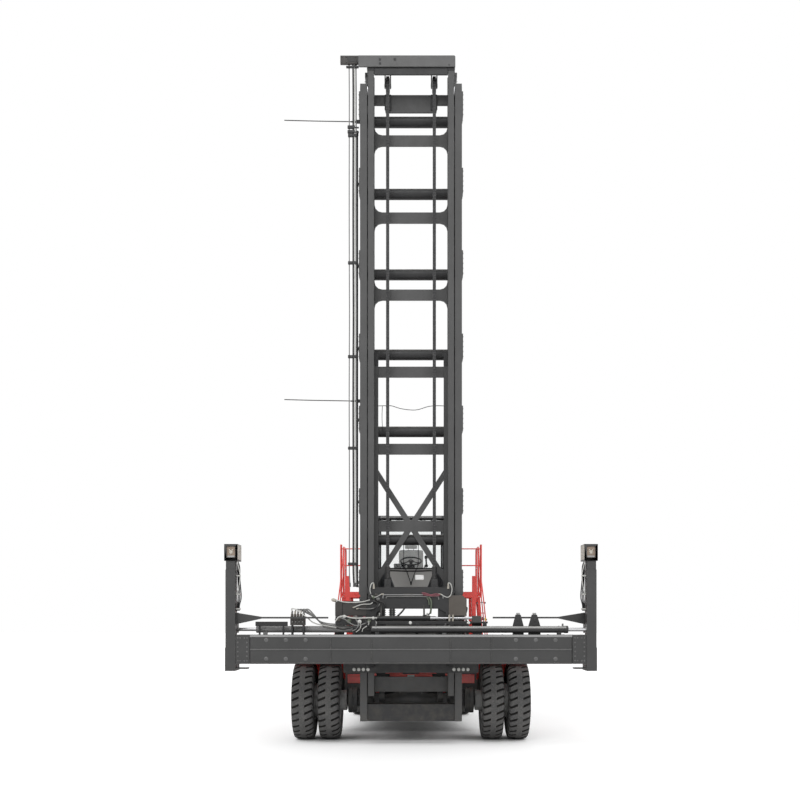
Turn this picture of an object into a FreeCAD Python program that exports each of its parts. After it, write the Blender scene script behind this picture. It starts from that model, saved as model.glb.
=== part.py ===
import FreeCAD, Part
import math
import os

# Empty container handler: a lift truck with a tall two-stage mast and a side-lifting spreader.
# Millimetres. +X is to the right as seen from in front, -Y is forward, +Z is up. The row's origin is
# on the ground under the middle of the whole machine. Inside this file lengths along Y are counted
# from the drive axle.

os.makedirs("parts", exist_ok=True)
V = FreeCAD.Vector

# ---------------------------------------------------------------- driving dimensions
running_gap = 5.0            # between pieces that slide or turn past each other
pin_gap = 0.5                # round a pin, a rod or a shaft
bar_sides = 8                # flats that stand for a round on bars and tubes
lap = 1.0                    # how far welded plates run into each other

# wheels
tyre_radius = 690.0          # 14.00-24, to the lug tips
tyre_width = 385.0
tread_width = 340.0
shoulder_drop = 45.0
tyre_sides = 20              # flats round the tread
rim_sides = 8
lugs_per_side = 10
lug_depth = 38.0
lug_gap = 68.0
lug_reach = 135.0            # from the tyre's side towards the middle of the tread
lug_slant = 14.0             # degrees
bead_inset = 30.0
bead_height = 30.0
sidewall_height = 70.0
rim_radius = 305.0
rim_wall = 20.0
rim_disc = 30.0
hub_radius = 190.0
hub_inner_x = 1140.0
hub_outer_x = 1960.0
hub_cap = 25.0
front_disc_x = 1760.0
twin_spacing = 460.0
front_half_width = 2090.0    # centre line to the outer tyre's side
wheelbase = 4500.0

# drive axle
axle_tube_radius = 105.0
axle_half_length = 1120.0
diff_radius = 240.0
diff_reach = 130.0
diff_chamfer = 60.0
brake_radius = 225.0
brake_length = 170.0
spindle_radius = 80.0
spindle_tip_x = 1490.0

# steer axle
kingpin_x = 860.0
kingpin_radius = 40.0
kingpin_boss_radius = 60.0
steer_offset = 270.0         # kingpin to the middle of the tyre
steer_beam_half_length = 700.0
fork_lap = 10.0
steer_beam_depth = 240.0
steer_beam_height = 260.0
knuckle_spindle_radius = 55.0
rear_hub_radius = 130.0
rear_hub_reach = 90.0
rear_spindle_reach = 50.0
kingpin_ear = 45.0
trunnion_radius = 70.0
trunnion_reach = 60.0
trunnion_plate = 50.0
trunnion_ear = 120.0
trunnion_drop = 10.0         # its middle below the beam's top

# chassis
rail_inner_x = 470.0
rail_plate = 90.0
rail_front_y = -240.0
rail_bottom_z = 620.0
rail_top_z = 1120.0
rail_climb = 1150.0          # the rails start to climb this far ahead of the steer axle
rail_climb_length = 330.0
rail_climb_set = 180.0       # the top edge climbs this much earlier
rail_high_z = 1430.0
rail_tail = 500.0            # behind the steer axle
rail_rear_top_z = 1720.0
front_beam_z = 1050.0
front_beam_height = 300.0
front_beam_half = 600.0
front_beam_plate = 50.0
outrigger_y = (1150.0, 2020.0)
outrigger_x = 1250.0
outrigger_plate = 120.0
outrigger_z = 1150.0
outrigger_height = 330.0
outrigger_web = 250.0
cradle_lap = 60.0
cradle_roof = 80.0
cross_member_lead = 160.0    # ahead of the engine
cross_member_plate = 100.0
cross_member_z = 760.0
cross_member_height = 300.0

# counterweight and engine
rear_overhang = 1100.0       # steer axle to the tail
weight_half_width = 1240.0
weight_lead = 880.0          # ahead of the steer axle
weight_under_z = 1445.0
weight_tail = 850.0          # behind the steer axle, where the tail drops
weight_bottom_z = 700.0
weight_top_z = 2060.0
grille_half_width = 430.0
grille_bottom_z = 1180.0
grille_top_z = 1780.0
grille_depth = 80.0
grille_bar = 16.0
grille_bars = 9
grille_back = 20.0
grille_stile = 30.0
grille_set_in = 12.0
weight_chamfer = 120.0
weight_corner = 260.0
weight_tail_drop = 260.0
weight_tail_slope = 170.0
hitch_set_in = 110.0
hitch_radius = 27.0
hitch_below = 90.0
hitch_pocket = 110.0
hitch_pocket_height = 110.0
hitch_top = 290.0
hood_front_y = 2400.0
hood_slots = 5
hood_slot_pitch = 110.0
hood_slot_height = 50.0
hood_slot_start = 250.0
hood_slot_lead = 140.0
hood_slot_length = 600.0
cover_front_y = 150.0
cover_top_z = 2050.0
cover_depth = 200.0
cover_slope = 500.0
cover_nose = 400.0
hood_half_width = 610.0
hood_wall = 25.0
hood_top_z = 2130.0
lid_thickness = 45.0
lid_chamfer = 20.0
engine_front_y = 2560.0
engine_bottom_z = 1150.0
engine_length = 1000.0
engine_width = 760.0
engine_height = 820.0

# mast
pivot_y = -340.0
pivot_z = 770.0
pivot_x = 600.0              # middle of each hinge lug
pivot_pin_radius = 35.0
pivot_lug = 70.0
pivot_lug_radius = 70.0
pivot_ear_radius = 75.0
pivot_outer_plate = 30.0
outer_half_width = 876.0
outer_flange = 120.0
outer_web = 30.0
outer_flange_plate = 45.0
outer_front_y = -800.0
outer_depth = 360.0
outer_bottom_z = 390.0
outer_top_z = 11350.0
outer_bevel = 60.0
tilt_root = 200.0             # half the height of the tilt eye's root on the column
pin_proud = 15.0
stage_gap = 17.0             # outer stage flange to inner stage web
inner_flange = 103.0
inner_web = 30.0
inner_flange_plate = 40.0
inner_front_y = -820.0
inner_depth = 350.0
inner_bottom_z = 827.0
inner_top_z = 11610.0
tie_tube_radius = 94.0
tie_tube_z = (3540.0, 5441.0, 6796.0, 8205.0, 9621.0, 10888.0)
tie_tube_y = -370.0
tie_shoe = 100.0
foot_beam_z = 390.0
foot_beam_height = 290.0
foot_beam_front_y = -760.0
foot_beam_rear_y = -440.0
top_tie_height = 185.0
top_tie_drop = 130.0
top_tie_half = 464.0
top_tie_z = 11153.0
tie_plate = 30.0
tie_plate_set_in = 40.0
tie_shoe_lap = 20.0
rung_height = 188.0
rung_drop = 1012.0           # from the columns' tops to the first rung
rung_pitch = 1347.0
rung_count = 6
gusset = 130.0               # curved corner plates on the rungs above the stiffeners
gusset_flats = 3
foot_rung_z = 1008.0
foot_rung_height = 260.0
stiffener = 65.0
stiffener_top_z = 6810.0
brace_width = 98.0
brace_reach = 890.0          # up and down from the lowest rung's middle, at the columns
brace_plate = 25.0
brace_set_back = 5.0
doubler = 20.0
doubler_height = 430.0
doubler_tops = (11229.0, 9913.0, 8495.0, 7060.0, 5820.0, 4400.0, 3000.0)
crosshead_left_x = -940.0
crosshead_right_x = 760.0
crosshead_height = 195.0
crosshead_web = 124.0
crosshead_front_y = -860.0
crosshead_depth = 360.0
crosshead_apron_set = 30.0
crosshead_plate = 30.0
crosshead_pad = 90.0

# lift chains and cylinders
chain_x = 404.0
chain_y = -660.0
chain_width = 57.0
chain_thickness = 36.0
chain_flats = 8
sheave_radius = 117.0
sheave_width = 66.0
sheave_pin_radius = 35.0
sheave_cheek = 18.0
sheave_cheek_half = 60.0
chain_end_z = 3060.0         # the threaded end rods start here
chain_rod_radius = 32.0
chain_nut_radius = 48.0
chain_nut_height = 60.0
chain_rod_foot_z = 2560.0
chain_lug_z = 2625.0
chain_lug_half = 80.0
chain_lug_plate = 60.0
lift_cyl_x = 755.0
lift_cyl_y = -188.0
lift_barrel_radius = 80.0
lift_barrel_bore = 60.0
lift_rod_radius = 50.0
lift_foot_z = 900.0
lift_plug = 40.0
lift_gland = 60.0
lift_gland_wall = 12.0
lift_clip_z = 6100.0
lift_barrel_top_z = 10150.0
hose_block_width = 275.0
hose_clamp_z = (3100.0, 5100.0, 6680.0, 8300.0, 10500.0)
hose_block_height = 160.0
hose_block_rise = 30.0
hose_block_half = 100.0
hose_clamp = 25.0
hose_radius = 15.0
hose_x = (-998.0, -1066.0)
hose_y = -700.0
hose_foot_z = 2700.0
pipe_radius = 16.0
pipe_x = -932.0
pipe_y = -600.0
pipe_top_z = 10630.0
pipe_foot_z = 2700.0
pipe_sides = 4
pipe_clip = 28.0
feeler_radius = 8.0
feeler_tip_x = -2200.0
feeler_z = (5895.0, 10705.0)

# tilt cylinders
tilt_x = 945.0
tilt_eye_y = -360.0
tilt_eye_z = 2330.0
tilt_foot_y = 1150.0
tilt_foot_z = 1600.0
tilt_barrel_radius = 75.0
tilt_barrel_bore = 58.0
tilt_rod_radius = 40.0
tilt_eye_radius = 62.0
tilt_eye_width = 70.0
tilt_pin_radius = 30.0
tilt_pin_play = 2.2             # the eye's slack, taken up as the mast leans
tilt_lug_plate = 24.0
tilt_barrel_length = 1120.0
tilt_rod_start = 520.0
tilt_neck = 85.0             # from an eye's middle to the barrel's closed end
tilt_neck_radius = 40.0
tilt_neck_half = 30.0
tilt_base = 50.0
tilt_gland_wall = 8.0

# carriage
carriage_half_width = 600.0
carriage_side_plate = 40.0
carriage_rear_y = -560.0
carriage_bottom_z = 1240.0
carriage_bar_height = 215.0
carriage_roller_radius = 120.0
carriage_roller_y = -645.0
carriage_roller_z = (1420.0, 2250.0)
carriage_side_top_z = 2430.0
carriage_bar_z = 2475.0
carriage_bar_half = 745.0
carriage_bar_chamfer = 120.0
arch_bar_z = 2325.0          # the arched bar under the crossbar
arch_bar_drop = 60.0
arch_bar_half = 590.0
arch_bar_flat = 480.0
slide_front_y = -980.0
slide_rear_y = -860.0
slide_half = 1150.0
lower_slide_z = 1235.0
lower_slide_height = 150.0
middle_slide_z = 1680.0
middle_slide_height = 160.0
upright_width = 140.0
hook_reach = 40.0            # the spreader's hooks behind the slides' fronts
hook_height = 60.0
wing_left = (-1290.0, -590.0, 2203.0, 2455.0)    # outer x, inner x, foot z, top z
wing_right = (947.0, 590.0, 2203.0, 2560.0)
wing_chamfer = 75.0
wing_rear_y = -820.0
chain_cup_radius = 60.0
chain_cup_top = 52.0
chain_cup_height = 160.0

# spreader
spreader_front_y = -1800.0
beam_depth = 420.0
ledge_reach = 12.0           # the ledges along the beam's front stand this far out
ledge_z = 1655.0
ledge_height = 16.0
ledge_edge = 24.0
beam_height = 470.0
beam_bottom_z = 1428.0
beam_wall = 20.0
arm_wall = 14.0
arm_inner_x = 1450.0         # how far each arm reaches past the middle
shift_arm_x = 620.0
shift_arm_width = 130.0
shift_tie_depth = 60.0
shift_tie_height = 200.0
collar_gap = 10.0
collar_width = 227.0
post_width = 157.0
post_depth = 200.0
post_gap = 5.0
post_bottom_z = 1314.0
post_joint_z = 1690.0
post_sleeve = 8.0            # the lower part is this much thicker on its outer side
post_top_z = 2958.0
stub_reach = 200.0
stub_z = 1345.0
stub_plate = 20.0
head_width = 215.0
head_depth = 380.0
head_height = 258.0
head_bottom_z = 3114.0
head_foot_plate = 12.0
neck_half_width = 75.0
corner_pitch_half = 2920.0   # middle to the twistlock
post_set_out = 8.5           # the post's middle outside the twistlock
twistlock_radius = 38.0
twistlock_reach = 95.0
head_recess = 110.0
head_wall = 36.0
stay_z = 2177.0
stay_height = 28.0
stay_thickness = 30.0
stay_y = (-1700.0, -1500.0)  # left, right
stay_end_x = 1350.0
stay_gusset = 420.0
stay_root_drop = 107.0
stay_root_rise = 83.0
ext_cyl_radius = 55.0
ext_cyl_bore = 38.0
ext_rod_radius = 30.0
ext_cyl_z = 1985.0
ext_cyl_y = (-1440.0, -1710.0)
ext_cyl_start = 650.0        # the barrel's closed end, past the middle
ext_cyl_end = 2560.0
ext_plug = 50.0
ext_gland_wall = 6.0
ext_rod_clear = 120.0
valve_x = -1976.0
valve_width = 240.0
valve_front_y = -1640.0
valve_depth = 140.0
valve_height = 300.0
shift_cyl_z = 2165.0
shift_cyl_y = -1100.0
shift_cyl_radius = 40.0
shift_cyl_bore = 30.0
shift_rod_radius = 22.0
shift_barrel_x = (-580.0, 326.0)
shift_rod_end = (-1120.0, 1030.0)
shift_ear_width = 150.0
shift_ear_plate = 40.0
shift_ear_root = 240.0
shift_strap = 60.0

# cab, decks and ladders
cab_half_width = 700.0
cab_front_y = 450.0
cab_rear_y = 2150.0
cab_floor_z = 2565.0
cab_floor_plate = 90.0
cab_top_z = 4035.0
cab_roof_plate = 45.0
cab_wall = 50.0
pillar = 80.0
sill_z = 3060.0
sill_depth = 60.0
front_panel_top = 420.0
front_panel_foot = 290.0
roof_lip = 40.0
hatch_half = 400.0
hatch_front_y = 800.0
hatch_rear_y = 1700.0
glass = 12.0
glass_set_in = 30.0
door_front_y = 985.0
door_rear_y = 1745.0
door_thickness = 40.0
door_frame = 70.0
cab_mount_x = 680.0
mount_width = 100.0
seat_y = 1250.0
seat_z = 2930.0
seat_box = 190.0
seat_box_depth = 380.0
seat_post_half = 60.0
seat_plate = 40.0
cushion_half = 245.0
cushion_depth = 440.0
cushion_height = 110.0
cushion_lead = 60.0
back_front = 400.0           # from the seat's front datum to the backrest
back_rear = 505.0
back_foot = 115.0
back_height = 560.0
back_lean = 12.0
headrest_half = 120.0
headrest_set_in = 45.0
headrest_foot = 575.0
headrest_top = 760.0
console_y = 560.0
console_z = 3150.0
wheel_radius = 190.0
wheel_tube = 15.0
wheel_flats = 10
wheel_rise = 110.0
wheel_tilt = math.radians(25.0)
console_foot = 150.0
console_head = 140.0
console_lean = 120.0
console_half = 70.0
exhaust_x = 760.0
exhaust_y = 2900.0
exhaust_top_z = 3300.0
exhaust_length = 1670.0
exhaust_pipe = 65.0
silencer_length = 1170.0
silencer_radius = 130.0
lamp_set_in = 20.0
lamp_height = 120.0
lamp_depth = 90.0
lamp_radius = 70.0
lamp_stem = 20.0
deck_inner_x = 740.0
deck_outer_x = 1250.0
deck_z = 2540.0
deck_plate = 110.0
deck_skin = 10.0
deck_edge = 40.0
deck_leg_x = 1155.0
deck_leg = 80.0
deck_front_y = 900.0
deck_rear_y = 2350.0
deck_cheek = (1150.0, 1225.0, 300.0)     # inner x, outer x, height of the plate at the front corner
deck_cheek_foot_z = 2150.0
ladder_front_y = 1010.0
ladder_rear_y = 1560.0
ladder_plate = 24.0
ladder_width = 50.0          # of a stringer
ladder_top_x = 1251.0
ladder_foot_x = 1420.0
ladder_foot_z = 480.0
tread_pitch = 320.0
tread_depth = 150.0
tread_plate = 30.0
rail_tube = 20.0
rail_rod = 11.0
rail_sides = 4
rail_height = 890.0
rail_high = 813.0
rail_mid = 497.0
rail_stand_off = 70.0
grab_rail = ((-10.0, 3120.0), (70.0, 2380.0), (140.0, 1650.0))
grab_foot_z = 1200.0
tank_inner_x = 600.0
tank_outer_x = 1330.0
tank_front_y = 960.0
tank_clear = 1200.0          # its rear end ahead of the steer axle
tank_chamfer = 60.0
tank_bottom_z = 520.0
tank_top_z = 1149.0
fender_gap = 90.0
fender_plate = 10.0
fender_front_angle = 118.0   # from straight back, over the top
fender_rear_angle = 25.0
fender_leg_x = 1150.0
fender_flats = 8
fender_margin = 20.0
fender_stay = 50.0
fender_foot = 60.0
fender_foot_depth = 200.0

# ---------------------------------------------------------------- sizes that follow
rear_end_y = wheelbase + rear_overhang
weight_front_y = wheelbase - weight_lead
weight_tail_y = wheelbase + weight_tail
rail_rise_y = wheelbase - rail_climb
rail_high_y = rail_rise_y + rail_climb_length
rail_rear_y = wheelbase + rail_tail
rail_outer_x = rail_inner_x + rail_plate
outrigger_top_z = outrigger_z + outrigger_height
origin_y = -(spreader_front_y + rear_end_y) / 2.0    # from the drive axle to the row's origin
outer_tyre_x = front_half_width - tyre_width / 2.0
inner_tyre_x = outer_tyre_x - twin_spacing
rear_wheel_x = kingpin_x + steer_offset
rear_disc_out = 20.0
axle_z = tyre_radius
outer_rear_y = outer_front_y + outer_depth
outer_clear_x = outer_half_width - outer_flange
inner_half_width = outer_clear_x - stage_gap
inner_clear_x = inner_half_width - inner_flange
inner_rear_y = inner_front_y + inner_depth
rung_top_z = inner_top_z - rung_drop
crosshead_top_z = inner_top_z + crosshead_height
sheave_rim = sheave_radius + chain_thickness
sheave_z = inner_top_z - sheave_rim - running_gap
sheave_y = chain_y + sheave_radius + chain_thickness / 2.0
post_x = corner_pitch_half + post_set_out
post_inner_x = post_x - post_width / 2.0
post_outer_x = post_x + post_width / 2.0
collar_outer_x = post_inner_x - post_gap
collar_inner_x = collar_outer_x - collar_width
beam_half_length = collar_inner_x - collar_gap
beam_top_z = beam_bottom_z + beam_height
beam_rear_y = spreader_front_y + beam_depth
pocket_depth = (beam_depth - ledge_reach - 3.0 * beam_wall) / 2.0
front_pocket_y = spreader_front_y + ledge_reach + beam_wall
rear_pocket_y = front_pocket_y + pocket_depth + beam_wall
upright_front_y = slide_front_y + hook_reach + running_gap
front_bay_end_y = door_front_y - running_gap - pillar
rear_bay_y = door_rear_y + running_gap + pillar
cradle_gap = steer_beam_depth / 2.0 + running_gap
cradle_z = axle_z + steer_beam_height / 2.0 - trunnion_drop
floor_top_z = cab_floor_z + cab_floor_plate
roof_z = cab_top_z - cab_roof_plate
deck_top_z = deck_z + deck_plate
tilt_length = math.hypot(tilt_eye_y - tilt_foot_y, tilt_eye_z - tilt_foot_z)
# ---------------------------------------------------------------- end of sizes


# ---------------------------------------------------------------- shapes
def block(x0, x1, y0, y1, z0, z1):
    """A box between two corners, given in any order."""
    lo = V(min(x0, x1), min(y0, y1), min(z0, z1))
    return Part.makeBox(abs(x1 - x0), abs(y1 - y0), abs(z1 - z0), lo)


def round_bar(start, end, radius):
    """A true round between two points, for what a stranger's part fits."""
    start, end = V(*start), V(*end)
    return Part.makeCylinder(radius, (end - start).Length, start, end - start)


def frame_across(direction):
    """Two unit vectors square to a direction and to each other."""
    direction = V(direction).normalize()
    helper = V(0, 0, 1) if abs(direction.z) < 0.9 else V(1, 0, 0)
    across = direction.cross(helper).normalize()
    return across, direction.cross(across).normalize()


def bar(start, end, radius, sides=bar_sides):
    """A bar between two points in flats, each flat at the radius."""
    start, end = V(*start), V(*end)
    across, over = frame_across(end - start)
    reach = radius / math.cos(math.pi / sides)
    corners = []
    for i in range(sides):
        angle = (i + 0.5) * 2.0 * math.pi / sides
        corners.append(start + across * (reach * math.cos(angle)) + over * (reach * math.sin(angle)))
    return Part.Face(Part.makePolygon(corners + corners[:1])).extrude(end - start)


def pipe(start, end, radius, bore):
    """A tube between two points in flats."""
    return bar(start, end, radius).cut(bar(start, end, bore))


def turning_bore(radius):
    """The bore in flats that a bar of this radius, also in flats, can turn in."""
    return radius / math.cos(math.pi / bar_sides) + pin_gap


def tube_run(points, radius, sides=6, closed=False):
    """A thin tube mitred through points, with flats instead of a round."""
    points = [V(*p) for p in points]
    count = len(points)
    spans = [(points[(i + 1) % count] - points[i]).normalize() for i in range(count if closed else count - 1)]
    across, over = frame_across(spans[0])
    reach = radius / math.cos(math.pi / sides)
    first = []
    for i in range(sides):
        angle = (i + 0.5) * 2.0 * math.pi / sides
        first.append(points[0] + across * (reach * math.cos(angle)) + over * (reach * math.sin(angle)))

    def carried(ring, span, corner, normal):
        return [p + span * ((corner - p).dot(normal) / span.dot(normal)) for p in ring]

    if closed:
        first = carried(first, spans[0], points[0], (spans[-1] + spans[0]).normalize())
    rings = [first]
    for i, span in enumerate(spans):
        last = i + 1 == len(spans)
        if last and closed:
            rings.append(rings[0])
            continue
        normal = span if last else (span + spans[i + 1]).normalize()
        rings.append(carried(rings[-1], span, points[(i + 1) % count], normal))
    faces = []
    for low, high in zip(rings, rings[1:]):
        for i in range(sides):
            j = (i + 1) % sides
            faces.append(Part.Face(Part.makePolygon([low[i], high[i], high[j], low[j], low[i]])))
    if not closed:
        for ring in (rings[0], rings[-1]):
            faces.append(Part.Face(Part.makePolygon(ring + ring[:1])))
    solid = Part.makeSolid(Part.makeShell(faces))
    if solid.Volume < 0:
        solid.reverse()
    return solid


def outline(points, plane, low, high):
    """A flat outline pushed from low to high across its plane: 'yz' along X, 'xz' along Y, 'xy' along Z."""
    place = {
        "yz": lambda a, b: V(low, a, b),
        "xz": lambda a, b: V(a, low, b),
        "xy": lambda a, b: V(a, b, low),
    }[plane]
    push = {"yz": V(1, 0, 0), "xz": V(0, 1, 0), "xy": V(0, 0, 1)}[plane]
    corners = [place(a, b) for a, b in points]
    face = Part.Face(Part.makePolygon(corners + corners[:1]))
    return face.extrude(push * (high - low))


def lug(centre, radius, root_a, root_b, low, high, flats=4):
    """A plate across X with a rounded nose at a pin: the centre and the two roots are (y, z)."""
    cy, cz = centre
    start = math.atan2(root_a[1] - cz, root_a[0] - cy)
    end = math.atan2(root_b[1] - cz, root_b[0] - cy)
    from_a = start + math.acos(radius / math.hypot(root_a[0] - cy, root_a[1] - cz))
    to_b = end - math.acos(radius / math.hypot(root_b[0] - cy, root_b[1] - cz))
    while to_b < from_a:
        to_b += 2.0 * math.pi
    step = (to_b - from_a) / flats
    reach = radius / math.cos(step / 2.0)
    nose = [(
        cy + reach * math.cos(from_a + (i + 0.5) * step), cz + reach * math.sin(from_a + (i + 0.5) * step)
    )
            for i in range(flats)]
    return outline([root_a] + nose + [root_b], "yz", low, high)


def mirrored(shape):
    """The same piece on the other side of the machine."""
    return shape.mirror(V(0, 0, 0), V(1, 0, 0))


def both(shape):
    return [shape, mirrored(shape)]


def joined(shapes):
    """Several shapes welded into one, with no seams left."""
    shapes = list(shapes)
    return shapes[0].fuse(shapes[1:]).removeSplitter() if len(shapes) > 1 else shapes[0]


def without(shape, *tools):
    return shape.cut(list(tools)).removeSplitter()


def save(node, shapes):
    """One STEP file for a node, moved from the drive axle to the row's origin."""
    shapes = shapes if isinstance(shapes, list) else [shapes]
    solids = [solid for shape in shapes for solid in shape.Solids]
    whole = Part.makeCompound(solids)
    whole.translate(V(0, origin_y, 0))
    whole.exportStep(os.path.join("parts", node + ".step"))


# ---------------------------------------------------------------- wheels
def ring_corner(x, radius, i, sides):
    """Corner i of a polygon round the X axis whose flats lie at the radius, one of them straight down."""
    reach = radius / math.cos(math.pi / sides)
    angle = (i + 0.5) * 2.0 * math.pi / sides
    return V(x, reach * math.sin(angle), reach * math.cos(angle))


def ring_of_flats(profile, sides):
    """A ring round the X axis, in flats, with a closed profile of (x, radius)."""
    faces = []
    for (xa, ra), (xb, rb) in zip(profile, profile[1:] + profile[:1]):
        for i in range(sides):
            quad = [
                ring_corner(xa, ra, i, sides),
                ring_corner(xb, rb, i, sides),
                ring_corner(xb, rb, i + 1, sides),
                ring_corner(xa, ra, i + 1, sides),
            ]
            faces.append(Part.Face(Part.makePolygon(quad + quad[:1])))
    solid = Part.makeSolid(Part.makeShell(faces))
    if solid.Volume < 0:
        solid.reverse()
    return solid


def disc_of_flats(x0, x1, radius, sides):
    """A flat-sided disc round the X axis."""
    rim = [ring_corner(x0, radius, i, sides) for i in range(sides)]
    return Part.Face(Part.makePolygon(rim + rim[:1])).extrude(V(x1 - x0, 0, 0))


def tyre(x):
    """One tyre, its middle at x on the X axis, out to the tips of its lugs."""
    half, tread = tyre_width / 2.0, tread_width / 2.0
    seat = rim_radius + rim_wall
    side_radius = tyre_radius - shoulder_drop
    carcass = ring_of_flats([
        (-half + bead_inset, seat / 2.0),
        (-half + bead_inset, seat + bead_height),
        (-half, side_radius - sidewall_height),
        (-tread, tyre_radius),
        (tread, tyre_radius),
        (half, side_radius - sidewall_height),
        (half - bead_inset, seat + bead_height),
        (half - bead_inset, seat / 2.0),
    ], tyre_sides)
    bore = disc_of_flats(-half, half, seat, rim_sides)
    gaps = []
    for side in (-1.0, 1.0):
        for i in range(lugs_per_side):
            gap = block(-shoulder_drop, lug_reach, -lug_gap / 2.0, lug_gap / 2.0, -lug_depth, shoulder_drop)
            gap.rotate(V(0, 0, 0), V(0, 0, 1), lug_slant)
            if side > 0:
                gap.rotate(V(0, 0, 0), V(0, 0, 1), 180.0)
            gap.translate(V(side * half, 0, tyre_radius))
            step = 360.0 / lugs_per_side
            shift = 0.0 if side < 0 else step / 2.0
            gap.rotate(V(0, 0, 0), V(1, 0, 0), i * step + shift)
            gaps.append(gap)
    whole = without(carcass, bore, *gaps)
    whole.translate(V(x, 0, 0))
    return whole


def rim(inner_x, outer_x, disc_x, hub, hub_in, hub_out, bore):
    """A rim from the inner tyre's inner bead to the outer tyre's outer bead, on a hub over a spindle."""
    x0 = inner_x - tyre_width / 2.0 + bead_inset
    x1 = outer_x + tyre_width / 2.0 - bead_inset
    seat = rim_radius + rim_wall - pin_gap
    shell = ring_of_flats([
        (x0, rim_radius),
        (x0, seat),
        (x1, seat),
        (x1, rim_radius),
        (disc_x + rim_disc / 2.0, rim_radius),
        (disc_x + rim_disc / 2.0, hub),
        (hub_out, hub),
        (hub_out, bore),
        (hub_in, bore),
        (hub_in, hub),
        (disc_x - rim_disc / 2.0, hub),
        (disc_x - rim_disc / 2.0, rim_radius),
    ], rim_sides)
    cap = disc_of_flats(hub_out - hub_cap, hub_out, (hub + bore) / 2.0, rim_sides)
    return joined([shell, cap])


def set_wheel(shape, y):
    moved = shape.copy()
    moved.translate(V(0, y, axle_z))
    return moved


front_tyres = [set_wheel(tyre(x), 0.0) for x in (inner_tyre_x, outer_tyre_x)]
front_rims = set_wheel(
    rim(inner_tyre_x, outer_tyre_x, front_disc_x, hub_radius, hub_inner_x, hub_outer_x, turning_bore(spindle_radius)),
    0.0
)
rear_tyre = set_wheel(tyre(rear_wheel_x), wheelbase)
rear_rim = set_wheel(
    rim(
        rear_wheel_x,
        rear_wheel_x,
        rear_wheel_x + rear_disc_out,
        rear_hub_radius,
        rear_wheel_x - rear_hub_reach,
        rear_wheel_x + rear_hub_reach,
        turning_bore(knuckle_spindle_radius),
    ),
    wheelbase,
)
save("tyre_front_left", [mirrored(t) for t in front_tyres])
save("tyre_front_right", front_tyres)
save("rim_front_left", mirrored(front_rims))
save("rim_front_right", front_rims)
save("tyre_rear_left", mirrored(rear_tyre))
save("tyre_rear_right", rear_tyre)
save("rim_rear_left", mirrored(rear_rim))
save("rim_rear_right", rear_rim)


# ---------------------------------------------------------------- axles
def drive_axle():
    """The housing with its brakes and spindles, and the differential's bowl across it."""
    h = axle_half_length
    parts = [bar((-h, 0, axle_z), (h, 0, axle_z), axle_tube_radius)]
    parts.append(bar((-spindle_tip_x, 0, axle_z), (spindle_tip_x, 0, axle_z), spindle_radius))
    for side in (-1.0, 1.0):
        parts.append(bar((side * (h - brake_length), 0, axle_z), (side * h, 0, axle_z), brake_radius))
    bowl = bar((0, -diff_reach, axle_z), (0, diff_reach, axle_z), diff_radius)
    ends = [e for e in bowl.Edges if abs(abs(e.CenterOfMass.y) - diff_reach) < 1.0]
    return joined(parts + [bowl.makeChamfer(diff_chamfer, ends)])


def steer_axle():
    y0, y1 = wheelbase - steer_beam_depth / 2.0, wheelbase + steer_beam_depth / 2.0
    z0, z1 = axle_z - steer_beam_height / 2.0, axle_z + steer_beam_height / 2.0
    parts = [block(-steer_beam_half_length, steer_beam_half_length, y0, y1, z0, z1)]
    trunnion_y = steer_beam_depth / 2.0 + trunnion_reach
    parts.append(
        bar((0, wheelbase - trunnion_y, cradle_z), (0, wheelbase + trunnion_y, cradle_z), trunnion_radius)
    )
    for side in (-1.0, 1.0):
        for low, high in ((z0, z0 + kingpin_ear), (z1 - kingpin_ear, z1)):
            ear = block(
                side * (steer_beam_half_length - fork_lap),
                side * kingpin_x,
                wheelbase - kingpin_boss_radius,
                wheelbase + kingpin_boss_radius,
                low,
                high,
            )
            boss = bar(
                (side * kingpin_x, wheelbase, low),
                (side * kingpin_x, wheelbase, high), kingpin_boss_radius
            )
            parts += [ear, boss]
        parts.append(
            bar((side * kingpin_x, wheelbase, z0), (side * kingpin_x, wheelbase, z1), kingpin_radius)
        )
    return joined(parts)


def knuckle():
    """The right knuckle: a sleeve on the kingpin with the wheel's spindle and a steering arm."""
    z0 = axle_z - steer_beam_height / 2.0 + kingpin_ear + running_gap
    z1 = axle_z + steer_beam_height / 2.0 - kingpin_ear - running_gap
    sleeve = bar((kingpin_x, wheelbase, z0), (kingpin_x, wheelbase, z1), kingpin_boss_radius)
    spindle = bar(
        (kingpin_x, wheelbase, axle_z),
        (rear_wheel_x + rear_spindle_reach, wheelbase, axle_z),
        knuckle_spindle_radius,
    )
    hole = bar(
        (kingpin_x, wheelbase, z0 - 1.0), (kingpin_x, wheelbase, z1 + 1.0), turning_bore(kingpin_radius)
    )
    return without(sleeve.fuse(spindle), hole)


save("drive_axle", drive_axle())
save("steer_axle", steer_axle())
save("knuckle_left", mirrored(knuckle()))
save("knuckle_right", knuckle())


# ---------------------------------------------------------------- chassis
def pivot_ear(x0, x1):
    """One of the two plates that hold a mast hinge pin, ahead of a chassis rail."""
    return lug(
        (pivot_y, pivot_z),
        pivot_ear_radius,
        (rail_front_y + lap, rail_top_z),
        (rail_front_y + lap, rail_bottom_z),
        x0,
        x1,
    )


def steer_cradle(near, far):
    """One plate of the cradle that the steer axle rocks in."""
    half = trunnion_ear
    side = [
        (-half, rail_high_z + cradle_lap),
        (-half, cradle_z),
        (-half / 2.0, cradle_z - half * math.sqrt(0.75)),
        (half / 2.0, cradle_z - half * math.sqrt(0.75)),
        (half, cradle_z),
        (half, rail_high_z + cradle_lap),
    ]
    return outline(side, "xz", near, far)


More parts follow.
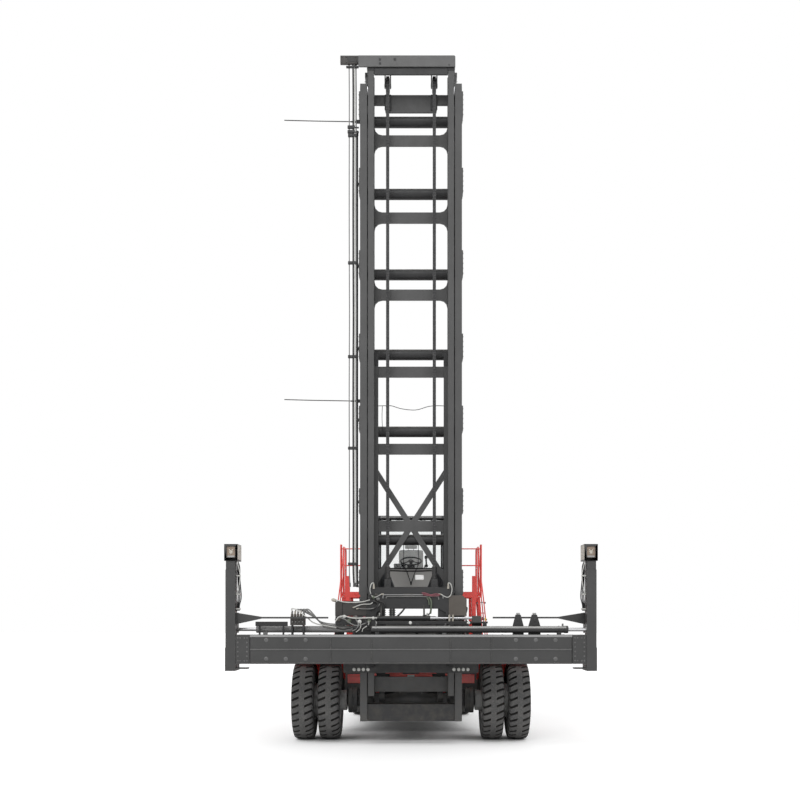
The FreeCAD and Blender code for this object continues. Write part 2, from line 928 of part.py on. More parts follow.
def chassis_frame():
    """Two plate rails that climb over the steer axle, with their cross members and the mast's hinge ears."""
    side = [
        (rail_front_y, rail_bottom_z),
        (rail_rise_y, rail_bottom_z),
        (rail_high_y, rail_high_z),
        (rail_rear_y, rail_high_z),
        (rail_rear_y, rail_rear_top_z),
        (rail_high_y - rail_climb_set, rail_rear_top_z),
        (rail_rise_y - rail_climb_set, rail_top_z),
        (rail_front_y, rail_top_z),
    ]
    rail = outline(side, "yz", rail_inner_x, rail_outer_x)
    outer_ear_x = pivot_x + pivot_lug / 2.0 + running_gap
    pin = bar(
        (rail_inner_x, pivot_y, pivot_z),
        (outer_ear_x + pivot_outer_plate, pivot_y, pivot_z), pivot_pin_radius
    )
    ears = [pivot_ear(rail_inner_x, rail_outer_x), pivot_ear(outer_ear_x, outer_ear_x + pivot_outer_plate)]
    parts = []
    for piece in [rail, pin] + ears:
        parts += both(piece)
    half = rail_inner_x + lap
    parts.append(block(
        -front_beam_half,
        front_beam_half,
        rail_front_y,
        rail_front_y + front_beam_plate,
        front_beam_z,
        front_beam_z + front_beam_height,
    ))
    for y in outrigger_y:
        parts.append(block(-outrigger_x, outrigger_x, y, y + outrigger_plate, outrigger_z, outrigger_top_z))
        parts.append(block(
            -half, half, y, y + outrigger_plate, rail_top_z - outrigger_web, outrigger_z + lap
        ))
    for x in (-rail_outer_x, rail_inner_x):
        for y in outrigger_y:
            parts.append(block(
                x, x + rail_plate, y, y + outrigger_plate, rail_top_z - lap, outrigger_z + lap
            ))
    near, far = cradle_gap, cradle_gap + trunnion_plate
    parts.append(steer_cradle(wheelbase - far, wheelbase - near))
    parts.append(steer_cradle(wheelbase + near, wheelbase + far))
    parts.append(block(-half, half, wheelbase - far, wheelbase + far, rail_high_z, rail_high_z + cradle_roof))
    parts.append(block(
        -half,
        half,
        engine_front_y - cross_member_lead,
        engine_front_y - cross_member_lead + cross_member_plate,
        cross_member_z,
        cross_member_z + cross_member_height,
    ))
    frame = joined(parts)
    trunnion = bar(
        (0, wheelbase - far - lap, cradle_z), (0, wheelbase + far + lap, cradle_z), turning_bore(
            trunnion_radius
        )
    )
    saddle = bar((-front_beam_half, 0, axle_z), (front_beam_half, 0, axle_z), axle_tube_radius + pin_gap)
    return without(frame, trunnion, saddle)


def tilt_foot_lugs():
    """The ears that hold the foot of the right tilt cylinder, with its pin."""
    reach = tilt_eye_width / 2.0 + running_gap
    root_z = outrigger_top_z - lap
    parts = []
    for low, high in ((tilt_x - reach - tilt_lug_plate, tilt_x - reach), (
        tilt_x + reach, tilt_x + reach + tilt_lug_plate
    )):
        parts.append(lug(
            (tilt_foot_y, tilt_foot_z),
            tilt_eye_radius,
            (outrigger_y[0] + outrigger_plate, root_z),
            (outrigger_y[0], root_z),
            low,
            high,
        ))
    reach += tilt_lug_plate
    parts.append(bar(
        (tilt_x - reach, tilt_foot_y, tilt_foot_z),
        (tilt_x + reach, tilt_foot_y, tilt_foot_z), tilt_pin_radius
    ))
    return joined(parts)


def counterweight():
    """The cast weight over the steer axle, with pockets for the rails, the grille and the tow pin."""
    side = [
        (weight_front_y, weight_under_z),
        (weight_tail_y, weight_under_z),
        (weight_tail_y, weight_bottom_z),
        (rear_end_y - weight_chamfer, weight_bottom_z),
        (rear_end_y, weight_bottom_z + weight_chamfer),
        (rear_end_y, weight_top_z - weight_tail_drop),
        (rear_end_y - weight_tail_slope, weight_top_z),
        (weight_front_y, weight_top_z),
    ]
    whole = outline(side, "yz", -weight_half_width, weight_half_width)
    rails = block(
        -rail_outer_x - pin_gap,
        rail_outer_x + pin_gap,
        weight_front_y - lap,
        rail_rear_y + pin_gap,
        weight_under_z - lap,
        rail_rear_top_z + pin_gap,
    )
    grille = block(
        -grille_half_width, grille_half_width, rear_end_y - grille_depth,
        rear_end_y + lap, grille_bottom_z, grille_top_z
    )
    corner = outline(
        [
            (weight_half_width - weight_corner, rear_end_y + lap),
            (weight_half_width + lap, rear_end_y + lap),
            (weight_half_width + lap, rear_end_y - weight_corner),
        ],
        "xy",
        0.0,
        weight_top_z + lap,
    )
    hitch_y = rear_end_y - hitch_set_in
    hitch = round_bar(
        (0, hitch_y, weight_bottom_z - lap), (0, hitch_y, weight_bottom_z + hitch_top), hitch_radius
    )
    pocket_z = weight_bottom_z + hitch_below
    pocket = block(
        -hitch_pocket,
        hitch_pocket,
        rear_end_y - 2.0 * hitch_set_in,
        rear_end_y + lap,
        pocket_z,
        pocket_z + hitch_pocket_height,
    )
    return without(whole, rails, grille, corner, mirrored(corner), hitch, pocket)


def radiator_grille():
    z0, z1 = grille_bottom_z + pin_gap, grille_top_z - pin_gap
    half = grille_half_width - pin_gap
    y0, y1 = rear_end_y - grille_depth + pin_gap, rear_end_y - grille_set_in
    parts = [block(-half, half, y0, y0 + grille_back, z0, z1)]
    parts += both(block(half - grille_stile, half, y0, y1, z0, z1))
    pitch = (z1 - z0 - grille_bar) / (grille_bars - 1)
    for i in range(grille_bars):
        low = z0 + i * pitch
        parts.append(block(-half, half, y0, y1, low, low + grille_bar))
    return joined(parts)


save("chassis_frame", [chassis_frame().fuse(both(tilt_foot_lugs())).removeSplitter()])
save("counterweight", counterweight())
save("radiator_grille", radiator_grille())

engine_y1 = engine_front_y + engine_length
save("engine_block", block(
    -engine_width / 2.0, engine_width / 2.0, engine_front_y,
    engine_y1, engine_bottom_z, engine_bottom_z + engine_height
))


def engine_hood():
    """The walls round the engine, with slots in both sides. Its lid is a separate piece."""
    low = outrigger_z
    rear_y = weight_front_y - running_gap
    outer = block(-hood_half_width, hood_half_width, hood_front_y, rear_y, low, hood_top_z)
    half = hood_half_width - hood_wall
    room = block(-half, half, hood_front_y + hood_wall, rear_y + lap, low - lap, hood_top_z + lap)
    slots = []
    for i in range(hood_slots):
        z = low + hood_slot_start + i * hood_slot_pitch
        slots.append(block(
            -hood_half_width - lap,
            hood_half_width + lap,
            engine_front_y + hood_slot_lead,
            engine_front_y + hood_slot_lead + hood_slot_length,
            z,
            z + hood_slot_height,
        ))
    return without(outer.cut(room), *slots)


def transmission_cover():
    """The housing between the rails under the cab, notched over the cross members."""
    rear_y = hood_front_y - running_gap
    foot_z = rail_top_z - cover_depth
    side = [
        (cover_front_y, foot_z),
        (rear_y, foot_z),
        (rear_y, cover_top_z),
        (cover_front_y + cover_slope, cover_top_z),
        (cover_front_y, cover_top_z - cover_nose),
    ]
    half = rail_inner_x - running_gap
    notches = []
    for y in outrigger_y:
        notches.append(block(
            -half, half, y - running_gap, y + outrigger_plate + running_gap,
            0.0, outrigger_top_z + running_gap
        ))
    return without(outline(side, "yz", -half, half), *notches)


def engine_lid():
    z0 = hood_top_z + running_gap
    rear_y = weight_front_y - 3.0 * running_gap
    lid = block(
        -hood_half_width, hood_half_width,
        hood_front_y + 2.0 * running_gap, rear_y, z0, z0 + lid_thickness
    )
    edge = [e for e in lid.Edges if abs(e.CenterOfMass.z - z0 - lid_thickness) < 1.0]
    return lid.makeChamfer(lid_chamfer, edge)


save("engine_hood", [engine_hood(), transmission_cover()])
save("engine_lid", engine_lid())


def side_tank():
    """The right tank, its outer edges cut back."""
    x0, x1, c = tank_inner_x, tank_outer_x, tank_chamfer
    section = [
        (x0, tank_bottom_z),
        (x1 - c, tank_bottom_z),
        (x1, tank_bottom_z + c),
        (x1, tank_top_z - c),
        (x1 - c, tank_top_z),
        (x0, tank_top_z),
    ]
    return outline(section, "xz", tank_front_y, wheelbase - tank_clear)


save("side_tanks", both(side_tank()))


def fender():
    """The right guard in flats over the front tyres, with its stay to the chassis."""
    r0 = tyre_radius + fender_gap
    r1 = r0 + fender_plate
    x0 = inner_tyre_x - tyre_width / 2.0 - fender_margin
    x1 = outer_tyre_x + tyre_width / 2.0 + fender_margin
    span = (fender_front_angle - fender_rear_angle) / fender_flats
    angles = [math.radians(fender_rear_angle + i * span) for i in range(fender_flats + 1)]
    inner = [(r0 * math.cos(a), axle_z + r0 * math.sin(a)) for a in angles]
    outer = [(r1 * math.cos(a), axle_z + r1 * math.sin(a)) for a in reversed(angles)]
    guard = outline(inner + outer, "yz", x0, x1)
    top = axle_z + r0 + fender_stay
    low = axle_z + r0 + lap
    half = fender_stay / 2.0
    stay = block(fender_leg_x, x1 - fender_stay, -half, half, axle_z + r0 - lap, top)
    stay = stay.cut(outline(inner + [(0.0, axle_z)], "yz", x0, x1))
    leg = block(fender_leg_x, fender_leg_x + fender_stay, -half, outrigger_y[0] - fender_foot, low, top)
    foot = block(
        fender_leg_x,
        fender_leg_x + fender_stay,
        outrigger_y[0] - fender_foot - lap,
        outrigger_y[0],
        outrigger_top_z - fender_foot_depth,
        top,
    )
    return joined([guard, stay, leg, foot])


save("front_fenders", both(fender()))


# ---------------------------------------------------------------- decks, ladders and rails
def deck():
    """The right deck: a folded plate open underneath, its legs, and the plate at its front corner."""
    plate = block(deck_inner_x, deck_outer_x, deck_front_y, deck_rear_y, deck_z, deck_top_z)
    well = block(
        deck_inner_x + deck_edge,
        deck_outer_x - deck_edge,
        deck_front_y + deck_edge,
        deck_rear_y - deck_edge,
        deck_z - lap,
        deck_top_z - deck_skin,
    )
    x0, x1, height = deck_cheek
    cheek = [
        (x0, deck_cheek_foot_z),
        (x1, deck_cheek_foot_z),
        (x1, deck_top_z - deck_plate),
        (deck_outer_x, deck_top_z - lap),
        (deck_outer_x, deck_top_z + height / 3.0),
        (x1, deck_top_z + height / 2.0),
        (x1, deck_top_z + height),
        (x0, deck_top_z + height),
    ]
    parts = [plate.cut(well), outline(cheek, "xz", deck_front_y, deck_front_y + ladder_plate)]
    for y in outrigger_y:
        leg_y = y + (outrigger_plate - deck_leg) / 2.0
        parts.append(block(
            deck_leg_x, deck_leg_x + deck_leg, leg_y, leg_y + deck_leg,
            outrigger_top_z, deck_top_z - deck_skin + lap
        ))
    return joined(parts)


def ladder():
    """The right ladder with its treads and grab rails, and the guard rails bolted to the deck's side."""
    slope = (ladder_foot_x - ladder_top_x) / (deck_top_z - ladder_foot_z)
    parts = []
    for y in (ladder_front_y, ladder_rear_y):
        side = [
            (ladder_top_x, deck_top_z),
            (ladder_top_x + ladder_width, deck_top_z),
            (ladder_foot_x + ladder_width, ladder_foot_z),
            (ladder_foot_x, ladder_foot_z),
        ]
        parts.append(outline(side, "xz", y - ladder_plate / 2.0, y + ladder_plate / 2.0))
    for i in range(int((deck_z - ladder_foot_z) / tread_pitch) + 1):
        z = ladder_foot_z + tread_plate + i * tread_pitch
        x = ladder_foot_x - (z - ladder_foot_z) * slope
        parts.append(block(x, x + tread_depth, ladder_front_y, ladder_rear_y, z, z + tread_plate))
    rail_x = deck_outer_x + rail_stand_off
    top = deck_top_z + rail_height
    near, far = deck_front_y + deck_edge, ladder_rear_y + 2.0 * deck_edge
    inner_x = deck_inner_x + deck_edge
    parts.append(tube_run([(rail_x, near, deck_z), (rail_x, near, top)], rail_tube, rail_sides))
    for z in (deck_top_z + rail_mid, deck_top_z + rail_high):
        parts.append(tube_run([(inner_x, near, z), (rail_x, near, z)], rail_rod, rail_sides))
    parts.append(tube_run(
        [(inner_x, near, deck_top_z), (inner_x, near, deck_top_z + rail_high)], rail_rod, rail_sides
    ))
    end = deck_rear_y - deck_edge
    parts.append(tube_run([
        (rail_x, far, deck_z), (rail_x, far, top), (rail_x, end, top), (rail_x, end, deck_z)
    ], rail_tube, rail_sides))
    parts.append(tube_run([
        (rail_x, far, deck_top_z + rail_mid), (rail_x, end, deck_top_z + rail_mid)
    ], rail_rod, rail_sides))
    for y in (near, far, end):
        parts.append(block(
            deck_outer_x + pin_gap, rail_x, y - rail_tube, y + rail_tube, deck_z, deck_z + 2.0 * rail_tube
        ))
    for start, y in ((near, ladder_front_y), (far, ladder_rear_y)):
        run = [(rail_x, start, deck_top_z + rail_high)]
        run += [(rail_x + out, y, z) for out, z in grab_rail]
        run.append(
            (ladder_foot_x + ladder_width / 2.0 - (grab_foot_z - ladder_foot_z) * slope, y, grab_foot_z)
        )
        parts.append(tube_run(run, rail_rod, rail_sides))
    return joined(parts)


save("deck_plates", both(deck()))
save("ladders_and_rails", both(ladder()))


# ---------------------------------------------------------------- cab
def cab_frame():
    """Floor, eight pillars, low walls, the tapered front panel and the roof with its hatch."""
    half = cab_half_width
    parts = [block(-half, half, cab_front_y, cab_rear_y, cab_floor_z, floor_top_z)]
    top = block(-half, half, cab_front_y - roof_lip, cab_rear_y + roof_lip, roof_z, cab_top_z)
    hatch = block(-hatch_half, hatch_half, hatch_front_y, hatch_rear_y, roof_z - lap, cab_top_z + lap)
    parts.append(top.cut(hatch))
    for y in (cab_front_y, front_bay_end_y, rear_bay_y - pillar, cab_rear_y - pillar):
        parts += both(block(half - pillar, half, y, y + pillar, floor_top_z - lap, roof_z + lap))
    for y0, y1 in ((cab_front_y + pillar, front_bay_end_y), (rear_bay_y, cab_rear_y - pillar)):
        parts += both(block(half - cab_wall, half, y0 - lap, y1 + lap, floor_top_z - lap, sill_z))
    parts.append(block(-half, half, cab_rear_y - cab_wall, cab_rear_y, floor_top_z - lap, sill_z))
    dash = [
        (-front_panel_foot, floor_top_z - lap),
        (front_panel_foot, floor_top_z - lap),
        (front_panel_top, sill_z - lap),
        (-front_panel_top, sill_z - lap),
    ]
    parts.append(outline(dash, "xz", cab_front_y, cab_front_y + cab_wall))
    parts.append(block(-half, half, cab_front_y, cab_front_y + pillar, sill_z - sill_depth, sill_z))
    for y in outrigger_y:
        y0 = y + (outrigger_plate - mount_width) / 2.0
        parts += both(block(
            cab_mount_x - mount_width, cab_mount_x, y0, y0 + mount_width, outrigger_top_z, cab_floor_z + lap
        ))
    return joined(parts)


def pane(x0, x1, y0, y1, z0, z1):
    """A sheet of glass, a hair smaller than the opening it fills."""
    gap = pin_gap
    sides = [abs(x1 - x0), abs(y1 - y0), abs(z1 - z0)]
    gx, gy, gz = [0.0 if side <= glass + 0.1 else gap for side in sides]
    return block(x0 + gx, x1 - gx, y0 + gy, y1 - gy, z0 + gz, z1 - gz)


def cab_glass():
    """The windscreen, the rear window, the roof window and the four fixed side panes."""
    half = cab_half_width - pillar
    panes = [pane(
        -half, half, cab_front_y + glass_set_in, cab_front_y + glass_set_in + glass, sill_z, roof_z
    )]
    panes.append(
        pane(-half, half, cab_rear_y - glass_set_in - glass, cab_rear_y - glass_set_in, sill_z, roof_z)
    )
    panes.append(pane(
        -hatch_half, hatch_half, hatch_front_y, hatch_rear_y,
        cab_top_z - glass_set_in, cab_top_z - glass_set_in + glass
    ))
    x = cab_half_width - glass_set_in
    for y0, y1 in ((cab_front_y + pillar, front_bay_end_y), (rear_bay_y, cab_rear_y - pillar)):
        panes += both(pane(x - glass, x, y0, y1, sill_z, roof_z))
    return panes


def cab_door():
    """The right door: a framed leaf hinged at its front edge, with a low glass and a high glass."""
    z0, z1 = floor_top_z + running_gap, roof_z - running_gap
    y0, y1 = door_front_y, door_rear_y
    x0, x1 = cab_half_width - door_thickness, cab_half_width
    glass_x = x0 + (door_thickness - glass) / 2.0
    spans = (
        (z0 + door_frame, sill_z - door_frame / 2.0),
        (sill_z + door_frame / 2.0, z1 - door_frame),
    )
    leaf = block(x0, x1, y0, y1, z0, z1)
    panes = []
    for low, high in spans:
        leaf = leaf.cut(block(x0 - lap, x1 + lap, y0 + door_frame, y1 - door_frame, low, high))
        panes.append(pane(glass_x, glass_x + glass, y0 + door_frame, y1 - door_frame, low, high))
    return leaf, panes


door, door_panes = cab_door()
save("cab_frame", cab_frame())
save("cab_glass", cab_glass())
save("cab_door_left", mirrored(door))
save("cab_door_right", door)
save("door_glass_left", [mirrored(p) for p in door_panes])
save("door_glass_right", door_panes)


def seat_frame():
    """The seat's box and the plate up the back of its backrest."""
    base = block(-seat_box, seat_box, seat_y, seat_y + seat_box_depth, floor_top_z, seat_z - pin_gap)
    back_y = seat_y + back_rear + running_gap
    plate = outline(
        [
            (seat_y + seat_box_depth - lap, floor_top_z),
            (back_y + seat_plate, floor_top_z),
            (back_y + seat_plate + back_lean, seat_z + back_height),
            (back_y + back_lean, seat_z + back_height),
            (back_y, seat_z + back_foot),
            (seat_y + seat_box_depth - lap, seat_z - back_foot),
        ],
        "yz",
        -seat_post_half,
        seat_post_half,
    )
    return joined([base, plate])


def steering_console():
    """The leaning steering column with its wheel on one spoke."""
    post = outline(
        [
            (console_y, floor_top_z),
            (console_y + console_foot, floor_top_z),
            (console_y + console_lean + console_head, console_z),
            (console_y + console_lean, console_z),
        ],
        "yz",
        -console_half,
        console_half,
    )
    tilt = V(0, -math.sin(wheel_tilt), math.cos(wheel_tilt))
    centre = V(0, console_y + console_lean + console_head / 2.0, console_z - 2.0 * wheel_tube)
    top = centre + tilt * wheel_rise
    across = V(1, 0, 0)
    over = tilt.cross(across)
    ring = []
    for i in range(wheel_flats):
        angle = 2.0 * math.pi * i / wheel_flats
        ring.append(tuple(
            top + across * (wheel_radius * math.cos(angle)) + over * (wheel_radius * math.sin(angle))
        ))
    wheel = tube_run(ring, wheel_tube, 4, closed=True)
    shaft = bar(tuple(centre), tuple(top), 2.0 * wheel_tube)
    half = wheel_tube / 2.0
    spoke = block(-wheel_radius, wheel_radius, top.y - half, top.y + half, top.z - half, top.z + half)
    return joined([post, shaft, wheel, spoke])


cushion = block(
    -cushion_half, cushion_half, seat_y - cushion_lead,
    seat_y + cushion_depth, seat_z, seat_z + cushion_height
)
backrest = outline(
    [
        (seat_y + back_front, seat_z + back_foot),
        (seat_y + back_rear, seat_z + back_foot),
        (seat_y + back_rear + back_lean, seat_z + back_height),
        (seat_y + back_front + 2.0 * back_lean, seat_z + back_height),
    ],
    "yz",
    -cushion_half,
    cushion_half,
)
headrest = block(
    -headrest_half,
    headrest_half,
    seat_y + back_front + headrest_set_in,
    seat_y + back_rear + back_lean,
    seat_z + headrest_foot,
    seat_z + headrest_top,
)
stalk_y = seat_y + (back_front + back_rear) / 2.0 + back_lean
stalk = bar((0, stalk_y, seat_z + back_height - lap), (0, stalk_y, seat_z + headrest_foot + lap), wheel_tube)
save("seat_frame", seat_frame())
save("steering_console", steering_console())
save("seat_cushions", [cushion, joined([backrest, stalk, headrest])])


def exhaust_stack():
    """The silencer beside the hood on its bracket, with its upright tail pipe."""
    foot_z = exhaust_top_z - exhaust_length
    tail = bar(
        (exhaust_x, exhaust_y, foot_z - exhaust_pipe), (exhaust_x, exhaust_y, exhaust_top_z), exhaust_pipe
    )
    silencer = bar(
        (exhaust_x, exhaust_y, foot_z), (exhaust_x, exhaust_y, foot_z + silencer_length), silencer_radius
    )
    arm_z = foot_z + silencer_length / 4.0
    arm = block(
        hood_half_width,
        exhaust_x,
        exhaust_y - exhaust_pipe / 2.0,
        exhaust_y + exhaust_pipe / 2.0,
        arm_z - exhaust_pipe,
        arm_z,
    )
    return joined([tail, silencer, arm])


def lamp():
    """The right roof lamp, a round housing on a stem that stands on the roof."""
    x, z = cab_half_width - lamp_set_in, cab_top_z + lamp_height
    body = bar((x, cab_front_y, z), (x, cab_front_y + lamp_depth, z), lamp_radius)
    stem = block(
        x - lamp_stem,
        x + lamp_stem,
        cab_front_y + lamp_depth / 2.0 - lamp_stem,
        cab_front_y + lamp_depth / 2.0 + lamp_stem,
        cab_top_z,
        z - lamp_radius / 2.0,
    )
    return joined([body, stem])


save("exhaust_stack", exhaust_stack())
save("work_lamps", both(lamp()))


# ---------------------------------------------------------------- outer mast
def outer_column():
    """The right column: a channel open towards the middle, with doubler plates down its outer face."""
    x0, x1 = outer_clear_x, outer_half_width
    y0, y1 = outer_front_y, outer_rear_y
    section = [
        (x0, y0),
        (x1, y0),
        (x1, y1),
        (x0, y1),
        (x0, y1 - outer_flange_plate),
        (x1 - outer_web, y1 - outer_flange_plate),
        (x1 - outer_web, y0 + outer_flange_plate),
        (x0, y0 + outer_flange_plate),
    ]
    column = outline(section, "xy", outer_bottom_z, outer_top_z)
    bevel = outline(
        [
            (x1 - outer_bevel, outer_top_z + lap),
            (x1 + lap, outer_top_z - outer_bevel - lap),
            (x1 + lap, outer_top_z + lap),
        ],
        "xz",
        y0 - lap,
        y1 + lap,
    )
    parts = [column.cut(bevel)]
    for top in doubler_tops:
        parts.append(
            block(x1 - lap, x1 + doubler, y0 + doubler, y1 - 3.0 * doubler, top - doubler_height, top)
        )
    eye_inner = tilt_x - tilt_eye_width / 2.0 - pin_proud
    parts.append(lug(
        (tilt_eye_y, tilt_eye_z),
        tilt_eye_radius,
        (y1 - tilt_root, tilt_eye_z - tilt_root),
        (y1 - tilt_root, tilt_eye_z + tilt_root),
        x1 - lap,
        eye_inner,
    ))
    parts.append(bar(
        (x1, tilt_eye_y, tilt_eye_z),
        (tilt_x + tilt_eye_width / 2.0 + pin_proud, tilt_eye_y, tilt_eye_z), tilt_pin_radius
    ))
    return joined(parts)


def pivot_lug_plate():
    """The right hinge lug behind the foot beam, bored for its pin."""
    x0, x1 = pivot_x - pivot_lug / 2.0, pivot_x + pivot_lug / 2.0
    root_y = foot_beam_rear_y - lap
    plate = lug(
        (pivot_y, pivot_z),
        pivot_lug_radius,
        (root_y, foot_beam_z),
        (root_y, foot_beam_z + foot_beam_height),
        x0,
        x1,
    )
    hole = bar((x0 - lap, pivot_y, pivot_z), (x1 + lap, pivot_y, pivot_z), turning_bore(pivot_pin_radius))
    return plate.cut(hole)


def foot_beam():
    x = outer_clear_x - pin_gap
    beam = block(-x, x, foot_beam_front_y, foot_beam_rear_y, foot_beam_z, foot_beam_z + foot_beam_height)
    return joined([beam] + both(pivot_lug_plate()))


def tie_tubes():
    """The round ties behind the columns on their shoes, and the plate across the columns' tops."""
    ties = []
    tube_half = outer_clear_x - pin_gap
    for z in tie_tube_z:
        tube = bar((-tube_half, tie_tube_y, z), (tube_half, tie_tube_y, z), tie_tube_radius)
        shoe = block(
            tube_half - tie_shoe_lap,
            outer_half_width,
            outer_rear_y + pin_gap,
            tie_tube_y + tie_shoe,
            z - tie_shoe,
            z + tie_shoe,
        )
        ties.append(joined([tube] + both(shoe)))
    half, tail = outer_half_width - tie_plate_set_in, top_tie_half
    top_plate = [
        (-half, top_tie_z + top_tie_height),
        (-half, top_tie_z),
        (-tail, top_tie_z),
        (-tail, top_tie_z - top_tie_drop),
        (tail, top_tie_z - top_tie_drop),
        (tail, top_tie_z),
        (half, top_tie_z),
        (half, top_tie_z + top_tie_height),
    ]
    plate = outline(top_plate, "xz", outer_rear_y + pin_gap, outer_rear_y + pin_gap + tie_plate)
    ties.append(plate)
    return ties


save("outer_columns", both(outer_column()))
save("outer_ties", [foot_beam()] + tie_tubes())


def lift_barrel():
    """The right lift cylinder's barrel behind its column, on a foot and a clip."""
    x, y = lift_cyl_x, lift_cyl_y
    barrel = pipe((x, y, lift_foot_z), (x, y, lift_barrel_top_z), lift_barrel_radius, lift_barrel_bore)
    plug = bar((x, y, lift_foot_z), (x, y, lift_foot_z + lift_plug), lift_barrel_bore + lap)
    gland = pipe(
        (x, y, lift_barrel_top_z - lift_gland),
        (x, y, lift_barrel_top_z),
        lift_barrel_radius + lift_gland_wall,
        turning_bore(lift_rod_radius),
    )
    half = lift_rod_radius
    foot = block(
        x - half, x + half, outer_rear_y + pin_gap,
        y + lift_barrel_radius, lift_foot_z - lift_gland, lift_foot_z
    )
    clip = block(
        x - half, x + half, outer_rear_y + pin_gap,
        y - lift_barrel_bore - lap, lift_clip_z, lift_clip_z + lift_gland
    )
    return joined([barrel, plug, gland, foot, clip])


save("lift_barrels", both(lift_barrel()))


def mast_pipes():
    """The fixed line down the left column on its clips, and the two container feelers."""
    lines = [bar((pipe_x, pipe_y, pipe_foot_z), (pipe_x, pipe_y, pipe_top_z), pipe_radius, pipe_sides)]
    seats = [(outer_half_width + doubler, top - doubler_height / 2.0) for top in doubler_tops[1:]]
    seats += [(outer_half_width, z) for z in feeler_z]
    for near, z in seats:
        lines.append(block(
            -near - pin_gap, pipe_x, pipe_y - pipe_clip, pipe_y + pipe_clip, z - pipe_clip, z + pipe_clip
        ))
    for z in feeler_z:
        lines.append(bar((pipe_x, pipe_y, z), (feeler_tip_x, pipe_y, z), feeler_radius, pipe_sides))
    return joined(lines)


save("mast_pipes", mast_pipes())


# ---------------------------------------------------------------- tilt cylinders
def along_tilt(shape, at_eye):
    """Turn a piece drawn along +Y from the origin so that it lies from the foot towards the eye."""
    placed = shape.copy()
    rise = math.degrees(math.atan2(tilt_eye_z - tilt_foot_z, tilt_foot_y - tilt_eye_y))
    placed.rotate(V(0, 0, 0), V(0, 0, 1), 180.0)
    placed.rotate(V(0, 0, 0), V(1, 0, 0), -rise)
    placed.translate(V(tilt_x, tilt_eye_y, tilt_eye_z) if at_eye else V(tilt_x, tilt_foot_y, tilt_foot_z))
    return placed


def tilt_barrel():
    """The right tilt cylinder's barrel, its foot eye and neck, drawn along +Y from the eye."""
    w = tilt_eye_width / 2.0
    tube = pipe((0, tilt_neck, 0), (0, tilt_barrel_length, 0), tilt_barrel_radius, tilt_barrel_bore)
    base = bar((0, tilt_neck, 0), (0, tilt_neck + tilt_base, 0), tilt_barrel_bore + lap)
    gland = pipe(
        (0, tilt_barrel_length - tilt_base, 0),
        (0, tilt_barrel_length, 0),
        tilt_barrel_radius + tilt_gland_wall,
        turning_bore(tilt_rod_radius),
    )
    eye = bar((-w, 0, 0), (w, 0, 0), tilt_eye_radius)
    neck = block(-tilt_neck_half, tilt_neck_half, 0, tilt_neck + lap, -tilt_neck_radius, tilt_neck_radius)
    hole = bar((-w - lap, 0, 0), (w + lap, 0, 0), turning_bore(tilt_pin_radius))
    return along_tilt(without(tube.fuse([base, gland, eye, neck]), hole), False)


def tilt_rod():
    """The right tilt cylinder's rod, its eye on the mast's pin."""
    w = tilt_eye_width / 2.0
    rod = bar((0, -tilt_eye_radius + running_gap, 0), (0, -tilt_length + tilt_rod_start, 0), tilt_rod_radius)
    eye = bar((-w, 0, 0), (w, 0, 0), tilt_eye_radius)
    hole = bar((-w - lap, 0, 0), (w + lap, 0, 0), turning_bore(tilt_pin_radius) + tilt_pin_play)
    return along_tilt(without(rod.fuse(eye), hole), True)


save("tilt_barrels", both(tilt_barrel()))
save("tilt_rods", both(tilt_rod()))


# ---------------------------------------------------------------- inner mast
def inner_column():
    """The right column: a channel open towards the middle, with a stiffening strip on its rear flange."""
    x0, x1 = inner_clear_x, inner_half_width
    y0, y1 = inner_front_y, inner_rear_y
    section = [
        (x0, y0),
        (x1, y0),
        (x1, y1),
        (x0, y1),
        (x0, y1 - inner_flange_plate),
        (x1 - inner_web, y1 - inner_flange_plate),
        (x1 - inner_web, y0 + inner_flange_plate),
        (x0, y0 + inner_flange_plate),
    ]
    column = outline(section, "xy", inner_bottom_z, inner_top_z)
    strip = block(
        x0 - stiffener, x0 + lap, y1 - inner_flange_plate, y1, foot_rung_z + foot_rung_height, stiffener_top_z
    )
    return joined([column, strip])


def gusset_corner(x, z, side, up):
    """The points of a curved corner plate between a rung's edge at z and a column at x."""
    steps = [math.pi / 2.0 * i / gusset_flats for i in range(gusset_flats + 1)]
    curve = [(x - side * gusset * (1.0 - math.sin(a)), z + up * gusset * (1.0 - math.cos(a))) for a in steps]
    return curve[::-1] if up * side > 0 else curve


def rung(z0, half, curved):
    """A flat crossbeam with its foot at z0, its corners spread in curves where the columns are clear."""
    z1 = z0 + rung_height
    if curved:
        points = gusset_corner(half, z1, 1.0, 1.0) + gusset_corner(-half, z1, -1.0, 1.0)
        points += gusset_corner(-half, z0, -1.0, -1.0) + gusset_corner(half, z0, 1.0, -1.0)
    else:
        points = [(-half, z0), (half, z0), (half, z1), (-half, z1)]
    return outline(points, "xz", inner_rear_y - inner_flange_plate, inner_rear_y)


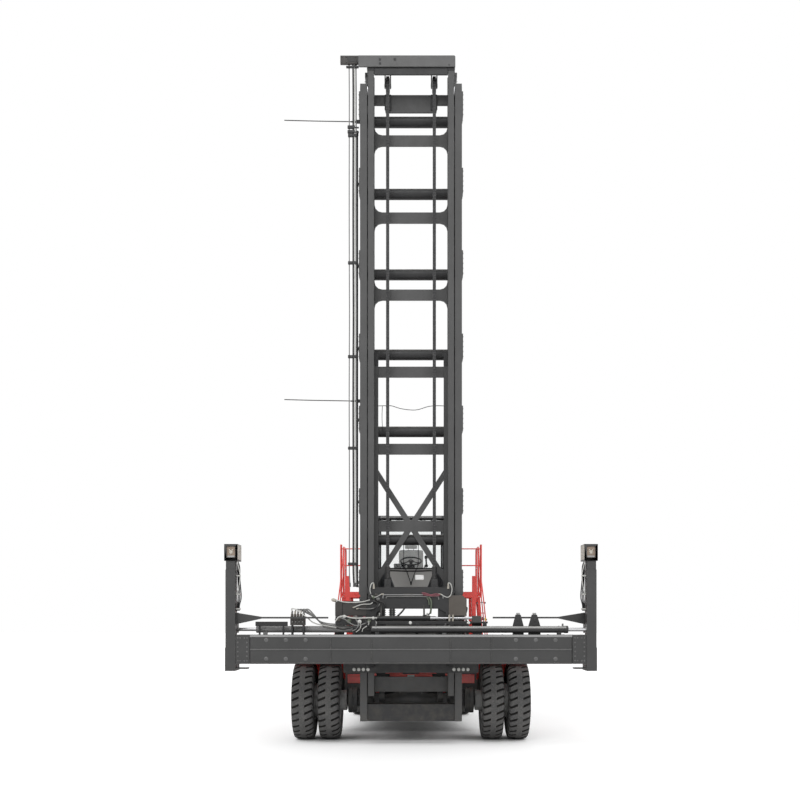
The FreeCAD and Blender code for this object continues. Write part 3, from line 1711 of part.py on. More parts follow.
def inner_rungs():
    """The crossbeams between the inner columns, with the cross brace under the lowest one."""
    wide = inner_clear_x - pin_gap
    narrow = wide - stiffener
    y1 = inner_rear_y
    y0 = y1 - inner_flange_plate
    rungs = []
    for i in range(rung_count):
        z0 = rung_top_z - i * rung_pitch - rung_height
        clear = z0 - gusset > stiffener_top_z
        rungs.append(rung(z0, wide if z0 > stiffener_top_z else narrow, clear))
    foot_z = foot_rung_z - foot_rung_height / 2.0
    rungs.append(block(-wide, wide, y0, y1, foot_z, foot_z + foot_rung_height))
    middle_z = rung_top_z - (rung_count - 1) * rung_pitch - rung_height / 2.0
    front, rear = y0 + brace_set_back, y0 + brace_set_back + brace_plate
    half = narrow - pin_gap
    tall = brace_width * math.hypot(half, brace_reach) / half / 2.0
    arm = [
        (-half, middle_z - brace_reach - tall),
        (half, middle_z + brace_reach - tall),
        (half, middle_z + brace_reach + tall),
        (-half, middle_z - brace_reach + tall),
    ]
    rungs[rung_count - 1] = joined([rungs[rung_count - 1]] + both(outline(arm, "xz", front, rear)))
    return rungs


def crosshead():
    """The head beam on the inner columns, its front apron, the rods' pads and the sheaves' cheeks."""
    z1 = crosshead_top_z
    z0 = inner_top_z
    y0, y1 = crosshead_front_y, crosshead_front_y + crosshead_depth
    x = inner_clear_x - running_gap
    apron_y = y0 + crosshead_apron_set
    parts = [
        block(crosshead_left_x, crosshead_right_x, y0, y1, z0, z1),
        block(-x, x, apron_y, apron_y + crosshead_plate, z0 - crosshead_web, z0 + lap),
    ]
    pad_rear_y = lift_cyl_y + lift_rod_radius + running_gap
    parts += both(block(
        lift_cyl_x - lift_rod_radius, lift_cyl_x + lift_rod_radius,
        y1 - lap, pad_rear_y, z0, z0 + crosshead_pad
    ))
    cheek_near = sheave_width / 2.0 + running_gap
    cheek_far = cheek_near + sheave_cheek
    half = sheave_cheek_half
    for offset in (-1.0, 1.0):
        parts += both(block(
            chain_x + offset * cheek_near,
            chain_x + offset * cheek_far,
            sheave_y - half,
            sheave_y + half,
            sheave_z - half,
            z0 + lap,
        ))
    parts += both(bar(
        (chain_x - cheek_far, sheave_y, sheave_z),
        (chain_x + cheek_far, sheave_y, sheave_z), sheave_pin_radius
    ))
    return joined(parts)


def sheave():
    """The right sheave, its flats inside the chain's."""
    w = sheave_width / 2.0
    reach = (sheave_radius - pin_gap) * math.cos(math.pi / (2.0 * chain_flats))
    wheel = bar((chain_x - w, sheave_y, sheave_z), (chain_x + w, sheave_y, sheave_z), reach, 2 * chain_flats)
    return wheel.cut(bar(
        (chain_x - w - lap, sheave_y, sheave_z),
        (chain_x + w + lap, sheave_y, sheave_z), turning_bore(sheave_pin_radius)
    ))


def lift_chain():
    """The right chain as one band over its sheave, with the rod and nut at its lower end."""
    w = chain_width / 2.0
    r0, r1 = sheave_radius / math.cos(math.pi / (2.0 * chain_flats)), sheave_rim
    turns = [math.pi * i / chain_flats for i in range(chain_flats + 1)]
    rear_foot_z = top_tie_z + top_tie_height + running_gap
    inner = [(sheave_y + r0 * math.cos(a), sheave_z + r0 * math.sin(a)) for a in turns]
    outer = [(sheave_y + r1 * math.cos(a), sheave_z + r1 * math.sin(a)) for a in reversed(turns)]
    band = [(sheave_y + r0, rear_foot_z)] + inner + [(sheave_y - r0, chain_end_z)]
    band += [(sheave_y - r1, chain_end_z)] + outer + [(sheave_y + r1, rear_foot_z)]
    rod = bar((chain_x, chain_y, chain_rod_foot_z), (chain_x, chain_y, chain_end_z + lap), chain_rod_radius)
    nut = bar(
        (chain_x, chain_y, chain_rod_foot_z),
        (chain_x, chain_y, chain_rod_foot_z + chain_nut_height), chain_nut_radius, 6
    )
    return joined([outline(band, "yz", chain_x - w, chain_x + w), rod, nut])


def lift_rod():
    foot = lift_foot_z + lift_plug + running_gap
    return bar(
        (lift_cyl_x, lift_cyl_y, foot), (lift_cyl_x, lift_cyl_y, inner_top_z - pin_gap), lift_rod_radius
    )


def mast_hoses():
    """Two hoses from the pulley block beside the crosshead, down to the carriage's height."""
    x1 = crosshead_left_x - pin_gap
    z1 = crosshead_top_z + hose_block_rise
    z0 = z1 - hose_block_height
    parts = [block(
        x1 - hose_block_width, x1, hose_y - hose_block_half, hose_y + hose_block_half, z0, z1
    )]
    for x in hose_x:
        parts.append(bar((x, hose_y, hose_foot_z), (x, hose_y, z0 + lap), hose_radius, pipe_sides))
    for z in hose_clamp_z:
        parts.append(block(
            hose_x[-1], hose_x[0], hose_y - hose_clamp, hose_y + hose_clamp, z, z + 2.0 * hose_clamp
        ))
    return joined(parts)


save("inner_columns", both(inner_column()))
save("inner_rungs", inner_rungs())
save("crosshead", crosshead())
save("chain_sheaves", both(sheave()))
save("lift_chains", both(lift_chain()))
save("lift_rods", both(lift_rod()))
save("mast_hoses", mast_hoses())


# ---------------------------------------------------------------- carriage
def wing(corners, chamfer):
    """A side box of the carriage at slide height, from its outer edge to the upright."""
    outer_x, inner_x, z0, z1 = corners
    side = math.copysign(1.0, outer_x)
    shape = [
        (inner_x, z0),
        (outer_x, z0),
        (outer_x, z1 - chamfer),
        (outer_x - side * chamfer, z1),
        (inner_x, z1),
    ]
    return outline(shape, "xz", slide_front_y, wing_rear_y)


def chain_anchor():
    """The right chain's lug with its cup, slotted to the rear so that the chain can pass."""
    x, half = chain_x, chain_lug_half
    seat = block(
        x - half, x + half, slide_front_y, chain_y + half, chain_lug_z, chain_lug_z + chain_lug_plate
    )
    low = chain_lug_z + chain_lug_plate - lap
    across = [(chain_cup_radius, low), (chain_cup_top, low + chain_cup_height)]
    (r0, z0), (r1, z1) = across
    cup = outline([(x - r0, z0), (x + r0, z0), (x + r1, z1), (x - r1, z1)], "xz", chain_y - r0, chain_y + r0)
    slope = outline(
        [(chain_y - r0, z0), (chain_y + r0, z0), (chain_y + r1, z1), (chain_y - r1, z1)], "yz", x - r0, x + r0
    )
    clear = chain_rod_radius / math.cos(math.pi / bar_sides) + running_gap
    slot = block(x - clear, x + clear, chain_y - clear, chain_y + 2.0 * half, chain_lug_z - lap, z1 + lap)
    return joined([seat, cup.common(slope)]).cut(slot)


def carriage():
    """Side plates with rollers, uprights, slides for the spreader, the crossbars, the wings and the chain anchors."""
    x = carriage_half_width
    front, rear = slide_front_y, slide_rear_y
    bar_top_z = carriage_bar_z + carriage_bar_height
    parts = both(block(
        x - carriage_side_plate, x, upright_front_y,
        carriage_rear_y, carriage_bottom_z, carriage_side_top_z
    ))
    for z in carriage_roller_z:
        parts += both(bar(
            (x - lap, carriage_roller_y, z),
            (inner_half_width - inner_web - running_gap, carriage_roller_y, z),
            carriage_roller_radius,
        ))
    parts += both(block(x - upright_width, x, upright_front_y, rear, carriage_bottom_z, bar_top_z - lap))
    for z, height in ((lower_slide_z, lower_slide_height), (middle_slide_z, middle_slide_height)):
        parts.append(block(-slide_half, slide_half, front, rear, z, z + height))
    arch = [
        (-arch_bar_half, arch_bar_z - arch_bar_drop),
        (-arch_bar_flat, arch_bar_z),
        (arch_bar_flat, arch_bar_z),
        (arch_bar_half, arch_bar_z - arch_bar_drop),
        (arch_bar_half, carriage_bar_z + lap),
        (-arch_bar_half, carriage_bar_z + lap),
    ]
    parts.append(outline(arch, "xz", front, rear))
    half, cut = carriage_bar_half, carriage_bar_chamfer
    crossbar = [
        (-half + cut, carriage_bar_z),
        (half - cut, carriage_bar_z),
        (half, carriage_bar_z + cut),
        (half, bar_top_z),
        (-half, bar_top_z),
        (-half, carriage_bar_z + cut),
    ]
    parts.append(outline(crossbar, "xz", front, rear))
    parts += [wing(wing_left, wing_chamfer / 2.0), wing(wing_right, wing_chamfer)]
    parts += both(chain_anchor())
    return joined(parts)


def shift_barrel():
    """The side-shift cylinder's barrel, open at both ends for its rod, on two straps from the arched bar."""
    x0, x1 = shift_barrel_x
    y, z = shift_cyl_y, shift_cyl_z
    parts = [pipe((x0, y, z), (x1, y, z), shift_cyl_radius, shift_cyl_bore)]
    low = z + shift_cyl_bore
    for x in (x0 + shift_strap, x1 - 2.0 * shift_strap):
        strap = [
            (y - shift_cyl_bore, low),
            (y + shift_cyl_bore, low),
            (slide_front_y - pin_gap, arch_bar_z + running_gap),
            (slide_front_y - pin_gap, arch_bar_z + shift_strap),
            (y - shift_cyl_bore, low + shift_strap / 2.0),
        ]
        parts.append(outline(strap, "yz", x, x + shift_strap / 2.0))
    return joined(parts)


save("carriage", carriage())
save("shift_barrel", shift_barrel())


# ---------------------------------------------------------------- spreader
def shift_arm():
    """The right arm from the beam's back, hooked over the middle slide and under the lower one's top."""
    y0, y1 = beam_rear_y + pin_gap, slide_front_y - running_gap
    hook_y = slide_front_y + hook_reach
    low = lower_slide_z + lower_slide_height + running_gap
    high = middle_slide_z + middle_slide_height + running_gap
    side = [
        (y0, beam_bottom_z),
        (y1 - hook_height, low - hook_height),
        (y1, low - hook_height),
        (y1, low),
        (hook_y, low),
        (hook_y, low + hook_height),
        (y1, low + hook_height),
        (y1, high),
        (hook_y, high),
        (hook_y, high + hook_height),
        (y1 - hook_height, high + hook_height),
        (y0, beam_top_z - hook_height),
    ]
    return outline(side, "yz", shift_arm_x, shift_arm_x + shift_arm_width)


def shift_rod():
    """The side-shift cylinder's through rod between two ears on the beam's back."""
    y, z = shift_cyl_y, shift_cyl_z
    x0, x1 = shift_rod_end
    half = shift_ear_plate
    root_y = beam_rear_y + pin_gap
    ear = [
        (root_y, beam_top_z - shift_ear_root),
        (root_y + half, beam_top_z - shift_ear_root),
        (y + half, z - half),
        (y + half, z + half),
        (y - half, z + half),
        (root_y, beam_top_z + half),
    ]
    return joined([
        bar((x0 - lap, y, z), (x1 + lap, y, z), shift_rod_radius),
        outline(ear, "yz", x0 - shift_ear_width, x0),
        outline(ear, "yz", x1, x1 + shift_ear_width),
    ])


def shift_frame():
    """The two arms with the plate between them."""
    y0 = beam_rear_y + pin_gap
    tie = block(
        -shift_arm_x - lap,
        shift_arm_x + lap,
        y0,
        y0 + shift_tie_depth,
        beam_bottom_z + shift_tie_depth,
        beam_bottom_z + shift_tie_depth + shift_tie_height,
    )
    return joined(both(shift_arm()) + [tie])


def spreader_beam():
    """The box beam with two bays for the arms and three ledges along its front."""
    x = beam_half_length
    y0, y1 = spreader_front_y, beam_rear_y
    face = y0 + ledge_reach
    section = [
        (y0, beam_bottom_z),
        (y1, beam_bottom_z),
        (y1, beam_top_z),
        (y0, beam_top_z),
        (y0, beam_top_z - ledge_edge),
        (face, beam_top_z - ledge_edge),
        (face, ledge_z + ledge_height),
        (y0, ledge_z + ledge_height),
        (y0, ledge_z),
        (face, ledge_z),
        (face, beam_bottom_z + ledge_edge),
        (y0, beam_bottom_z + ledge_edge),
    ]
    bays = [
        block(-x - lap, x + lap, near, near + pocket_depth, beam_bottom_z + beam_wall, beam_top_z - beam_wall)
        for near in (front_pocket_y, rear_pocket_y)
    ]
    return without(outline(section, "yz", -x, x), *bays)


def spreader_arm(side, near, rod_y, bar_y):
    """One telescopic arm with its collar, post, corner head and stay. side is -1 for left and 1 for right."""
    gap = running_gap

    def span(xa, xb, *rest):
        return block(side * xa, side * xb, *rest)

    y0, y1 = near + gap, near + pocket_depth - gap
    z0, z1 = beam_bottom_z + beam_wall + gap, beam_top_z - beam_wall - gap
    tube = span(-arm_inner_x, collar_inner_x + lap, y0, y1, z0, z1)
    bore = span(
        -arm_inner_x - lap, collar_inner_x + lap, y0 + arm_wall, y1 - arm_wall, z0 + arm_wall, z1 - arm_wall
    )
    front, post_rear_y = spreader_front_y, spreader_front_y + post_depth
    parts = [tube.cut(bore)]
    parts.append(span(
        collar_inner_x, post_inner_x + lap, front + ledge_reach, beam_rear_y, beam_bottom_z, beam_top_z
    ))
    parts.append(span(post_inner_x, post_outer_x, front, post_rear_y, post_bottom_z, post_top_z))
    parts.append(span(
        post_inner_x, post_outer_x + post_sleeve, front, beam_rear_y, post_bottom_z, post_joint_z
    ))
    parts.append(span(
        post_inner_x - stub_reach, post_inner_x + lap,
        front + stub_plate, post_rear_y, stub_z, stub_z + stub_plate
    ))
    parts.append(span(
        post_x - neck_half_width,
        post_x + neck_half_width,
        front + stub_plate,
        post_rear_y,
        post_top_z - lap,
        head_bottom_z + lap,
    ))
    head_inner, head_outer = corner_pitch_half - head_width / 2.0, corner_pitch_half + head_width / 2.0
    parts.append(span(
        head_inner, head_outer, front, front + head_depth,
        head_bottom_z - head_foot_plate, head_bottom_z + lap
    ))
    head = span(head_inner, head_outer, front, front + head_depth, head_bottom_z, head_bottom_z + head_height)
    recess = span(
        head_inner + head_wall,
        head_outer - head_wall,
        front - lap,
        front + head_recess,
        head_bottom_z + head_wall,
        head_bottom_z + head_height - head_wall,
    )
    lock_z = head_bottom_z + head_height / 2.0
    lock_y = front + head_recess
    lock = round_bar(
        (side * corner_pitch_half, lock_y + lap, lock_z),
        (side * corner_pitch_half, lock_y - twistlock_reach, lock_z),
        twistlock_radius,
    )
    parts += [head.cut(recess), lock]
    root_x, thin_x = side * (post_inner_x + gap), side * (post_inner_x - stay_gusset)
    end_x = side * stay_end_x
    half = stay_height / 2.0
    stay = [
        (root_x, stay_z - stay_root_drop),
        (root_x, stay_z + stay_root_rise),
        (thin_x, stay_z + half),
        (end_x, stay_z + half),
        (end_x, stay_z - half),
        (thin_x, stay_z - half),
    ]
    parts.append(outline(stay, "xz", bar_y, bar_y + stay_thickness))
    parts.append(span(
        post_inner_x + gap,
        post_outer_x,
        post_rear_y - lap,
        max(bar_y + stay_thickness, ext_cyl_y[0] + ext_rod_radius),
        ext_cyl_z - 2.0 * ext_rod_radius,
        stay_z + stay_root_rise,
    ))
    parts.append(bar(
        (-side * (ext_cyl_start - ext_rod_clear), rod_y, ext_cyl_z),
        (side * (post_inner_x + 2.0 * gap), rod_y, ext_cyl_z),
        ext_rod_radius,
    ))
    return joined(parts)


def extension_barrel(side, y):
    """The barrel of the cylinder that pushes one arm out, on two feet on the beam."""
    x0, x1 = -side * ext_cyl_start, side * ext_cyl_end
    tube = pipe((x0, y, ext_cyl_z), (x1, y, ext_cyl_z), ext_cyl_radius, ext_cyl_bore)
    plug = bar((x0, y, ext_cyl_z), (x0 + side * ext_plug, y, ext_cyl_z), ext_cyl_bore + lap)
    gland = pipe(
        (x1 - side * ext_plug, y, ext_cyl_z),
        (x1, y, ext_cyl_z),
        ext_cyl_radius + ext_gland_wall,
        turning_bore(ext_rod_radius),
    )
    parts = [tube, plug, gland]
    half = ext_rod_radius
    for x in (x0 + side * 2.0 * ext_plug, x1 - side * 3.0 * ext_plug):
        parts.append(block(
            x - half, x + half, y - half, y + half, beam_top_z + pin_gap, ext_cyl_z - ext_cyl_bore - 2.0 * lap
        ))
    return joined(parts)


def valve_block():
    return block(
        valve_x,
        valve_x + valve_width,
        valve_front_y,
        valve_front_y + valve_depth,
        beam_top_z + pin_gap,
        beam_top_z + valve_height,
    )


save("shift_frame", shift_frame())
save("shift_rod", shift_rod())
save("spreader_beam", spreader_beam())
save("spreader_arm_left", spreader_arm(-1.0, front_pocket_y, ext_cyl_y[0], stay_y[0]))
save("spreader_arm_right", spreader_arm(1.0, rear_pocket_y, ext_cyl_y[1], stay_y[1]))
save("spreader_hydraulics", [
    extension_barrel(-1.0, ext_cyl_y[0]), extension_barrel(1.0, ext_cyl_y[1]), valve_block()
])
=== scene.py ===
from math import cos, exp, hypot, pi, radians, sin

import bmesh
import bpy
from mathutils import Matrix, Vector


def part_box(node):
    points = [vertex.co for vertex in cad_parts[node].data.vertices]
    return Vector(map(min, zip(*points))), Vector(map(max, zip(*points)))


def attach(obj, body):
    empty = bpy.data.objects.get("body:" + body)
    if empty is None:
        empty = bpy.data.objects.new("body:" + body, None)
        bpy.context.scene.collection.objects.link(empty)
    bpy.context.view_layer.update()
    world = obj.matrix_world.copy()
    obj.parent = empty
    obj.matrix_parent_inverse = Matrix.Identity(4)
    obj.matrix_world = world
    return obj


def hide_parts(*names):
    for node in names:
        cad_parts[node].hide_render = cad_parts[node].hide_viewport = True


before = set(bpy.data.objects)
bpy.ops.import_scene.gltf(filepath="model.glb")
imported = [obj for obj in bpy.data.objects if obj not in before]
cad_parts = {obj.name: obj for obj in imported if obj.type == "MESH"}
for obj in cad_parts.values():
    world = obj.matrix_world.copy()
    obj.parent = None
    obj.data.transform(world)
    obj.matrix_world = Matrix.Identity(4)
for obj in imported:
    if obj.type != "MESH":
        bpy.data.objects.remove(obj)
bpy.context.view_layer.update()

# The lengths below are millimetres from the drive axle's middle on the floor, as the CAD is drawn.
# The row frame is metres, with its origin this far behind the axle.
ORIGIN_Y = 1900
TO_ROW = Matrix.Translation((0, -ORIGIN_Y / 1000, 0)) @ Matrix.Scale(0.001, 4)


# ---- materials
def linear(code):
    """An sRGB hex code as linear red, green, blue and alpha."""
    channels = [int(code[i:i + 2], 16) / 255 for i in (0, 2, 4)]
    return tuple(c / 12.92 if c <= 0.04045 else ((c + 0.055) / 1.055) ** 2.4 for c in channels) + (1,)


def shade(colour, share):
    return tuple(min(1, c * share) for c in colour[:3]) + (1,)


class Nodes:
    """A material's node tree, with short calls to add and join nodes."""

    def __init__(self, name):
        self.material = bpy.data.materials.new(name)
        self.material.use_nodes = True
        self.tree = self.material.node_tree
        self.shader = self.tree.nodes["Principled BSDF"]
        self.place = self.add("ShaderNodeTexCoord").outputs["Object"]

    def add(self, kind, **values):
        node = self.tree.nodes.new(kind)
        for key, value in values.items():
            setattr(node, key, value)
        return node

    def set(self, socket, value):
        if isinstance(value, bpy.types.NodeSocket):
            self.tree.links.new(value, socket)
        else:
            socket.default_value = value

    def join(self, kind, *values, **settings):
        """A new node with its first inputs set in order; hands over its first output."""
        node = self.add(kind, **settings)
        for socket, value in zip(node.inputs, values):
            self.set(socket, value)
        return node.outputs[0]

    def look(self, **values):
        """Sets the shader's inputs, their names with _ for a space, and hands over the material."""
        for key, value in values.items():
            self.set(self.shader.inputs[key.replace("_", " ")], value)
        return self.material

    def noise(self, scale, detail=4, rough=0.55, stretch=None):
        node = self.add("ShaderNodeTexNoise")
        node.inputs["Scale"].default_value = scale
        node.inputs["Detail"].default_value = detail
        node.inputs["Roughness"].default_value = rough
        place = self.place
        if stretch:
            mapping = self.add("ShaderNodeMapping")
            mapping.inputs["Scale"].default_value = stretch
            self.set(mapping.inputs["Vector"], place)
            place = mapping.outputs[0]
        self.set(node.inputs["Vector"], place)
        return node.outputs[0]

    def range(self, value, low, high, to_low, to_high, smooth=False):
        node = self.add("ShaderNodeMapRange")
        if smooth:
            node.interpolation_type = "SMOOTHSTEP"
        for key, number in zip(("From Min", "From Max", "To Min", "To Max"), (low, high, to_low, to_high)):
            node.inputs[key].default_value = number
        self.set(node.inputs["Value"], value)
        return node.outputs[0]

    def math(self, operation, a, b):
        return self.join("ShaderNodeMath", a, b, operation=operation)

    def mix(self, share, a, b):
        node = self.add("ShaderNodeMix", data_type="RGBA")
        self.set(node.inputs["Factor"], share)
        self.set(node.inputs["A"], a)
        self.set(node.inputs["B"], b)
        return node.outputs["Result"]

    def bump(self, height, strength, distance):
        node = self.add("ShaderNodeBump")
        node.inputs["Strength"].default_value = strength
        node.inputs["Distance"].default_value = distance
        self.set(node.inputs["Height"], height)
        return node.outputs[0]

    def edges(self, radius):
        """1 along convex and concave edges, 0 on flat ground."""
        bevel = self.add("ShaderNodeBevel", samples=3)
        bevel.inputs["Radius"].default_value = radius
        dot = self.add("ShaderNodeVectorMath", operation="DOT_PRODUCT")
        self.set(dot.inputs[0], bevel.outputs[0])
        self.set(dot.inputs[1], self.normal())
        return self.range(dot.outputs["Value"], 0.8, 0.995, 1, 0)

    def upward(self):
        return self.range(self.z_of(self.normal()), 0.3, 0.95, 0, 1, True)

    def height(self, low, high):
        return self.range(self.z_of(self.place), low, high, 1, 0, True)

    def normal(self):
        return self.add("ShaderNodeNewGeometry").outputs["Normal"]

    def z_of(self, vector):
        parts = self.add("ShaderNodeSeparateXYZ")
        self.set(parts.inputs[0], vector)
        return parts.outputs["Z"]


def finish(name, code, rough=0.45, metal=0, mottle=0.14, speck=0.06, wear=0, bare="8d8a86", dust=0.25,
           grime=0.35, peel=0.03, peel_scale=180, coat=0, streak=0):
    """A worn paint, metal or plastic: mottled colour, chipped edges, dust on top, road grime low down."""
    n = Nodes(name)
    colour = linear(code)
    broad = n.range(n.noise(1.7, 6), 0.3, 0.7, 0, 1)
    base = n.mix(broad, shade(colour, 1 - mottle), shade(colour, 1 + mottle))
    fine = n.range(n.noise(46, 3), 0.35, 0.65, 0, 1)
    base = n.mix(n.math("MULTIPLY", fine, speck), base, shade(colour, 1.45))
    if streak:
        runs = n.range(n.noise(5, 5, 0.6, (1, 1, 0.06)), 0.5, 0.72, 0, streak)
        base = n.mix(runs, base, shade(colour, 0.6))
    patches = n.noise(7, 7, 0.62)
    dusty = n.math("MULTIPLY", n.upward(), n.range(patches, 0.35, 0.7, dust * 0.4, dust))
    base = n.mix(dusty, base, linear("8a857c"))
    low = n.math("MULTIPLY", n.height(0.25, 2.2), n.range(patches, 0.42, 0.68, 0, grime))
    base = n.mix(low, base, linear("5d5850"))
    rough_map = n.range(n.noise(9, 6), 0.3, 0.7, max(0.03, rough - 0.09), min(1, rough + 0.12))
    rough_map = n.math("ADD", rough_map, n.math("MULTIPLY", n.math("ADD", dusty, low), 0.4))
    if wear:
        chips = n.range(n.noise(24, 8, 0.7), 0.5, 0.6, 0, 1)
        worn = n.math("MULTIPLY", n.math("MULTIPLY", n.edges(0.007), chips), wear)
        base = n.mix(worn, base, linear(bare))
    return n.look(
        Base_Color=base, Roughness=rough_map, Metallic=metal, Coat_Weight=coat, Coat_Roughness=0.18,
        Normal=n.bump(n.noise(peel_scale, 2), peel * 6, 0.0012),
    )


def rubber_tyre():
    """Tread rubber: dull, with grey dust in the slots and scuffed lugs."""
    n = Nodes("tyre_rubber")
    blotch = n.range(n.noise(5, 8, 0.65), 0.3, 0.7, 0, 1)
    base = n.mix(blotch, linear("444445"), linear("62615f"))
    scuff = n.range(n.noise(38, 6, 0.7), 0.48, 0.66, 0, 0.45)
    base = n.mix(scuff, base, linear("7b7977"))
    pale = n.math("MULTIPLY", n.edges(0.01), n.range(n.noise(16, 5), 0.4, 0.6, 0, 0.5))
    base = n.mix(pale, base, linear("85827e"))
    grit = n.math("ADD", n.noise(90, 6, 0.7), n.math("MULTIPLY", n.noise(14, 3), 0.6))
    return n.look(Base_Color=base, Roughness=n.range(blotch, 0, 1, 0.72, 0.93), Normal=n.bump(grit, 0.35, 0.002))


def cloth(name, code, rib):
    """Woven seat cloth: a fine crossed weave with wider ribs, softened by sheen."""
    n = Nodes(name)
    colour = linear(code)
    height = None
    for axis, scale in (("X", 430), ("Y", 430), ("X", rib)):
        wave = n.add("ShaderNodeTexWave", wave_type="BANDS", bands_direction=axis)
        wave.inputs["Scale"].default_value = scale
        wave.inputs["Distortion"].default_value = 1.2
        wave.inputs["Detail"].default_value = 1
        n.set(wave.inputs["Vector"], n.place)
        height = wave.outputs["Fac"] if height is None else n.math("ADD", height, wave.outputs["Fac"])
    broad = n.range(n.noise(9, 5), 0.3, 0.7, 0, 1)
    base = n.mix(broad, shade(colour, 0.8), shade(colour, 1.2))
    base = n.mix(n.range(height, 0.6, 2.4, 0, 0.6), base, shade(colour, 1.7))
    return n.look(
        Base_Color=base, Roughness=n.range(height, 0, 3, 0.95, 0.78), Sheen_Weight=0.35, Sheen_Roughness=0.4,
        Normal=n.bump(height, 0.35, 0.001),
    )


def clear_glass():
    """Tinted safety glass with a film of dust: light passes it, and it mirrors more at a slant."""
    n = Nodes("cab_glass_clear")
    film = n.range(n.noise(3.5, 8, 0.6), 0.35, 0.75, 0, 1)
    n.look(Base_Color=n.mix(film, linear("d8dcdb"), linear("eef0ef")), Roughness=n.range(film, 0, 1, 0.03, 0.12))
    mirror = n.add("ShaderNodeBsdfGlossy")
    mirror.inputs["Roughness"].default_value = 0.03
    veil = n.add("ShaderNodeBsdfTransparent")
    n.set(veil.inputs["Color"], n.mix(film, linear("fbfcfc"), linear("fefefe")))
    slant = n.add("ShaderNodeLayerWeight")
    slant.inputs["Blend"].default_value = 0.12
    sheet = n.join("ShaderNodeMixShader", n.math("MULTIPLY", slant.outputs["Fresnel"], 0.45), veil.outputs[0],
                   mirror.outputs[0])
    whole = n.join("ShaderNodeMixShader", n.range(film, 0, 1, 0.01, 0.05), sheet, n.shader.outputs[0])
    n.set(n.tree.nodes["Material Output"].inputs["Surface"], whole)
    return n.material


def lens(name, code, glow, ribs):
    """A moulded lamp lens: ribbed, glossy, lit a little from behind."""
    n = Nodes(name)
    wave = n.add("ShaderNodeTexWave", wave_type="BANDS", bands_direction="X")
    wave.inputs["Scale"].default_value = ribs
    n.set(wave.inputs["Vector"], n.place)
    base = n.mix(n.range(wave.outputs["Fac"], 0, 1, 0, 0.5), linear(code), shade(linear(code), 0.55))
    return n.look(
        Base_Color=base, Emission_Color=base, Emission_Strength=glow, Coat_Weight=0.6,
        Roughness=n.range(n.noise(12), 0.3, 0.7, 0.08, 0.22), Normal=n.bump(wave.outputs["Fac"], 0.3, 0.003),
    )


MAST = finish("mast_paint", "464646", 0.42, wear=0.55, streak=0.3, grime=0.3)
# Dark mast paint; the crosshead's set-back plate also takes it as painted shade.
MAST_DARK_AND_SHADE = finish("mast_dark_paint_and_painted_shade", "252526", 0.45, wear=0.4, streak=0.3)
BEAM = finish("beam_paint", "373737", 0.40, wear=0.6, streak=0.2, dust=0.3, grime=0.1)
BEAM_DARK = finish("beam_paint_dark", "242425", 0.45, wear=0.45, grime=0.1)
ARM = finish("arm_paint", "383838", 0.42, wear=0.6, streak=0.25, dust=0.3, grime=0.1)
# Grey paint; the spreader beam's ledge faces also take it as a painted highlight.
GREY_AND_HIGHLIGHT = finish("grey_paint_and_painted_highlight", "5a5a5a", 0.45, wear=0.4, streak=0.2)
# Pale paint; a rod on the right extension barrel and a strip on each arm also take it as painted highlights.
PALE_AND_HIGHLIGHT = finish("pale_paint_and_painted_highlight", "9b9b9a", 0.42, wear=0.3, streak=0.2)
BROWN = finish("valve_primer", "57514b", 0.55, wear=0.3, dust=0.35)
RED = finish("red_paint", "f04c44", 0.34, wear=0.35, bare="6f6a66", mottle=0.08, speck=0.03, coat=0.35, grime=0.25)
CHASSIS = finish("chassis_paint", "3b3c3d", 0.48, wear=0.4, grime=0.5)
CAST = finish("cast_paint", "454648", 0.55, wear=0.35, peel=0.16, peel_scale=60, grime=0.4)
CAB = finish("cab_paint", "55565a", 0.38, wear=0.3, coat=0.2, grime=0.2)
BROWN_DARK = finish("valve_block_paint", "3b3836", 0.5, wear=0.4, dust=0.3)
BOLT = finish("painted_bolt", "5f5f5f", 0.45, metal=0.3, mottle=0.16, wear=0.4, grime=0.2)
# Light grey paint; the spreader beam's top lip and a strip along it also take it as painted highlights.
LIGHT_GREY_AND_HIGHLIGHT = finish("light_grey_paint_and_painted_highlight", "8c8c8c", 0.42, wear=0.3, mottle=0.08, grime=0.1)
DASH = finish("dash_shell", "b4b3b0", 0.45, mottle=0.1, dust=0.2, grime=0.2)
WHITE = finish("white_plate", "e9e9e6", 0.4, mottle=0.04, speck=0.02, dust=0.15, grime=0.15)
CREAM = finish("cream_fitting", "b5afa4", 0.42, metal=0.1, mottle=0.1)
ZINC = finish("zinc_bolt", "b4b4b0", 0.36, metal=0.75, mottle=0.16, wear=0.2, grime=0.2)
CHROME = finish("chrome_rod", "d2d2d4", 0.12, metal=1, mottle=0.04, speck=0.02, dust=0.12, peel=0.01, grime=0.1)
CHAIN = finish("chain_steel", "3f3f40", 0.45, metal=0.25, mottle=0.2, speck=0.12, wear=0.4, bare="8a8988", grime=0.1)
HOSE = finish("hose_rubber", "232324", 0.6, mottle=0.2, speck=0.1, peel=0.08, peel_scale=420, dust=0.3)
HOSE_PALE = finish("hose_sleeve", "c4c4c0", 0.5, mottle=0.08, dust=0.3, peel=0.08, peel_scale=420)
HOSE_RED = finish("hose_red", "7c454e", 0.5, mottle=0.12, peel=0.08)
HOSE_GREEN = finish("hose_green", "596152", 0.5, mottle=0.12, peel=0.08)
HOSE_GREY = finish("hose_grey", "7b7b7a", 0.5, mottle=0.15, dust=0.3, peel=0.08, peel_scale=420)
RUBBER = finish("seal_rubber", "1c1c1d", 0.7, mottle=0.15, dust=0.35)
PLASTIC = finish("moulded_plastic", "2a2b2d", 0.58, mottle=0.1, peel=0.12, peel_scale=300)
RIM = finish("rim_paint", "a9a9a8", 0.42, wear=0.5, bare="5b524a", grime=0.6, coat=0.15)
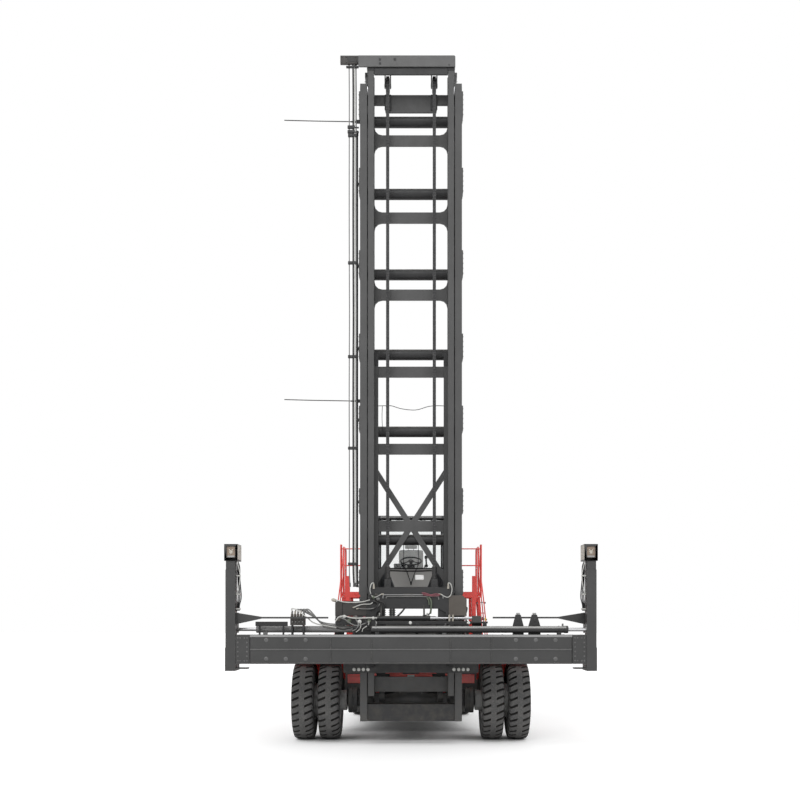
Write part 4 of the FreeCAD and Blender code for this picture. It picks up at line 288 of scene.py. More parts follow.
ENGINE = finish("engine_paint", "6c7074", 0.5, wear=0.5, grime=0.4, peel=0.1, peel_scale=90)
ALUMINIUM = finish("cast_aluminium", "9ea0a2", 0.45, metal=0.8, mottle=0.12, peel=0.1, peel_scale=120)
HEAT = finish("exhaust_steel", "7b7672", 0.4, metal=0.8, mottle=0.3, speck=0.2, streak=0.4)
YELLOW = finish("yellow_cap", "d9b23a", 0.5, mottle=0.08)
TYRE = rubber_tyre()
HEAD = finish("head_box_paint", "8a7a6c", 0.55, wear=0.3, dust=0.3)
# Near-black rubber for the tread slots' faces: painted shade in the grooves.
GROOVE_SHADE = finish("tread_groove_painted_shade", "171717", 0.9, mottle=0.3, speck=0.1, dust=0.1, grime=0.2, peel=0.2)
CLOTH = cloth("seat_cloth", "c2c2c0", 60)
CLOTH_PALE = cloth("headrest_cloth", "d9d9d7", 60)
GLASS = clear_glass()
LAMP = lens("clear_lens", "e8ecee", 0.25, 60)
AMBER = lens("amber_lens", "e88a1a", 0.2, 80)
RED_LENS = lens("red_lens", "c3201c", 0.15, 80)
# A pale plate that glows a little although it is no lamp: painted light on plates that sit in shade.
GLOWING_PLATE = lens("plate_with_painted_glow", "f6f6f4", 0.55, 400)
SCREEN = finish("display_glass", "11161b", 0.1, mottle=0.2, dust=0.1, coat=1)


# ---- mesh tools
def turns(count, shift=0):
    """The angles of this many evenly spaced places around a circle."""
    return [2 * pi * (i + shift) / count for i in range(count)]


def ring_points(centre, across, up, radius, count):
    return [centre + across * (radius * cos(angle)) + up * (radius * sin(angle)) for angle in turns(count)]


def frame_for(direction):
    helper = Vector((0, 0, 1)) if abs(direction.z) < 0.9 else Vector((1, 0, 0))
    across = direction.cross(helper).normalized()
    return across, direction.cross(across).normalized()


def rounded(points, radius, steps=5):
    """The points with each corner between straight runs turned into an arc of about this radius."""
    points = [Vector(p) for p in points]
    out = [points[0]]
    for a, b, c in zip(points, points[1:], points[2:]):
        back, ahead = a - b, c - b
        reach = min(radius, back.length * 0.49, ahead.length * 0.49)
        start, end = b + back.normalized() * reach, b + ahead.normalized() * reach
        for i in range(steps + 1):
            t = i / steps
            out.append(start * (1 - t) ** 2 + b * (2 * t * (1 - t)) + end * t ** 2)
    out.append(points[-1])
    return out


def flowing(points, steps=6):
    """A smooth line through the points, for hoses."""
    points = [Vector(p) for p in points]
    ends = [points[0] * 2 - points[1]] + points + [points[-1] * 2 - points[-2]]
    out = []
    for a, b, c, d in zip(ends, ends[1:], ends[2:], ends[3:]):
        for i in range(steps):
            t = i / steps
            out.append(0.5 * (
                b * 2 + (c - a) * t + (a * 2 - b * 5 + c * 4 - d) * t ** 2 + (b * 3 - a - c * 3 + d) * t ** 3
            ))
    out.append(points[-1])
    return out


class Piece:
    """A visible piece, gathered from primitives in the CAD's millimetres."""

    def __init__(self, name, material):
        self.name = name
        self.points = []
        self.faces = []
        self.slots = []
        self.materials = []
        self.matrix = None
        self.use(material)

    def use(self, material):
        if material not in self.materials:
            self.materials.append(material)
        self.slot = self.materials.index(material)
        return self

    def add(self, points, faces):
        start = len(self.points)
        if self.matrix is not None:
            points = [self.matrix @ Vector(p) for p in points]
        self.points += [tuple(p) for p in points]
        self.faces += [tuple(start + i for i in face) for face in faces]
        self.slots += [self.slot] * len(faces)

    def box(self, x0, x1, y0, y1, z0, z1, edge=None):
        """A box with chamfered edges."""
        (x0, x1), (y0, y1), (z0, z1) = sorted((x0, x1)), sorted((y0, y1)), sorted((z0, z1))
        c = min(4, 0.2 * min(x1 - x0, y1 - y0, z1 - z0)) if edge is None else edge
        points, index = [], {}
        for sx in (0, 1):
            for sy in (0, 1):
                for sz in (0, 1):
                    x, y, z = (x0, x1)[sx], (y0, y1)[sy], (z0, z1)[sz]
                    ix, iy, iz = x + c * (1 - 2 * sx), y + c * (1 - 2 * sy), z + c * (1 - 2 * sz)
                    for k, point in enumerate(((x, iy, iz), (ix, y, iz), (ix, iy, z))):
                        index[sx, sy, sz, k] = len(points)
                        points.append(point)
        faces = []
        loop = ((0, 0), (1, 0), (1, 1), (0, 1))
        for s in (0, 1):
            faces.append([index[s, a, b, 0] for a, b in loop])
            faces.append([index[a, s, b, 1] for a, b in loop])
            faces.append([index[a, b, s, 2] for a, b in loop])
        for a in (0, 1):
            for b in (0, 1):
                faces.append([index[a, b, 0, 0], index[a, b, 1, 0], index[a, b, 1, 1], index[a, b, 0, 1]])
                faces.append([index[a, 0, b, 0], index[a, 1, b, 0], index[a, 1, b, 2], index[a, 0, b, 2]])
                faces.append([index[0, a, b, 1], index[1, a, b, 1], index[1, a, b, 2], index[0, a, b, 2]])
                for c2 in (0, 1):
                    faces.append([index[a, b, c2, 0], index[a, b, c2, 1], index[a, b, c2, 2]])
        self.add(points, faces)

    def plate(self, corners, plane, low, high, edge=0):
        """A flat outline drawn in two axes and pulled along the third."""
        place = {"xy": lambda a, b, c: (a, b, c), "xz": lambda a, b, c: (a, c, b), "yz": lambda a, b,
            c: (c, a, b)}[plane]
        low, high = sorted((low, high))
        levels = [(low, 0), (high, 0)]
        if edge:
            levels = [(low, edge), (low + edge, 0), (high - edge, 0), (high, edge)]
        count = len(corners)
        area = sum(a[0] * b[1] - b[0] * a[1] for a, b in zip(corners, corners[1:] + corners[:1]))
        side = 1 if area > 0 else -1
        points = []
        for level, inset in levels:
            for i in range(count):
                p = Vector(corners[i])
                if inset:
                    before = (p - Vector(corners[i - 1])).normalized()
                    after = (Vector(corners[(i + 1) % count]) - p).normalized()
                    normal = Vector((-before.y - after.y, before.x + after.x))
                    scale = 1 + before.dot(after)
                    p = p + normal * (side * inset / max(scale, 0.3))
                points.append(place(p.x, p.y, level))
        faces = [list(range(count)), [count * (len(levels) - 1) + i for i in range(count)]]
        for k in range(len(levels) - 1):
            for i in range(count):
                j = (i + 1) % count
                faces.append([k * count + i, k * count + j, (k + 1) * count + j, (k + 1) * count + i])
        self.add(points, faces)

    def turned(self, origin, axis, profile, sides=32, closed=False):
        """A form turned about an axis: the profile is (distance along it, radius) pairs."""
        origin, axis = Vector(origin), Vector(axis).normalized()
        across, up = frame_for(axis)
        points, rings = [], []
        for along, radius in profile:
            centre = origin + axis * along
            if radius < 1e-6:
                rings.append([len(points)] * sides)
                points.append(centre)
            else:
                rings.append(list(range(len(points), len(points) + sides)))
                points += ring_points(centre, across, up, radius, sides)
        faces = []
        pairs = list(zip(rings, rings[1:]))
        if closed:
            pairs.append((rings[-1], rings[0]))
        for a, b in pairs:
            for i in range(sides):
                j = (i + 1) % sides
                face = []
                for k in (a[i], a[j], b[j], b[i]):
                    if k not in face:
                        face.append(k)
                if len(face) > 2:
                    faces.append(face)
        if not closed:
            for ring, radius in ((rings[0], profile[0][1]), (rings[-1], profile[-1][1])):
                if radius > 1e-6:
                    faces.append(ring)
        self.add(points, faces)

    def rod(self, a, b, radius, sides=24, edge=None):
        a, b = Vector(a), Vector(b)
        length = (b - a).length
        c = min(3, radius * 0.15, length * 0.2) if edge is None else edge
        self.turned(a, b - a, [(0, radius - c), (c, radius), (length - c, radius), (length, radius - c)], sides)

    def sleeve(self, a, b, radius, bore, sides=32):
        a, b = Vector(a), Vector(b)
        length = (b - a).length
        c = min(3, (radius - bore) * 0.3)
        self.turned(a, b - a, [
            (0, bore), (0, radius - c), (c, radius), (length - c, radius), (length, radius - c), (length, bore)
        ], sides, True)

    def hoop(self, centre, axis, radius, thick, sides=32, around=10):
        profile = [(thick * sin(angle), radius + thick * cos(angle)) for angle in turns(around)]
        self.turned(centre, axis, profile, sides, True)

    def tube(self, line, radius, sides=12, closed=False):
        """A round tube along a line of points."""
        line = [Vector(p) for p in line]
        kept = [line[0]]
        for p in line[1:]:
            if (p - kept[-1]).length > 0.5:
                kept.append(p)
        line = kept
        count = len(line)
        points, across = [], None
        for i, p in enumerate(line):
            if closed:
                ahead = line[(i + 1) % count] - line[i - 1]
            else:
                ahead = line[min(i + 1, count - 1)] - line[max(i - 1, 0)]
            ahead.normalize()
            if across is None:
                across = frame_for(ahead)[0]
            across = (across - ahead * across.dot(ahead)).normalized()
            points += ring_points(p, across, ahead.cross(across), radius, sides)
        faces = []
        for k in range(count if closed else count - 1):
            a, b = k * sides, ((k + 1) % count) * sides
            for i in range(sides):
                j = (i + 1) % sides
                faces.append([a + i, a + j, b + j, b + i])
        if not closed:
            faces += [list(range(sides)), list(range((count - 1) * sides, count * sides))]
        self.add(points, faces)

    def hose(self, points, radius, sides=12, steps=6):
        """A tube that flows through the points."""
        self.tube(flowing(points, steps), radius, sides)

    def pipe(self, points, bend, radius, sides=12, steps=5):
        """A tube with straight runs and bends of about this radius."""
        self.tube(rounded(points, bend, steps), radius, sides)

    def bolt(self, centre, axis, radius=12, height=9):
        """A hexagon head on its washer, standing out along the axis."""
        centre, axis = Vector(centre), Vector(axis).normalized()
        self.rod(centre - axis, centre + axis * (height * 0.3), radius * 1.35, 14)
        self.rod(centre, centre + axis * height, radius, 6, radius * 0.12)

    def fitting(self, centre, axis, radius, length):
        """A hose end: hexagon nut, collar and crimped ferrule."""
        centre, axis = Vector(centre), Vector(axis).normalized()
        self.rod(centre, centre + axis * (length * 0.35), radius * 1.25, 6)
        profile = [(0.3, 0.8), (0.35, 1), (0.5, 1), (0.52, 0.9), (0.62, 0.9), (0.64, 1), (0.95, 1), (1, 0.85)]
        self.turned(centre, axis, [(length * a, radius * r) for a, r in profile], 14)

    def cad(self, node, wanted=None):
        """The CAD node's faces, or those with a middle, in millimetres, that the test accepts."""
        back = TO_ROW.inverted()
        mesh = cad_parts[node].data
        bm = bmesh.new()
        bm.from_mesh(mesh)
        bmesh.ops.remove_doubles(bm, verts=bm.verts, dist=1e-6)
        bmesh.ops.dissolve_limit(bm, angle_limit=radians(1), verts=bm.verts, edges=bm.edges)
        bm.verts.index_update()
        keep = list(bm.faces)
        if wanted:
            keep = [f for f in keep if wanted(back @ f.calc_center_median())]
        used = sorted({v.index for f in keep for v in f.verts})
        place = {old: new for new, old in enumerate(used)}
        bm.verts.ensure_lookup_table()
        self.add([back @ bm.verts[i].co for i in used], [[place[v.index] for v in f.verts] for f in keep])
        bm.free()

    def make(self, body, *nodes, slot=None, sharp=38, bevel=0):
        """The finished object, riding on its body and standing for these CAD nodes."""
        mesh = bpy.data.meshes.new(self.name)
        mesh.from_pydata(self.points, [], self.faces)
        mesh.transform(TO_ROW)
        for material in self.materials:
            mesh.materials.append(material)
        mesh.polygons.foreach_set("material_index", self.slots)
        bm = bmesh.new()
        bm.from_mesh(mesh)
        if bevel:
            turn = radians(28)
            sharp_edges = [e for e in bm.edges if len(e.link_faces) == 2 and e.calc_face_angle() > turn]
            bmesh.ops.bevel(
                bm, geom=sharp_edges, offset=bevel / 1000, segments=1, affect="EDGES", clamp_overlap=True
            )
        bmesh.ops.recalc_face_normals(bm, faces=bm.faces)
        bm.to_mesh(mesh)
        bm.free()
        mesh.polygons.foreach_set("use_smooth", [True] * len(mesh.polygons))
        mesh.set_sharp_from_angle(angle=radians(sharp))
        piece = bpy.data.objects.new(self.name, mesh)
        bpy.context.scene.collection.objects.link(piece)
        weighted = piece.modifiers.new("weighted", "WEIGHTED_NORMAL")
        weighted.keep_sharp = True
        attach(piece, body)
        if nodes:
            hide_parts(*nodes)
        return piece


def from_cad(name, material, body, node, slot, bevel=0, wanted=None):
    """A piece with the CAD node's own faces and softened edges."""
    p = Piece(name, material)
    p.cad(node, wanted)
    p.make(body, node, slot=slot, bevel=bevel)


def extents(node):
    """The node's box in the drawing's millimetres: x0, x1, y0, y1, z0, z1."""
    low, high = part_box(node)
    return (low.x * 1000, high.x * 1000, low.y * 1000 + ORIGIN_Y, high.y * 1000 + ORIGIN_Y,
            low.z * 1000, high.z * 1000)


def hoses(p, *rows, y=0):
    """Hoses by material, radius, sides, steps and points, whose middle numbers are measured from y."""
    for material, radius, sides, steps, *points in rows:
        p.use(material).hose([(a, y + b, c) for a, b, c in points], radius, sides, steps)


SIDES = ((-1, "left"), (1, "right"))
RIGHT = Vector((1, 0, 0))
UP, FRONT, REAR = (0, 0, 1), (0, -1, 0), (0, 1, 0)


# ---- camera, light and floor
def studio():
    camera = bpy.data.objects.new("camera", bpy.data.cameras.new("camera"))
    camera.data.sensor_width = 36
    camera.data.lens = 45.83
    camera.data.shift_x = -0.01375
    camera.data.shift_y = 0.265
    camera.data.clip_end = 300
    camera.location = (0, -20.2, 2.27)
    camera.rotation_euler = (radians(90), 0, 0)
    bpy.context.scene.collection.objects.link(camera)
    bpy.context.scene.camera = camera
    bpy.context.scene.view_settings.view_transform = "Standard"

    world = bpy.data.worlds.new("studio")
    bpy.context.scene.world = world
    world.use_nodes = True
    tree = world.node_tree
    background = tree.nodes["Background"]
    path = tree.nodes.new("ShaderNodeLightPath")
    seen = path.outputs["Is Camera Ray"]
    for name in ("Is Glossy Ray", "Is Transmission Ray"):
        either = tree.nodes.new("ShaderNodeMath")
        either.operation = "MAXIMUM"
        tree.links.new(seen, either.inputs[0])
        tree.links.new(path.outputs[name], either.inputs[1])
        seen = either.outputs[0]
    strength = tree.nodes.new("ShaderNodeMapRange")
    strength.inputs["To Min"].default_value = 0.62
    strength.inputs["To Max"].default_value = 1
    tree.links.new(seen, strength.inputs["Value"])
    tree.links.new(strength.outputs[0], background.inputs["Strength"])
    background.inputs["Color"].default_value = (1, 1, 1, 1)

    for name, strength, size, spot in (
        ("key", 1.15, 50, (-14, -26, 26)),
        ("fill", 0.45, 60, (18, -20, 14)),
        ("back", 0.45, 50, (6, 24, 20)),
    ):
        lamp = bpy.data.lights.new(name, "SUN")
        lamp.energy = strength
        lamp.angle = radians(size)
        light = bpy.data.objects.new(name, lamp)
        light.location = spot
        light.rotation_euler = (Vector((0, 0, 4)) - Vector(spot)).to_track_quat("-Z", "Y").to_euler()
        bpy.context.scene.collection.objects.link(light)

    n = Nodes("studio_floor")
    glow = n.add("ShaderNodeLightPath").outputs["Is Camera Ray"]
    shown = n.add("ShaderNodeEmission")
    # Ambient occlusion turns the floor's colour grey and dims its glow under and beside the machine: a painted
    # shadow.
    shadow_occlusion = n.add("ShaderNodeAmbientOcclusion", samples=16)
    shadow_occlusion.inputs["Distance"].default_value = 3
    unshadowed_share = n.range(shadow_occlusion.outputs["AO"], 0.03, 0.34, 0, 1, True)
    n.set(shown.inputs["Strength"], n.math("MULTIPLY", n.range(glow, 0, 1, 0, 0.26), unshadowed_share))
    matt = n.add("ShaderNodeBsdfDiffuse")
    pale = n.mix(n.noise(0.4), (0.95, 0.95, 0.95, 1), (0.97, 0.97, 0.97, 1))
    n.set(matt.inputs["Color"], n.mix(unshadowed_share, (0.30, 0.30, 0.30, 1), pale))
    n.set(n.tree.nodes["Material Output"].inputs["Surface"],
          n.join("ShaderNodeAddShader", shown.outputs[0], matt.outputs[0]))
    n.tree.nodes.remove(n.shader)
    mesh = bpy.data.meshes.new("studio_floor")
    reach = 90
    mesh.from_pydata([(-reach, -reach, 0), (reach, -reach, 0), (reach, reach, 0), (-reach, reach, 0)], [],
        [(0, 1, 2, 3)])
    mesh.materials.append(n.material)
    floor = bpy.data.objects.new("studio_floor", mesh)
    bpy.context.scene.collection.objects.link(floor)
    floor.location.z = -0.001


studio()

# Places that several pieces share, in millimetres
CHAIN_X = 404                             # middle of each leaf chain
SHEAVE_Y, SHEAVE_Z = -525, 11452          # chain sheaves' axle
LIFT_X, LIFT_Y = 755, -188                # lift cylinders
TILT_X = 945                              # tilt cylinders
TILT_EYE_Y, TILT_EYE_Z = -360, 2330       # their pins on the mast
PIPE_X, PIPE_Y = -932, -600               # pipe up the left column
SHIFT_Y, SHIFT_Z = -1100, 2165            # side shift cylinder
BEAM_TOP, BARREL_Z = 1898.5, 1985         # beam's top, extension cylinders above it
LOCK_X, LOCK_Z = 2920, 3243               # twistlocks in the arms

# ---- wheels
TYRE_R = AXLE_Z = 690
TYRE_HALF = 192.5
FRONT_X = (1437.5, 1897.5)                # the twin drive wheels on a side
REAR_X = 1130
WHEELBASE = 4500
SLOTS = 33


def tyre(p, x, y):
    """A lugged tyre: slanted, staggered shoulder slots, a plain middle rib, moulded side rings."""
    outline = [
        (-158, 322, 0), (-172, 345, 0), (-176, 360, 0), (-186, 376, 0), (-189, 392, 0), (-192.5, 470, 0),
        (-191, 476, 0), (-191, 488, 0), (-192.5, 494, 0), (-191.5, 560, 0), (-188, 600, 0.15), (-184, 622, 0.8),
        (-174, 655, 1), (-158, 672, 1), (-130, 681, 1), (-90, 687, 1), (-50, 689.5, 1), (-46, 690, 0),
    ]
    outline += [(-a, b, c) for a, b, c in reversed(outline)]
    steps = [0, 0.05, 0.29, 0.34, 0.5, 0.55, 0.79, 0.84]
    depth = 36
    points, rows = [], len(outline)
    for k in range(SLOTS * len(steps)):
        slot, part = divmod(k, len(steps))
        for a, r, open_here in outline:
            low = (part in (1, 2)) if a < 0 else (part in (5, 6))
            drop = depth * open_here if low else 0
            slant = 0.62 * (a / TYRE_HALF) * min(1, max(0, (r - 560) / 90))
            angle = -2 * pi * (slot + steps[part] + slant) / SLOTS
            radius = r - drop
            points.append((x + a * (1 - 0.1 * drop / depth), y + radius * sin(angle), TYRE_R - radius * cos(angle)))
    faces, shaded_slot_faces = [], []
    count = SLOTS * len(steps)
    for k in range(count):
        n, part = (k + 1) % count, k % len(steps)
        for i in range(rows - 1):
            open_here = min(outline[i][2], outline[i + 1][2]) > 0
            if open_here and part in ((0, 1, 2) if outline[i][0] < 0 else (4, 5, 6)):
                shaded_slot_faces.append(len(faces))
            faces.append([k * rows + i, k * rows + i + 1, n * rows + i + 1, n * rows + i])
        faces.append([k * rows + rows - 1, k * rows, n * rows, n * rows + rows - 1])
    start = len(p.slots)
    p.add(points, faces)
    lug = p.slot
    # The slot faces take the near-black groove rubber: painted shade in the slots.
    p.use(GROOVE_SHADE)
    for i in shaded_slot_faces:
        p.slots[start + i] = p.slot
    p.slot = lug
    for side in (-1, 1):
        for radius in (420, 535):
            p.hoop((x + side * 190, y, TYRE_R), (1, 0, 0), radius, 3.2, 64, 6)
        for angle in turns(12):
            c = Vector((x + side * 189.5, y + 452 * cos(angle), TYRE_R + 452 * sin(angle)))
            p.rod(c, c + RIGHT * (side * 3), 7, 8, 1)


def rim(p, x, y, side, disc_x, hub, hub_in, hub_out, studs, stud_ring, shared=None):
    """A steel rim: flanged barrel, dished disc, hub, studs and nuts."""
    p.use(RIM)
    for lip in (-1, 1):
        edge = x + lip * 175
        p.turned((edge, y, TYRE_R), (lip, 0, 0), [
            (-120, 292), (-120, 302), (-30, 304), (-18, 318), (-16, 340), (-8, 348), (0, 344), (0, 334), (-9, 330),
            (-14, 292)
        ], 48, True)
    p.sleeve((x - 158, y, TYRE_R), (x + 158, y, TYRE_R), 302, 286, 48)
    if shared is not None:
        p.sleeve((x, y, TYRE_R), (shared, y, TYRE_R), 300, 288, 48)
    p.turned((disc_x, y, TYRE_R), (side, 0, 0), [
        (-8, hub - 6), (8, hub - 6), (8, stud_ring + 34), (-10, 262), (-34, 290), (-50, 290), (-26, 262),
        (-8, stud_ring + 30)
    ], 48, True)
    p.use(PALE_AND_HIGHLIGHT)
    disc, face = abs(disc_x - hub_in), abs(hub_out - hub_in)
    p.turned((hub_in, y, TYRE_R), (side, 0, 0), [
        (0, hub - 30), (6, hub - 8), (disc - 12, hub - 8), (disc + 14, hub - 10), (disc + 30, hub - 46),
        (face - 30, hub * 0.6), (face - 8, hub * 0.52), (face, hub * 0.44),
    ], 40)
    p.use(ZINC)
    for angle in turns(studs):
        c = Vector((disc_x + side * 8, y + stud_ring * cos(angle), TYRE_R + stud_ring * sin(angle)))
        p.bolt(c, (side, 0, 0), 15, 20)
        p.rod(c, c + RIGHT * (side * 34), 8.5, 10)
    for angle in turns(8, 0.5):
        c = Vector((hub_out - side, y + hub * 0.34 * cos(angle), TYRE_R + hub * 0.34 * sin(angle)))
        p.bolt(c, (side, 0, 0), 7, 7)
    p.use(YELLOW).rod((x + side * 150, y, TYRE_R + 278), (x + side * 186, y, TYRE_R + 262), 5, 10)


def wheels():
    for side, name in SIDES:
        p = Piece("tyres_front_" + name, TYRE)
        for x in FRONT_X:
            tyre(p, side * x, 0)
        p.make("wheel_front_" + name, "tyre_front_" + name, slot="tyre_rubber", sharp=50)
        p = Piece("rims_front_" + name, RIM)
        rim(p, side * FRONT_X[0], 0, side, side * 1760, 190, side * 1140, side * 1960, 12, 225, side * 1890)
        rim(p, side * FRONT_X[1], 0, side, side * 1760, 190, side * 1400, side * 1956, 12, 225)
        p.make("wheel_front_" + name, "rim_front_" + name, slot="rim_paint")
        p = Piece("tyre_rear_" + name + "_lugged", TYRE)
        tyre(p, side * REAR_X, WHEELBASE)
        p.make("wheel_rear_" + name, "tyre_rear_" + name, slot="tyre_rubber", sharp=50)
        p = Piece("rim_rear_" + name + "_studded", RIM)
        rim(p, side * REAR_X, WHEELBASE, side, side * 1165, 130, side * 1060, side * 1238, 10, 172)
        p.make("wheel_rear_" + name, "rim_rear_" + name, slot="rim_paint")


wheels()


# ---- axles and chassis
KINGPIN_X = 860
STEER_Y = WHEELBASE - 170                 # steering cylinder


def axles():
    p = Piece("drive_axle_housing", CHASSIS)
    centre = Vector((0, 0, AXLE_Z))
    for side in (-1, 1):
        p.turned(centre, (side, 0, 0), [
            (0, 215), (60, 214), (150, 196), (240, 160), (330, 128), (420, 112), (900, 104), (935, 118), (955, 118),
            (958, 150), (962, 222), (1010, 225), (1020, 216), (1040, 216), (1050, 225), (1110, 225), (1120, 214),
            (1122, 82),
            (1480, 79), (1490, 74), (1490, 0),
        ], 48)
        for angle in turns(10):
            c = centre + Vector((side * 958, 135 * cos(angle), 135 * sin(angle)))
            p.bolt(c, (-side, 0, 0), 9, 9)
        p.box(side * 640, side * 760, -70, 70, AXLE_Z + 96, AXLE_Z + 150)
        p.use(HOSE)
        p.hose([(side * 150, 60, AXLE_Z + 205), (side * 420, 90, AXLE_Z + 140), (side * 800, 80, AXLE_Z + 118),
            (side * 950, 60, AXLE_Z + 190)], 9, 10)
        p.use(CHASSIS)
    p.turned(centre, FRONT, [
        (90, 236), (96, 240), (112, 240), (118, 226), (122, 205), (126, 170), (129, 110), (130, 0)
    ], 48)
    p.turned(centre, REAR, [
        (90, 236), (96, 240), (112, 240), (116, 200), (120, 130), (126, 92), (130, 60), (130, 0)
    ], 48)
    # The differential's front cover glows a little: painted light on a face in shade.
    p.use(GLOWING_PLATE).turned(centre, FRONT, [(112, 222), (118, 214), (127, 150), (129.5, 60), (130, 0)], 40)
    p.use(ZINC)
    for angle in turns(16, 0.5):
        c = centre + Vector((228 * cos(angle), 0, 228 * sin(angle)))
        for out in (FRONT, REAR):
            p.bolt(c + Vector(out) * 111, out, 10, 10)
    p.rod(centre + Vector((0, -128, -60)), centre + Vector((0, -140, -60)), 22, 6)
    p.make("chassis", "drive_axle", slot="chassis_paint")

    p = Piece("steer_axle_beam", CHASSIS)
    y0, y1 = WHEELBASE - 120, WHEELBASE + 120
    p.plate([(-700, 570), (-300, 560), (300, 560), (700, 570), (700, 810), (300, 820), (-300, 820), (-700, 810)],
            "xz", y0 + 12, y1 - 12, 6)
    for low in (808, 560):
        p.box(-702, 702, y0, y1, low, low + 12)
    for x in (-520, -260, 260, 520):
        p.box(x - 8, x + 8, y0 + 2, y1 - 2, 570, 810)
    p.rod((0, WHEELBASE - 180, 1240), (0, WHEELBASE + 180, 1240), 70, 32)
    p.turned((0, WHEELBASE, 1240), REAR, [(-96, 118), (-90, 122), (90, 122), (96, 118)], 40)
    p.plate([(-300, 815), (300, 815), (118, 1225), (-118, 1225)], "xz", WHEELBASE - 88, WHEELBASE + 88, 6)
    for side in (-1, 1):
        for low, high in ((560, 605), (775, 820)):
            p.box(side * 690, side * 862, WHEELBASE - 60, WHEELBASE + 60, low, high)
            p.rod((side * KINGPIN_X, WHEELBASE, low), (side * KINGPIN_X, WHEELBASE, high), 60, 32)
        p.rod((side * KINGPIN_X, WHEELBASE, 556), (side * KINGPIN_X, WHEELBASE, 826), 40, 24)
        p.use(ZINC).bolt((side * KINGPIN_X, WHEELBASE, 826), UP, 22, 8)
        p.use(CHROME).rod((side * 300, STEER_Y, AXLE_Z), (side * 640, STEER_Y, AXLE_Z), 22, 20)
        p.use(CHASSIS)
    p.rod((-310, STEER_Y, AXLE_Z), (310, STEER_Y, AXLE_Z), 46, 28)
    p.box(-60, 60, STEER_Y, WHEELBASE - 100, 640, 740)
    p.make("chassis", "steer_axle", slot="chassis_paint")

    for side, name in SIDES:
        p = Piece("knuckle_" + name + "_forged", CHASSIS)
        p.turned((side * KINGPIN_X, WHEELBASE, AXLE_Z), UP, [(-80, 56), (-76, 60), (-30, 62), (30, 62), (76, 60),
            (80, 56)], 32)
        p.turned((side * KINGPIN_X, WHEELBASE, AXLE_Z), (side, 0, 0), [
            (0, 66), (90, 64), (110, 58), (250, 54), (318, 52), (320, 40)
        ], 32)
        p.make("knuckle_" + name, "knuckle_" + name, slot="chassis_paint")


def chassis():
    from_cad("chassis_welded", CHASSIS, "chassis", "chassis_frame", "chassis_paint", 4)

    p = Piece("chassis_fastenings", ZINC)
    for side in (-1, 1):
        for y in (1210, 2080):
            for x in (620, 760, 1120, 1210):
                for z in (1240, 1400):
                    p.bolt((side * x, y - 60, z), FRONT, 15, 11)
        for y in range(200, 3200, 300):
            for z in (700, 1040):
                p.bolt((side * 560, y, z), (side, 0, 0), 14, 10)
        for x in (120, 360, 540):
            for z in (1110, 1290):
                p.bolt((side * x, -240, z), FRONT, 13, 10)
    p.use(RED)
    nose = [(-395, 1085), (-372, 1170), (372, 1170), (395, 1085)]
    p.plate(nose, "xz", -300, -245, 4)
    for side in (-1, 1):
        p.plate([(side * 150, 1180), (side * 136, 1214), (side * 430, 1214), (side * 452, 1180)], "xz", -286, -250, 3)
        p.box(side * 470, side * 560, -236, -60, 1121, 1145)
        p.plate([(side * 565, 640), (side * 565, 1110), (side * 640, 1110), (side * 640, 900), (side * 600, 640)],
            "xz", -40, -20, 3)
        p.plate([(side * 566, 120), (side * 1120, 120), (side * 1120, 180), (side * 566, 560)], "xy", 1121, 1133, 2)
        p.box(side * 900, side * 1150, 150, 166, 980, 1140)
    p.use(WHITE).box(-62, 62, -306, -300, 1096, 1160, 2)
    p.make("chassis", slot="red_paint")

    p = Piece("brake_and_drive_lines", HOSE)
    for x, z in ((120, 760), (150, 790), (-120, 760)):
        p.hose([(x, 130, z + 60), (x * 1.4, 420, z + 140), (x * 1.2, 1200, z + 60), (x, 2300, z + 40)], 11, 10)
    p.use(CHASSIS).box(-555, 555, 326, 342, 730, 1010, 4)
    p.rod((0, 128, AXLE_Z), (0, 190, AXLE_Z), 95, 28)
    p.rod((0, 190, AXLE_Z), (0, 560, AXLE_Z + 60), 48, 24)
    p.rod((0, 560, AXLE_Z + 60), (0, 620, AXLE_Z + 66), 90, 28)
    p.make("chassis", slot="hose_rubber")


